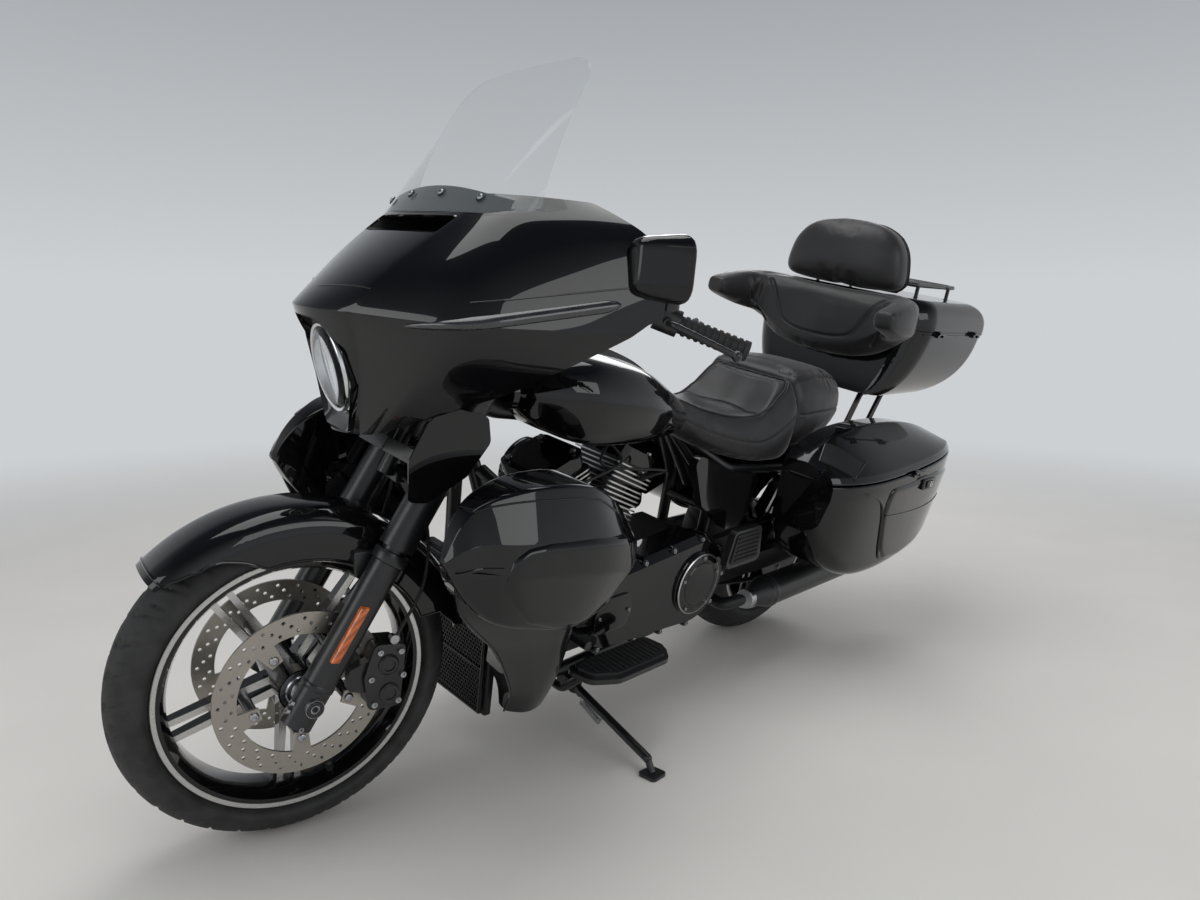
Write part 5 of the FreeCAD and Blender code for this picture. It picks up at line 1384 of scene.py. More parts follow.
def inside(outline, x, z):
    """Whether a point lies inside a flat outline."""
    hit = False
    for (ax, az), (bx, bz) in zip(outline, outline[1:] + outline[:1]):
        if (az > z) != (bz > z) and x < (bx - ax) * (z - az) / (bz - az) + ax:
            hit = not hit
    return hit


def fender_mesh(name, axle, half_profile, first, last, trims, wall):
    """Sheet turned round an axle from (radius, y) points, its skirts trimmed by flat outlines."""
    curve = smooth_path([Vector((r, y, 0)) for r, y in half_profile], 6)
    reach = [0.0]
    for p, q in zip(curve, curve[1:]):
        reach.append(reach[-1] + (q - p).length)
    rows = []
    for i in range(61):
        a = math.radians(first + (last - first) * i / 60)
        keep = len(curve)
        for k, p in enumerate(curve):
            x, z = axle.x + p.x * math.cos(a), axle.z + p.x * math.sin(a)
            if any(inside(t, x, z) for t in trims):
                keep = k
                break
        end = reach[max(min(keep, len(curve) - 1), 2)]
        half = []
        for j in range(19):
            s = end * j / 18
            k = next(k for k in range(1, len(reach)) if reach[k] >= s - 1e-9)
            t = (s - reach[k - 1]) / max(reach[k] - reach[k - 1], 1e-9)
            p = curve[k - 1].lerp(curve[k], t)
            half.append((p.x, p.y))
        ring = [(r, -y) for r, y in reversed(half[1:])] + half
        rows.append([Vector((axle.x + r * math.cos(a), y, axle.z + r * math.sin(a))) for r, y in ring])
    mesh = body_of_rings(name, rows, False, False)
    with editing(mesh) as bm:
        bmesh.ops.recalc_face_normals(bm, faces=bm.faces)
        centre = Vector((axle.x, 0, axle.z))
        top = max(bm.faces, key=lambda f: f.calc_center_median().z)
        if top.normal.dot(top.calc_center_median() - centre) < 0:
            bmesh.ops.reverse_faces(bm, faces=bm.faces)
    return subdivided(mesh, 0, wall), rows


FRONT_SKIN = [(354.5, 0), (354, 20), (351.5, 44), (343, 66), (328, 80), (306, 86), (284, 87), (258, 86)]
REAR_SKIN = [(388.5, 0), (388, 30), (386, 60), (379, 84), (362, 101), (330, 107), (280, 112)]
# x, half width, bottom, widest, top
TANK = [(1166, 58, 834, 866, 898), (1154, 82, 820, 864, 914), (1130, 112, 803, 862, 934),
        (1098, 141, 789, 860, 950), (1050, 171, 776, 857, 961), (990, 182, 768, 851, 962),
        (900, 183, 764, 842, 950), (820, 175, 761, 830, 929), (730, 151, 759, 814, 888),
        (640, 116, 757, 797, 842)]


def tank_ring(x, half, bottom, widest, top, shrink=1.0):
    mid = (bottom + top) / 2
    side = [(0, bottom), (half * 0.62, bottom), (half * 0.9, bottom + 8), (half, widest),
            (half * 0.94, widest * 0.52 + top * 0.48), (half * 0.74, widest * 0.14 + top * 0.86),
            (half * 0.42, top - 2), (half * 0.2, top)]
    pts = [Vector((x, y, z)) for y, z in side] + [Vector((x, 0, top))]
    pts += [Vector((x, -p.y, p.z)) for p in reversed(pts[1:-1])]
    out = smooth_path(pts, 4, True)
    return [Vector((x, p.y * shrink, mid + (p.z - mid) * shrink)) for p in out]


# Nodes that keep their own shape: piece, node, finish, sharp angle
COPIES = [
    ("saddlebag_left_shell", "saddlebag_left", PAINT, 24), ("saddlebag_right_shell", "saddlebag_right",
                                                            PAINT, 24),
    ("bag_lid_left_shell", "bag_lid_left", PAINT, 24), ("bag_lid_right_shell", "bag_lid_right", PAINT, 24),
    ("tour_box_shell", "tour_box", PAINT, 24), ("tour_lid_shell", "tour_lid", PAINT, 24),
    ("tank_console_cover", "tank_console", PAINT, 24),
    ("side_cover_panels", "side_covers", PAINT, 30), ("deflector_panels", "fork_deflectors", PAINT, 30),
    ("primary_cover_casting", "primary_cover", PAINT, 30), ("air_cleaner_cover", "air_cleaner", PAINT, 30),
    ("rocker_cover_castings", "rocker_covers", PAINT, 30), ("frame_tubes", "frame", SATIN, 30),
    ("swingarm_beams", "swingarm", SATIN, 30), ("shock_bodies", "rear_shocks", SATIN, 30),
    ("exhaust_pipes", "exhaust", SATIN, 30), ("fork_leg_castings", "fork_legs", SATIN, 30),
    ("fork_clamp_castings", "fork_clamps", SATIN, 30), ("handlebar_tube", "handlebar", SATIN, 30),
    ("hand_control_castings", "hand_controls", SATIN, 30), ("caliper_bodies", "front_calipers", SATIN, 30),
    ("top_case_carrier", "tour_rack", SATIN, 30), ("luggage_rack_rails", "luggage_rack", SATIN, 30),
    ("side_stand_leg", "side_stand", SATIN, 30), ("engine_guard_tubes", "engine_guard", SATIN, 30),
    ("footboard_castings", "floorboards", SATIN, 30), ("foot_levers", "foot_controls", SATIN, 30),
    ("crankcase_casting", "engine_case", WRINKLE, 30), ("cylinder_castings", "cylinders", WRINKLE, 30),
    ("cam_cover_casting", "cam_cover", WRINKLE, 30), ("inner_fairing_panel", "fairing_inner", GRAIN_ABS,
                                                      24),
    ("grille_frames", "radiator_grilles", GRAIN_ABS, 30),
    ("grip_sleeves", "grips", RUBBER, 30), ("belt_loop", "drive_belt", RUBBER, 40),
    ("front_spindle", "front_axle", STEEL, 30), ("rear_spindle", "rear_axle", STEEL, 30),
    ("front_disc_rings", "front_discs", DISC_F, 30), ("rear_disc_ring", "rear_disc", DISC_R, 30),
    ("belt_pulley", "rear_pulley", SATIN, 30),
    ("rear_lamp_lenses", "rear_lamps", RED, 30),
]


class MOTO_OT_bodywork(bpy.types.Operator):
    """Gives the panels, castings and tubes smooth skins, and shapes the tank and both fenders"""
    bl_idname = "moto.bodywork"
    bl_label = "Bodywork"

    def execute(self, context):
        for name, node, finish, sharp in COPIES:
            from_node(name, node, finish, sharp)
        fx, fz = FRONT_AXLE.x, FRONT_AXLE.z
        front = softened([(fx + 40, fz + 100), (fx + 60, fz + 262), (fx + 150, fz + 274),
                          (fx + 225, fz + 244),
                          (fx + 290, fz + 204), (fx + 330, fz - 20), (fx + 40, fz - 20)],
                         [10, 60, 60, 20, 5, 5, 5])
        rear = [(fx - 420, fz - 60), (fx - 420, fz + 60), (fx - 322, fz + 76), (fx - 268, fz + 120),
                (fx - 238, fz + 90), (fx - 180, fz - 60)]
        mesh, rows = fender_mesh("front_fender_skin", FRONT_AXLE, FRONT_SKIN, 43, 174, (front, rear), 3.5)
        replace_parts(to_piece("front_fender_skin", mesh, "steering", PAINT, 35),
                    "front_fender")
        # Bead rolled along each edge of the fender, and its mounting plates at the fork.
        edges = [([row[0] for row in rows[2:-2]], 2.6), ([row[-1] for row in rows[2:-2]], 2.6),
                 (rows[1], 2.6), (rows[-2], 2.6)]
        bars_of("front_fender_bead", "steering", edges, PAINT, 8, 1)
        plates = []
        for s in (1, -1):
            outline = softened([(fx - 156, fz + 214), (fx - 92, fz + 214), (fx - 84, fz + 266),
                                (fx - 164, fz + 266)], 6)
            plates.append(slab(outline, s * 84, s * 98, 1, 2))
        solids("fender_mounts", "steering", SATIN, plates)
        mesh, rows = fender_mesh("rear_fender_skin", REAR_AXLE, REAR_SKIN, 42, 174, (), 4.0)
        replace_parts(to_piece("rear_fender_skin", mesh, "root", PAINT, 35), "rear_fender")
        xs = [TANK[0][0] + (TANK[-1][0] - TANK[0][0]) * i / 60 for i in range(61)]
        rings = [tank_ring(x, *steady(TANK, x)) for x in xs]
        rings = [tank_ring(1180.0, *TANK[0][1:], 0.8), tank_ring(1179.6, *TANK[0][1:], 0.95)] + rings
        rings += [tank_ring(639.0, *TANK[-1][1:], 0.96), tank_ring(637.5, *TANK[-1][1:], 0.85)]
        tank = solids("fuel_tank_skin", "root", PAINT, [rings], 50)
        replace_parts(tank, "fuel_tank")
        return {"FINISHED"}


# Pieces laid on the skin of the CAD's own shapes

def skin_of(node):
    """Search tree of a node's surface on the upright bike, in millimetres."""
    body = NODES[node]["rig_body"]
    back = PLACE.get(body, PARKED).inverted()
    return search_tree(NODES[node].data, back)


def laid(tree, points, way, lift, per=6, reach=400.0):
    """A line dropped onto a skin along one direction, from points before it."""
    out = []
    way = Vector(way).normalized()
    for p in smooth_path(points, per):
        hit = tree.ray_cast(p, way, reach)
        if hit[0] is not None:
            out.append(hit[0] - way * lift)
    return out


def near_skin(tree, points, lift):
    """A line drawn to the nearest places of a skin."""
    out = []
    for p in smooth_path(points):
        hit = tree.find_nearest(p, 60.0)
        if hit[0] is not None:
            out.append(hit[0] + hit[1] * lift)
    return out


def sheet_on(name, rows, body, finish, wall):
    """Thin curved sheet through rows of points."""
    mesh = subdivided(body_of_rings(name, rows, False, False), 0, wall)
    return to_piece(name, mesh, body, finish, 40)


def turned(name, body, finish, items, sides):
    """Turned parts, each (base, axis, rings of (radius, distance)), as one piece."""
    return solids(name, body, finish, [turned_on(b, a, r, sides) for b, a, r in items])


class MOTO_OT_windscreen(bpy.types.Operator):
    """Fits the clear screen with its trim panel and four screws on rubber washers"""
    bl_idname = "moto.windscreen"
    bl_label = "Windscreen"

    def execute(self, context):
        from_node("windscreen_sheet", "windscreen", SCREEN, 40)
        tree = skin_of("windscreen")
        rows = []
        for k in range(9):
            row = []
            for j in range(41):
                y = -246 + 492 * j / 40
                crown = 1268 - 26 * (abs(y) / 246) ** 2
                z = 1219 + (crown - 1219) * k / 8
                hit = tree.ray_cast(Vector((900, y, z)), Vector((1, 0, 0)), 700)
                x = hit[0].x if hit[0] is not None else row[-1].x if row else 1300
                row.append(Vector((x - 1.2, y, z)))
            rows.append(row)
        sheet_on("screen_trim", rows, "steering", GLOSS_ABS, 2.4)
        screws, washers = [], []
        for y, z in ((-196, 1243), (-68, 1252), (68, 1252), (196, 1243)):
            hit = tree.ray_cast(Vector((1700, y, z)), Vector((-1, 0, 0)), 900)
            if hit[0] is not None:
                facing = hit[1] if hit[1].x > 0 else -hit[1]
                washers.append((hit[0], facing, [(9, -1), (9, 1.2), (7.5, 2), (3, 2)]))
                screws.append((hit[0] + facing * 1.6, facing, 6.0))
        turned("screen_washers", "steering", RUBBER, washers, 24)
        repeated("screen_screws", "steering", screws, fastener_head("button"), STEEL)
        return {"FINISHED"}


class MOTO_OT_mirrors(bpy.types.Operator):
    """Shapes the mirror housings and sets their glass"""
    bl_idname = "moto.mirrors"
    bl_label = "Mirrors"

    def execute(self, context):
        shells, panes, feet = [], [], []
        for s in (1, -1):
            def ring(x, t, shrink):
                y0, y1 = 371 - 5 * t, 420 + 42 * t
                z0, z1 = 1104 - 12 * t, 1200 + 12 * t
                cy, cz, hy, hz = (y0 + y1) / 2, (z0 + z1) / 2, (y1 - y0) / 2 - shrink, (z1 - z0) / 2 - shrink
                r = 20 + 18 * t - shrink * 0.6
                return [Vector((x, s * y, z)) for y, z in softened(
                    [(cy - hy, cz - hz), (cy + hy, cz - hz), (cy + hy, cz + hz),
                     (cy - hy, cz + hz)], max(r, 3), 6)]
            shells.append([ring(x, t, d) for x, t, d in
                           ((1183, 0, 17), (1182, 0.02, 10), (1178, 0.05, 5), (1170, 0.12, 1.5),
                            (1158, 0.26, 0),
                            (1140, 0.5, 0), (1118, 0.8, 0), (1104, 1, 0), (1100.4, 1, 0.8), (1099.6, 1, 3),
                            (1101, 1, 5), (1106, 1, 5.6))])
            panes.append([ring(x, 1, d) for x, d in ((1107, 7), (1104.6, 6.2), (1103.6, 7), (1103.2, 20))])
            foot = Vector((1150, s * 372, 1132))
            feet.append((foot, Vector((-0.2, -s, -0.25)), [(17, -8), (17, 3), (20, 5), (20, 9), (16, 12)]))
        obj = solids("mirror_housings", "steering", GLOSS_ABS, shells, 40)
        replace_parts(obj, "mirrors")
        solids("mirror_glass", "steering", CHROME, panes, 30)
        turned("mirror_feet", "steering", SATIN, feet, 28)
        return {"FINISHED"}


class MOTO_OT_cockpit(bpy.types.Operator):
    """Fits the gauges, the display, the speakers and the switches"""
    bl_idname = "moto.cockpit"
    bl_label = "Cockpit"

    def execute(self, context):
        back = Vector((-1, 0, 0))
        rings, faces, ticks, needles = [], [], [], []
        for y, z, r in ((92, 1132, 50), (-92, 1132, 50), (188, 1158, 27), (-188, 1158, 27)):
            c = Vector((1181, y, z))
            rings.append((c, back, [(r + 7, -1), (r + 7, 9), (r + 4, 12.5), (r, 12), (r - 1.5, 6),
                                    (r - 1.5, 1)]))
            faces.append((c, back, [(r, 0.2), (r, 2.4), (r * 0.4, 2.5)]))
            needles.append([c + Vector((-4.5, r * 0.12, -r * 0.08)),
                            c + Vector((-4.5, -r * 0.62, r * 0.42))])
            count = 25 if r > 40 else 13
            for k in range(count):
                a = math.radians(225 - 270 * k / (count - 1))
                out = Vector((0, math.cos(a), math.sin(a)))
                size = 1.0 if k % 4 == 0 else 0.6
                ticks.append((c + out * r * 0.84 + back * 2.6, back, size, out))
        turned("gauge_bezels", "steering", SATIN, rings, 48)
        turned("gauge_faces", "steering", GRAIN_ABS, faces, 48)
        bar = body_of_rings("gauge_tick",
                            [[Vector((x, y, z)) for x, y in ((-3.6, -0.8), (3.6, -0.8), (3.6, 0.8),
                                                             (-3.6, 0.8))] for z in (0, 0.5)])
        repeated("gauge_ticks", "steering", ticks, bar, LED)
        bars_of("gauge_needles", "steering", [(n, 0.9) for n in needles], AMBER, 6, 1)
        # Display under the gauges, with its frame and a row of keys.
        frame = plate((-92, 1012), (92, 1096), 8, 1182, 1171, 0, 3)
        pane = plate((-76, 1022), (76, 1086), 4, 1176, 1170.2, 0, 1)
        keys = [plate((y - 9, 1001), (y + 9, 1009), 2, 1182, 1175, 0, 1)
                for y in (-75, -45, -15, 15, 45, 75)]
        solids("display_frame", "steering", GRAIN_ABS, [frame, *keys], 30)
        solids("display_pane", "steering", GLOSS_ABS, [pane], 30)
        holes, trims = [], []
        for s in (1, -1):
            c = Vector((1181, s * 262, 1072))
            trims.append((c, back, [(57, -1), (57, 6), (54, 8.5), (50, 8), (49, 3)]))
            trims.append((c, back, [(49, 0.5), (49, 3.4), (30, 5.6), (10, 6.4)]))
            for i in range(-7, 8):
                for j in range(-8, 9):
                    y, z = i * 6.6 + (3.3 if j % 2 else 0), j * 5.7
                    if math.hypot(y, z) < 45:
                        lift = 6.6 - 3.2 * (math.hypot(y, z) / 49) ** 2
                        holes.append((c + Vector((-lift, y, z)), back, 2.2))
        turned("speaker_trims", "steering", GRAIN_ABS, trims, 48)
        pit = body_of_rings("speaker_hole", turned_rings([(1.0, -0.3, 0), (1.0, 0.16, 0), (0.62, 0.16, 0),
                                                          (0.6, -0.2, 0)], 8))
        repeated("speaker_perforations", "steering", holes, pit, RUBBER)
        # Switch cubes beside the grips, and the clutch and brake lines from the bars.
        cubes, lines = [], []
        for s in (1, -1):
            c = Vector((1030, s * 396, 1048))
            for k, (dx, dz, r) in enumerate(((-16, 6, 5.5), (-4, 12, 5.5), (-10, -8, 6.5), (6, -2, 4.5))):
                cubes.append((c + Vector((dx, -s * 12, dz)), Vector((-0.8, -s * 0.35, 0.25)),
                              [(r, 8), (r, 17), (r - 1.2, 19), (r * 0.4, 19.4)]))
            a = Vector((1072, s * 366, 1082))
            lines.append(([a, a + Vector((34, -s * 20, 16)), Vector((1172, s * 290, 1096)),
                           Vector((1236, s * 210, 1082))], 4.0))
            lines.append(([a + Vector((-6, -s * 4, -22)), Vector((1120, s * 318, 1058)),
                           Vector((1210, s * 240, 1046))], 3.0))
        turned("switch_buttons", "steering", GRAIN_ABS, cubes, 16)
        bars_of("bar_lines", "steering", lines, RUBBER, 10)
        return {"FINISHED"}


# Engine and running gear

CRANK, CLUTCH = Vector((880.0, 0.0, 360.0)), Vector((560.0, 0.0, 352.0))


def cylinder_frame(side, distance):
    """A point on a cylinder's axis, its upward direction and the direction square to it."""
    a = math.radians(22.5) * side
    up, across = Vector((math.sin(a), 0, math.cos(a))), Vector((math.cos(a), 0, -math.sin(a)))
    return CRANK + up * distance, up, across


def edge_band(bm, path, outward, up, height, depth, closed):
    """Flat strip of metal that follows a path, as the machined edge of a fin."""
    rings = []
    for p, o in zip(path, outward):
        rings.append([bm.verts.new(p + o * d + up * h) for d, h in
                      ((-0.6, 0), (depth, 0.3), (depth, height - 0.3), (-0.6, height))])
    count = len(rings)
    for i in range(count if closed else count - 1):
        a, b = rings[i], rings[(i + 1) % count]
        for k in range(4):
            bm.faces.new((a[k], a[(k + 1) % 4], b[(k + 1) % 4], b[k]))
    if not closed:
        bm.faces.new(rings[0])
        bm.faces.new(rings[-1][::-1])


class MOTO_OT_engine(bpy.types.Operator):
    """Cuts the bright fin edges and fits the covers, screws, plugs and leads"""
    bl_idname = "moto.engine"
    bl_label = "Engine"

    def execute(self, context):
        bm = bmesh.new()
        for side in (1, -1):
            fins = [(138 + 12 * i, 76, 80, 24) for i in range(12)] + [(286 + 12 * i, 80, 84, 20)
                                                                      for i in range(4)]
            for distance, hx, hy, r in fins:
                c, up, across = cylinder_frame(side, distance)
                outline = softened([(-hx, -hy), (hx, -hy), (hx, hy), (-hx, hy)], r, 6)
                path, outward = [], []
                n = len(outline)
                for k, (a, b) in enumerate(outline):
                    before, after = Vector(outline[k - 1]), Vector(outline[(k + 1) % n])
                    t = (after - before).normalized()
                    path.append(c + across * a + Vector((0, b, 0)))
                    outward.append((across * t.y + Vector((0, -t.x, 0))).normalized())
                keep = [(p.x - CRANK.x) * side > 3 for p in path]
                if all(keep):
                    edge_band(bm, path, outward, up, 4.5, 0.7, True)
                else:
                    first = next(k for k in range(n) if keep[k] and not keep[k - 1])
                    run = []
                    for k in range(n):
                        if not keep[(first + k) % n]:
                            break
                        run.append((first + k) % n)
                    edge_band(bm, [path[k] for k in run], [outward[k] for k in run], up, 4.5, 0.7, False)
        mesh = bpy.data.meshes.new("fin_edges")
        bm.to_mesh(mesh)
        bm.free()
        to_piece("fin_edges", mesh, "root", CUT, 30)
        screws, bosses, leads, boots = [], [], [], []
        for side in (1, -1):
            c, up, across = cylinder_frame(side, 370)
            for a in (-54, 54):
                for b in (-56, 56):
                    bosses.append((c + across * a + Vector((0, b, 0)) - up * 3, up,
                                   [(10, 0), (10, 5), (8.5, 6.4), (3, 6.5)]))
                    screws.append((c + across * a + Vector((0, b, 0)) + up * 3.4, up, 6.0))
            # Spark plug boot on the left of each head and its lead up to the coil.
            plug = cylinder_frame(side, 312)[0] + across * side * 22 + Vector((0, 84, 0))
            way = Vector((0, 0.86, 0)) + up * 0.5
            boots.append((plug, way, [(9, -6), (9, 14), (7.5, 17), (7.5, 34), (5.5, 37), (4, 44)]))
            tip = plug + way.normalized() * 42
            leads.append(([tip, tip + way.normalized() * 22 + Vector((0, 0, 6)),
                           Vector((900 - 30 * side, 118, 705)),
                           Vector((880, 80, 745))], 3.6))
        turned("rocker_bosses", "root", PAINT, bosses, 24)
        turned("plug_boots", "root", RUBBER, boots, 20)
        bars_of("plug_leads", "root", leads, RUBBER, 10)
        # Primary cover: screw bosses round its edge, the stepped clutch lid and the chain inspection lid.
        d = Vector((890 - CLUTCH.x, 345 - CLUTCH.z))
        tilt = math.asin((132 - 104) / d.length)
        along = math.atan2(d.y, d.x)
        bosses = []

        def boss(x, z, low, high, r):
            bosses.append((Vector((x, low, z)), Vector((0, 1, 0)),
                           [(r + 1, 0), (r, high - low - 3), (r - 1.5, high - low),
                            (3, high - low + 0.1)]))
            screws.append((Vector((x, high - 0.6, z)), (0, 1, 0), 6.0))
        for deg in (90, 140, 180, 220, 270):
            a = math.radians(deg)
            boss(CLUTCH.x + 124 * math.cos(a), CLUTCH.z + 124 * math.sin(a), 150, 184, 11)
        for deg in (-70, -25, 25, 70):
            a = math.radians(deg)
            boss(890 + 97 * math.cos(a), 345 + 97 * math.sin(a), 150, 184, 11)
        for sgn in (1, -1):
            for t in (0.32, 0.66):
                a = along + sgn * (math.pi / 2 - tilt)
                r = 132 + (104 - 132) * t - 7
                boss(CLUTCH.x + d.x * t + r * math.cos(a), CLUTCH.z + d.y * t + r * math.sin(a), 150, 184,
                     11)
        turned("primary_bosses", "root", PAINT, bosses, 24)
        c = CLUTCH + Vector((0, 198, 0))
        lid = [(92, -14), (92, -6), (90, -3.5), (87.5, -3), (87, 1.5), (84, 4), (70, 5), (68, 3.4),
               (62, 3.2),
               (60, 5.2), (40, 7), (16, 7.6)]
        oval = slab(softened([(838, 300), (950, 300), (962, 346), (950, 392), (838, 392), (826, 346)], 22),
                    186, 196, 1, 3)
        turned("clutch_lid", "root", PAINT, [(c, Vector((0, 1, 0)), lid)], 64)
        solids("chain_lid", "root", PAINT, [oval], 30)
        turned("clutch_lid_ring", "root", CUT,
               [(c, Vector((0, 1, 0)), [(86.6, 1.2), (86.9, 2.2), (84.4, 4.4), (83.6, 4.2), (83.8, 2)])],
               64)
        screws += screw_circle(c + Vector((0, 4.0, 0)), 76, range(90, 450, 72), (0, 1, 0), 5.0)
        for x, z in ((842, 346), (946, 346)):
            screws.append((Vector((x, 195.5, z)), (0, 1, 0), 4.5))
        # Cam side on the right.
        for x, z in ((788, 300), (856, 246), (944, 262), (972, 352), (918, 424), (834, 424)):
            screws.append((Vector((x, -149, z)), (0, -1, 0), 6.0))
        turned("cam_lid", "root", PAINT,
               [(Vector((884, -149, 342)), Vector((0, -1, 0)),
                 [(56, -3), (56, 3), (53, 6), (38, 7), (36, 5.4),
                  (30, 5.4), (28, 8), (8, 8.6)])], 48)
        screws += screw_circle(Vector((884, -155.6, 342)), 46, range(90, 450, 72), (0, -1, 0), 4.0)
        collars = []
        for dx, lean in ((-26, -122), (-62, -122), (26, 122), (62, 122)):
            a, b = Vector((880 + dx, -138, 430)), Vector((880 + dx + lean, -118, 640))
            u = (b - a).normalized()
            collars.append((a + u * 14, u, [(11, -4), (13, -2), (13, 14), (11, 16)]))
            collars.append((a.lerp(b, 0.55), u, [(9.6, -8), (10.8, -6), (10.8, 6), (9.6, 8)]))
        turned("pushrod_collars", "root", ALLOY, collars, 24)
        # Air cleaner: stepped lid and its screws.
        c = Vector((880, -196, 590))
        turned("air_cleaner_lid", "root", PAINT,
               [(c, Vector((0, -1, 0)), [(86, -8), (87, -5), (87, 2), (84, 6), (66, 9), (64, 7.6),
                                         (50, 7.6), (47, 10), (20, 12)])], 64)
        screws += screw_circle(c + Vector((0, -7.8, 0)), 57, range(90, 450, 120), (0, -1, 0), 5.0)
        # Oil filter low at the front.
        turned("oil_filter", "root", GLOSS_ABS,
               [(Vector((1062, -30, 300)), Vector((1, 0, 0)),
                 [(38, -6), (38, 52), (36, 58), (30, 61), (28, 58), (8, 57)])], 40)
        repeated("engine_screws", "root", screws, fastener_head("socket"), STEEL, turn=1.0)
        return {"FINISHED"}


# Lower fairings, luggage and small parts

# x, inner y, outer y, bottom z, top z
LOWER = [(1522, 294, 320, 646, 668), (1506, 282, 334, 618, 706), (1476, 270, 348, 576, 744),
         (1424, 262, 380, 528, 772), (1340, 256, 398, 500, 784), (1230, 252, 408, 480, 774),
         (1150, 252, 398, 494, 734), (1084, 256, 372, 510, 690), (1040, 262, 342, 530, 652)]
SIDE_PANEL = [(1134, 672), (1249, 688), (1355, 694), (1398, 690), (1425, 671), (1434, 636), (1429, 610),
              (1402, 568), (1358, 522), (1289, 497), (1226, 494), (1149, 534), (1104, 596)]
BAG_PANEL = [(20, 632), (30, 590), (26, 552), (-3, 484), (-33, 425), (-78, 384), (-180, 378), (-320, 400),
             (-420, 448), (-446, 520), (-440, 640), (-300, 652), (-120, 640)]


def lower_ring(x, yi, yo, zb, zt, s):
    high = zb * 0.42 + zt * 0.58
    t = min(1.0, (yo - yi) / 110)
    pts = [(yi, zb), (yo - 36 * t, zb), (yo, high - 30 * t), (yo - 6 * t, high + 26 * t), (yo - 52 * t, zt),
           (yi, zt)]
    return [Vector((x, s * y, z)) for y, z in softened(pts, [8 * t, 26 * t, 12 * t, 14 * t, 12 * t, 8 * t],
                                                       5)]


def off_segment(p, a, b):
    """How far a flat point lies from the line between two others."""
    share = (p - a).dot(b - a) / max((b - a).length_squared, 1e-9)
    return (p - a.lerp(b, max(0.0, min(1.0, share)))).length


def raised_panel(name, tree, outline, side, lift, roll, near):
    """Panel that stands out of a side skin, rolling into it along its outline in X and Z."""
    loop = [Vector(p) for p in softened(outline, 22, 4)]
    xs = [p.x for p in loop]
    rows = []
    for i in range(49):
        x = min(xs) + 0.5 + (max(xs) - min(xs) - 1.0) * i / 48
        cuts = []
        for a, b in zip(loop, loop[1:] + loop[:1]):
            if (a.x > x) != (b.x > x):
                cuts.append(a.y + (b.y - a.y) * (x - a.x) / (b.x - a.x))
        low, high = min(cuts), max(cuts)
        row = []
        for j in range(33):
            z = low + (high - low) * j / 32
            hit = tree.ray_cast(Vector((x, side * 700, z)), Vector((0, -side, 0)), 600)
            y = hit[0].y if hit[0] is not None else side * near
            edge = min(off_segment(Vector((x, z)), a, b) for a, b in zip(loop, loop[1:] + loop[:1]))
            t = min(1.0, edge / roll)
            row.append(Vector((x, y + side * (lift * math.sqrt(max(0.0, 1 - (1 - t) ** 2)) - 0.6), z)))
        rows.append(row)
    mesh = body_of_rings(name, rows, False, False)
    with editing(mesh) as bm:
        for face in bm.faces:
            if face.normal.y * side < 0:
                face.normal_flip()
    return to_piece(name, subdivided(mesh, 0, 2.0), "root", PAINT, 50)


def beads(name, body, runs, radius):
    """Thin raised lines that follow a skin."""
    return bars_of(name, body, [(run, radius) for run in runs if len(run) > 1], PAINT, 8, 1)


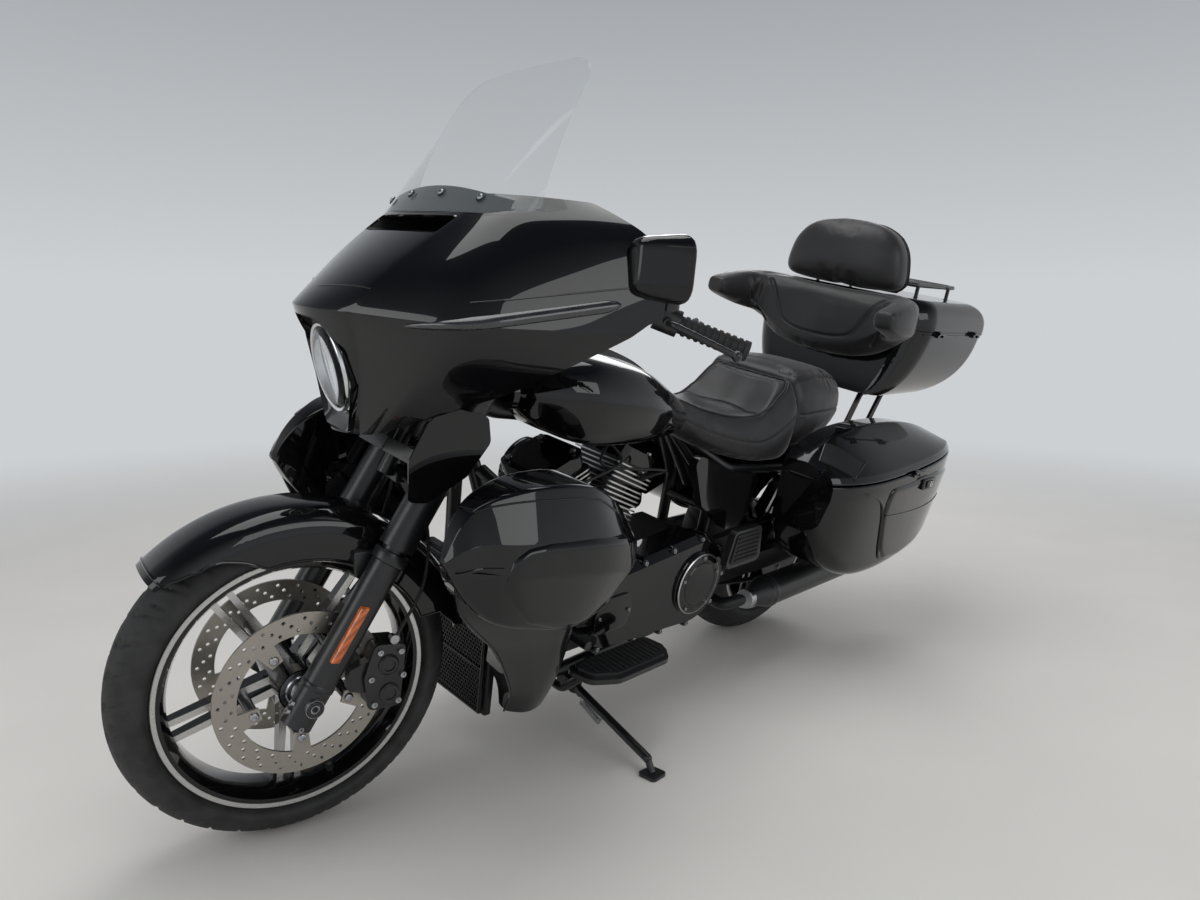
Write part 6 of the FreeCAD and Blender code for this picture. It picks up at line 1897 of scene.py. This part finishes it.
class MOTO_OT_lowers(bpy.types.Operator):
    """Shapes the lower fairings with their raised side panels and front blades"""
    bl_idname = "moto.lowers"
    bl_label = "Lower fairings"

    def execute(self, context):
        shells, trees = [], {}
        for s in (1, -1):
            xs = [LOWER[0][0] + (LOWER[-1][0] - LOWER[0][0]) * i / 54 for i in range(55)]
            rings = [lower_ring(x, *steady(LOWER, x), s) for x in xs]
            nose = sum(rings[0], Vector()) / len(rings[0])
            rings.insert(0, [p.lerp(nose, 0.5) + Vector((5, 0, 0)) for p in rings[0]])
            tail = sum(rings[-1], Vector()) / len(rings[-1])
            rings.append([p.lerp(tail, 0.25) - Vector((5, 0, 0)) for p in rings[-1]])
            shells.append(rings)
            part = body_of_rings("lower_search", rings)
            trees[s] = search_tree(part)
            bpy.data.meshes.remove(part)
        obj = solids("lower_fairing_shells", "root", PAINT, shells, 50)
        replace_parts(obj, "lower_fairings")
        for s, side in ((1, "left"), (-1, "right")):
            raised_panel("lower_panel_" + side, trees[s], SIDE_PANEL, s, 9.0, 16.0, 350)
            ridges = [[(1530, 700, 663), (1506, 700, 712), (1474, 700, 744), (1408, 700, 762),
                       (1318, 700, 762),
                       (1225, 700, 752), (1158, 700, 716)],
                      [(1510, 700, 640), (1476, 700, 652), (1441, 700, 655)]]
            lines = [laid(trees[s], [(x, s * y, z) for x, y, z in run], (0, -s, 0), 0.4) for run in ridges]
            beads("lower_ridges_" + side, "root", lines, 2.0)
            # Blade below the shell: its front edge runs down and back beside the cooler.
            edge = smooth_path([Vector((1508, 322, 644)), Vector((1488, 306, 592)),
                                Vector((1456, 290, 532)),
                                Vector((1396, 274, 470)), Vector((1330, 258, 406)),
                                Vector((1262, 228, 318)),
                                Vector((1206, 196, 232)), Vector((1188, 166, 168))], 4)
            back = smooth_path([Vector((1330, 400, 640)), Vector((1296, 396, 590)),
                                Vector((1258, 384, 530)),
                                Vector((1218, 352, 470)), Vector((1180, 316, 408)),
                                Vector((1140, 270, 318)),
                                Vector((1112, 226, 232)), Vector((1106, 198, 172))], 4)
            inner = [Vector((min(p.x - 8, 1236), 138, p.z)) for p in edge]
            rows = []
            for a, b, c in zip(edge, back, inner):
                wall = [c, c.lerp(a, 0.5) + Vector((0, 4, 0)), a + Vector((-7, -4, 0)), a]
                wall += [a.lerp(b, t) + Vector((6, 18, 0)) * math.sin(math.pi * t)
                         for t in (0.03, 0.2, 0.4, 0.6, 0.8, 0.97)]
                wall += [b, b + Vector((-8, -10, 0)), Vector((b.x - 10, 138, b.z))]
                rows.append([Vector((p.x, s * p.y, p.z)) for p in wall])
            solids("lower_blade_" + side, "root", PAINT, [rows], 32)
            line = [Vector((p.x + 1, s * (p.y + 0.5), p.z)) for p in edge]
            beads("blade_edge_" + side, "root", [line], 2.6)
        return {"FINISHED"}


class MOTO_OT_cooler(bpy.types.Operator):
    """Weaves the mesh over the cooler and frames it"""
    bl_idname = "moto.cooler"
    bl_label = "Cooler"

    def execute(self, context):
        low, high = Vector((1212, 0, 146)), Vector((1236, 0, 470))
        up = (high - low).normalized()
        front = Vector((up.z, 0, -up.x))
        cells = []
        for i in range(-11, 12):
            for j in range(35):
                y, d = i * 9.6 + (4.8 if j % 2 else 0), 6 + j * 9.2
                if abs(y) < 108 + 6 * d / 324 and d < 318:
                    cells.append((low + up * d + Vector((0, y, 0)) + front * 1.5, front, 5.6, (0, 1, 0)))
        ring = body_of_rings("grille_cell",
                             turned_rings([(1.02, 0.0, 6), (1.02, 0.4, 6), (0.84, 0.4, 6), (0.84, 0.0, 6),
                                           (1.02, 0.0, 6)], 6, math.pi / 6), caps=False)
        repeated("cooler_mesh", "root", cells, ring, GLOSS_ABS)
        rails = []
        for s in (1, -1):
            rails.append(([low + Vector((2, s * 112, -4)), high + Vector((2, s * 118, 4))], 5.0))
        for d in (-4, 110, 218, 330):
            p = low + up * d + front * 2
            rails.append(([p + Vector((0, -112 - 0.02 * d, 0)), p + Vector((0, 112 + 0.02 * d, 0))], 4.0))
        bars_of("cooler_frame", "root", rails, GLOSS_ABS, 12, 1)
        return {"FINISHED"}


class MOTO_OT_luggage(bpy.types.Operator):
    """Dresses the saddlebags and the top case: panels, seams, inserts and latches"""
    bl_idname = "moto.luggage"
    bl_label = "Luggage"

    def execute(self, context):
        bag, lid = {}, {}
        bag[1], bag[-1] = skin_of("saddlebag_left"), skin_of("saddlebag_right")
        lid[1], lid[-1] = skin_of("bag_lid_left"), skin_of("bag_lid_right")
        for s, side in ((1, "left"), (-1, "right")):
            raised_panel("bag_panel_" + side, bag[s], BAG_PANEL, s, 7.0, 12.0, 400)
            rim = [(262, s * 214, 662), (262, s * 290, 655), (240, s * 372, 640), (150, s * 420, 628),
                   (74, s * 436, 600), (34, s * 440, 552), (4, s * 440, 484), (-28, s * 428, 417),
                   (-74, s * 396, 366), (-60, s * 340, 346)]
            beads("bag_rim_" + side, "root", [near_skin(bag[s], rim, 1.0)], 4.2)
            crease = laid(bag[s], [(24, s * 600, 546), (-210, s * 600, 536), (-440, s * 600, 544)],
                          (0, -s, 0), 7.4)
            beads("bag_crease_" + side, "root", [crease], 1.8)
            # Grained insert let into the front of the lid.
            corners = [Vector((168, s * 272, 0)), Vector((100, s * 372, 0)), Vector((196, s * 396, 0)),
                       Vector((236, s * 300, 0))]
            rows = []
            for i in range(15):
                a = corners[0].lerp(corners[1], i / 14)
                b = corners[3].lerp(corners[2], i / 14)
                row = []
                for j in range(15):
                    p = a.lerp(b, j / 14)
                    hit = lid[s].ray_cast(Vector((p.x, p.y, 1000)), Vector((0, 0, -1)), 500)
                    z = hit[0].z if hit[0] is not None else (row[-1].z if row else 700)
                    row.append(Vector((p.x, p.y, z + 1.6)))
                rows.append(row)
            sheet_on("lid_insert_" + side, rows, "bag_lid_" + side, GRAIN_ABS, 2.4)
            border = [row[0] for row in rows] + rows[-1][1:]
            border += [row[-1] for row in rows[::-1]][1:] + rows[0][::-1][1:]
            beads("lid_insert_edge_" + side, "bag_lid_" + side, [border], 2.2)
            hit = bag[s].ray_cast(Vector((-209, s * 700, 622)), Vector((0, -s, 0)), 500)
            y = hit[0].y + s * 6
            parts = [plate((-252, 606), (-166, 640), 8, y, y + s * 9, 1, 2.5),
                     plate((-232, 612), (-186, 634), 4, y + s * 8, y + s * 13, 1, 2)]
            solids("bag_latch_" + side, "root", GLOSS_ABS, parts, 30)
            strips = [plate((x, 613), (x + 6, 633), 2, y + s * 12, y + s * 14.4, 1, 0.6)
                      for x in (-224, -212)]
            solids("bag_latch_strips_" + side, "root", CHROME, strips, 30)
        # Top case: a bead round the seam, the latch opposite the hinge, and the rack's feet.
        box = skin_of("tour_box")
        runs = []
        for s in (1, -1):
            path = [(-260, s * 306, 1050), (-400, s * 306, 1050), (-560, s * 306, 1050),
                    (-700, s * 304, 1050),
                    (-752, s * 280, 1050), (-778, s * 220, 1050), (-781, s * 100, 1050), (-781, 0, 1050)]
            runs.append(near_skin(box, path, 0.6))
        beads("case_bead", "root", runs, 2.6)
        latch = plate((-470, 1018), (-390, 1056), 8, -300, -313, 1, 3)
        key = plate((-452, 1026), (-408, 1048), 5, -312, -317, 1, 1.5)
        solids("case_latch", "root", GLOSS_ABS, [latch], 30)
        solids("case_latch_key", "root", CHROME, [key], 30)
        feet = [(Vector((x, y, 1123)), Vector((0, 0, 1)), [(14, -2), (14, 3), (10, 7), (9, 30)])
                for x in (-400, -650) for y in (-181, 181)]
        turned("rack_feet", "tour_lid", SATIN, feet, 24)
        return {"FINISHED"}


def wound(foot, up, side, other, radius, height, turn, steps):
    """Points of a coil; each step turns it by so many radians."""
    return [foot + up * (height * t / steps)
            + (side * math.cos(t * turn) + other * math.sin(t * turn)) * radius for t in range(steps + 1)]


class MOTO_OT_details(bpy.types.Operator):
    """Adds footboard rubbers, exhaust tips, tank cap, lamps, the stand's spring and other small parts"""
    bl_idname = "moto.details"
    bl_label = "Details"

    def execute(self, context):
        # Footboard rubbers with ribs.
        ribs, frames = [], []
        for s in (1, -1):
            for k in range(15):
                x = 838 + 15 * k
                low = 246 + (6 if k in (0, 14) else 0)
                high = s * (322 if 1 < k < 12 else 312 if k < 13 else 300)
                ribs.append(([Vector((x, s * low, 290)), Vector((x, high, 290))], 3.2))
            frames.append(slab(softened([(346, 404), (484, 404), (468, 490), (362, 490)], 12), s * 233,
                               s * 238, 1, 2))
            for k in range(6):
                z = 416 + 12.4 * k
                ribs.append(([Vector((362 + k, s * 239, z)), Vector((468 - k, s * 239, z))], 3.0))
        bars_of("footboard_ribs", "root", ribs, RUBBER, 8, 1)
        solids("passenger_pads", "root", RUBBER, frames, 30)
        # Exhaust: a band at each end of the mufflers, and the clamps before them.
        tips, clamps = [], []
        for s in (1, -1):
            tips.append((Vector((-372, s * 226, 268)), Vector((1, 0, 0)),
                         [(46.5, -4), (47.4, 0), (47.4, 10), (46.5, 14)]))
            tips.append((Vector((236, s * 226, 268)), Vector((1, 0, 0)),
                         [(47, -6), (48.4, -4), (48.4, 8), (46, 14)]))
            clamps.append((Vector((330, s * 226, 268)), Vector((1, 0, 0)),
                           [(26, -6), (28.5, -4), (28.5, 14), (26, 16)]))
        turned("muffler_bands", "root", SATIN, tips, 40)
        turned("exhaust_clamps", "root", ALLOY, clamps, 32)
        # Fuel cap, with a knurled rim.
        knurl = []
        for k in range(120):
            a = 2 * math.pi * k / 120
            r = 34.6 + (0.9 if k % 2 else 0)
            knurl.append((r * math.cos(a), r * math.sin(a)))
        cap = [[Vector((1010 + x * f, -60 + y * f, z)) for x, y in knurl] for f, z in
               ((0.98, 962), (1.0, 964), (1.0, 980), (0.96, 984), (0.8, 986), (0.4, 987))]
        solids("fuel_cap", "root", SATIN, [cap], 40)
        turned("fuel_cap_ring", "root", CUT, [(Vector((1010, -60, 950)), Vector((0, 0, 1)),
                                                        [(40, -2), (40, 10), (38, 13), (35.6, 13.4)])], 48)
        # Bezels of the rear lamps.
        bezels = [plate((s * 35, 555), (s * 155, 615), 16, -392, -412, 0, 2) for s in (1, -1)]
        solids("rear_lamp_bezels", "root", GLOSS_ABS, bezels, 30)
        # Return spring of the side stand, hooked on beside the leg.
        pivot = Vector((940, 150, 142))
        foot = PARKED.inverted() @ ((Vector((985, 462, 0)) + SHIFT) / 1000)
        u = (foot - pivot).normalized()
        side = u.cross(Vector((0, 0, 1))).normalized()
        other = u.cross(side)
        coil = wound(pivot + u * 40 + other * 20, u, side, other, 6.5, 72.0, 0.9, 100)
        coil = [pivot + u * 34, *coil, pivot + u * 118]
        bars_of("stand_spring", NODES["side_stand"]["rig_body"], [(coil, 1.6)], STEEL, 6, 1)
        # Shock springs and their collars.
        coils, caps = [], []
        for s in (1, -1):
            a, b = Vector((60, s * 172, 352)), Vector((150, s * 172, 580))
            u = (b - a).normalized()
            side, other = Vector((0, 1, 0)), u.cross(Vector((0, 1, 0)))
            coils.append((wound(a + u * 112, u, side, other, 19, 112, 0.42, 180), 3.6))
            caps.append((a + u * 108, u, [(16, -4), (25, -2), (25, 4), (20, 8)]))
            caps.append((a + u * 226, u, [(20, -6), (25, -2), (25, 4), (16, 6)]))
        bars_of("shock_springs", "root", coils, SATIN, 8, 1)
        turned("shock_collars", "root", SATIN, caps, 28)
        return {"FINISHED"}


# Signal strips and seams of the fairing

def shown_skin(piece, place):
    """Search tree over a finished piece, on the upright bike."""
    return search_tree(bpy.data.objects[piece].data, place.inverted())


class MOTO_OT_trim(bpy.types.Operator):
    """Sets the smoked signal strips and the body seams of the fairing on its skin"""
    bl_idname = "moto.trim"
    bl_label = "Fairing trim"

    def execute(self, context):
        tree = shown_skin("fairing_skin", STEERED)
        for s, side in ((1, "left"), (-1, "right")):
            way = Vector((0, -s, 0))
            rows = []
            for i in range(61):
                t = i / 60
                x, z = 1516 - 318 * t, 1019 + 65 * t
                half = 8.5 * min(1.0, (4 * t) ** 0.6, (14 * (1 - t)) ** 0.5) + 0.4
                row = []
                for j in range(9):
                    a = -1 + 2 * j / 8
                    hit = tree.ray_cast(Vector((x, s * 700, z + a * half)), way, 700)
                    if hit[0] is None:
                        row = []
                        break
                    bulge = 6.5 * math.cos(a * math.pi / 2) ** 0.6 * min(1.0, half / 8.5)
                    row.append(hit[0] - way * (1.2 + bulge))
                if row:
                    rows.append(row)
            strip = sheet_on("signal_strip_" + side, rows, "steering", SMOKED, 2.0)
            if s > 0:
                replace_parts(strip, "signal_strips")
            seam = laid(tree, [(1530 - 370 * k / 12, s * 700, 1051 + 66 * k / 12) for k in range(13)], way,
                        0.5)
            beads("fairing_side_seam_" + side, "steering", [seam], 1.5)
        nose = laid(tree, [(1588 - abs(y) ** 1.5 * 0.022, y, 1500) for y in range(-150, 151, 25)],
                    (0, 0, -1), 0.4, 4, 900.0)
        beads("fairing_nose_seam", "steering", [nose], 1.5)
        return {"FINISHED"}


# Stage
BACKDROP, OVERHEAD = "CDD0D3", "3F464F"
FLOOR_HALF, FLOOR_DROP = 30, 0.0005
# Where the photograph was taken from, in millimetres from the rear axle's foot, and its yaw, pitch and roll
CAMERA_PLACE = (2397.9624, 1609.2792, 980.3511)
CAMERA_YAW, CAMERA_PITCH, CAMERA_ROLL = 3.8890470734, 0.1367123463, 0.0036726822
# Name, place, width and height in metres, and share of the key light's power
SOFTBOXES = (("overhead_softbox", (0.2, -0.4, 4.2), (4.2, 2.2), 1.0),
             ("side_softbox", (0.6, 4.2, 2.4), (3.4, 1.8), 0.5),
             ("front_softbox", (4.6, -0.6, 2.2), (1.8, 2.2), 0.35),
             ("rear_softbox", (-3.8, -2.2, 3.0), (2.4, 1.6), 0.5))
LIGHTS_AIM = (0.1, 0.0, 0.6)


def aim(obj, place, target):
    obj.location = place
    obj.rotation_mode = "QUATERNION"
    obj.rotation_quaternion = (Vector(target) - Vector(place)).to_track_quat("-Z", "Y")


class MOTO_OT_stage(bpy.types.Operator):
    """Lays the floor and sets the soft lights and the camera at the photograph's angle"""
    bl_idname = "moto.stage"
    bl_label = "Stage"

    def execute(self, context):
        s = settings("moto_stage")
        scene = context.scene
        mesh = bpy.data.meshes.new("studio_floor")
        with editing(mesh) as bm:
            bmesh.ops.create_grid(bm, x_segments=1, y_segments=1, size=FLOOR_HALF)
        mesh.transform(Matrix.Translation((0, 0, -FLOOR_DROP)))
        floor = linked("studio_floor", mesh)
        made, tree, bsdf, where = start("painted_studio_floor", IOR=1.45)
        tree.links.new(tint(tree, speckle(tree, where, 0.4, 3.0), shade(tuple(s.floor), 0.97),
                            tuple(s.floor)), bsdf.inputs["Base Color"])
        tree.links.new(spread(tree, speckle(tree, where, 0.05), 0.6, 0.75), bsdf.inputs["Roughness"])
        relief(tree, bsdf, speckle(tree, where, 0.004), 0.0001, 0.2)
        # The floor runs out into the backdrop a few metres from the bike.
        away = add(tree, "ShaderNodeVectorMath", {"operation": "LENGTH"}, _0=where).outputs["Value"]
        fade = add(tree, "ShaderNodeMapRange", {"interpolation_type": "SMOOTHSTEP"}, Value=away,
                   From_Min=2.2, From_Max=6.5).outputs[0]
        glow = add(tree, "ShaderNodeEmission", Color=linear(BACKDROP), Strength=1.0).outputs[0]
        ground = add(tree, "ShaderNodeMixShader", _0=fade, _1=bsdf.outputs[0], _2=glow).outputs[0]
        tree.links.new(ground, next(n for n in tree.nodes if n.type == "OUTPUT_MATERIAL").inputs["Surface"])
        mesh.materials.append(made)

        world = bpy.data.worlds.new("soft_studio")
        scene.world = world
        world.use_nodes = True
        tree = world.node_tree
        tree.nodes.clear()
        # One surround for the eye, for reflections and through glass; an even grey as light.
        path = add(tree, "ShaderNodeLightPath")
        direct = add(tree, "ShaderNodeMath", {"operation": "MAXIMUM"}, _0=path.outputs["Is Camera Ray"],
                     _1=path.outputs["Is Transmission Ray"]).outputs[0]
        direct = add(tree, "ShaderNodeMath", {"operation": "MAXIMUM"}, _0=direct,
                     _1=path.outputs["Is Glossy Ray"]).outputs[0]
        way = add(tree, "ShaderNodeTexCoord").outputs["Generated"]
        height = add(tree, "ShaderNodeSeparateXYZ", Vector=way).outputs["Z"]
        sky = tint(tree, height, linear(BACKDROP), linear(OVERHEAD), 0.05, 0.75)
        seen = add(tree, "ShaderNodeMix", {"data_type": "RGBA"}, _0=direct, _6=linear("C4C5C7"),
                   _7=sky).outputs[2]
        power = add(tree, "ShaderNodeMapRange", Value=direct, To_Min=0.9, To_Max=1.0).outputs[0]
        back = add(tree, "ShaderNodeBackground", Color=seen, Strength=power)
        add(tree, "ShaderNodeOutputWorld", Surface=back.outputs[0])

        for name, place, (wide, tall), share in SOFTBOXES:
            lamp = bpy.data.lights.new(name, "AREA")
            lamp.shape, lamp.size, lamp.size_y, lamp.energy = "RECTANGLE", wide, tall, s.key_light * share
            aim(linked(name, lamp), place, LIGHTS_AIM)

        yaw, pitch, roll = CAMERA_YAW, CAMERA_PITCH, CAMERA_ROLL
        forward = Vector((math.cos(yaw) * math.cos(pitch), math.sin(yaw) * math.cos(pitch),
                          -math.sin(pitch)))
        right = forward.cross(Vector((0, 0, 1))).normalized()
        up = right.cross(forward)
        right, up = (right * math.cos(roll) + up * math.sin(roll),
                     up * math.cos(roll) - right * math.sin(roll))
        data = bpy.data.cameras.new("camera")
        data.lens, data.sensor_width, data.sensor_fit = s.lens, 36.0, "HORIZONTAL"
        data.clip_start, data.clip_end = 0.05, 100
        camera = linked("camera", data)
        camera.matrix_world = Matrix((right, up, -forward)).transposed().to_4x4()
        camera.location = Vector((CAMERA_PLACE[0] + SHIFT.x, CAMERA_PLACE[1] + SHIFT.y,
                                  CAMERA_PLACE[2])) / 1000
        scene.camera = camera
        scene.view_settings.view_transform = "Standard"
        return {"FINISHED"}


class MOTO_OT_finishes(bpy.types.Operator):
    """Makes the finishes that the pieces wear"""
    bl_idname = "moto.finishes"
    bl_label = "Finishes"

    def execute(self, context):
        make_finishes()
        return {"FINISHED"}


class MOTO_PT_panel(bpy.types.Panel):
    """Lists the steps that dress the motorcycle"""
    bl_idname = "MOTO_PT_panel"
    bl_label = "Touring cruiser motorcycle"
    bl_space_type = "VIEW_3D"
    bl_region_type = "UI"
    bl_category = "Motorcycle"

    def draw(self, context):
        column = self.layout.column(align=True)
        for step in STEPS:
            column.operator(step.bl_idname)
        for group in ("moto_finish", "moto_stage"):
            held = getattr(context.scene, group)
            box = self.layout.box()
            for key in held.bl_rna.properties.keys():
                if key not in ("rna_type", "name"):
                    box.prop(held, key)


STEPS = (MOTO_OT_finishes, MOTO_OT_bodywork, MOTO_OT_fairing, MOTO_OT_headlamp, MOTO_OT_tyres,
         MOTO_OT_forks, MOTO_OT_rims, MOTO_OT_windscreen, MOTO_OT_mirrors, MOTO_OT_cockpit,
         MOTO_OT_engine, MOTO_OT_lowers, MOTO_OT_cooler, MOTO_OT_luggage, MOTO_OT_details, MOTO_OT_trim,
         MOTO_OT_saddle, MOTO_OT_backrest, MOTO_OT_stage)
GROUPS = {"moto_finish": MotoFinishSettings, "moto_stage": MotoStageSettings}


def register():
    for held in (*GROUPS.values(), *STEPS, MOTO_PT_panel):
        bpy.utils.register_class(held)
    for name, group in GROUPS.items():
        setattr(bpy.types.Scene, name, bpy.props.PointerProperty(type=group))


def unregister():
    for name in GROUPS:
        delattr(bpy.types.Scene, name)
    for held in (MOTO_PT_panel, *reversed(STEPS), *GROUPS.values()):
        bpy.utils.unregister_class(held)


def main():
    register()
    for step in STEPS:
        group, name = step.bl_idname.split(".")
        if "FINISHED" not in getattr(getattr(bpy.ops, group), name)():
            raise RuntimeError(f"{step.bl_label} did not finish")
    bpy.context.view_layer.update()


if __name__ == "__main__":
    main()
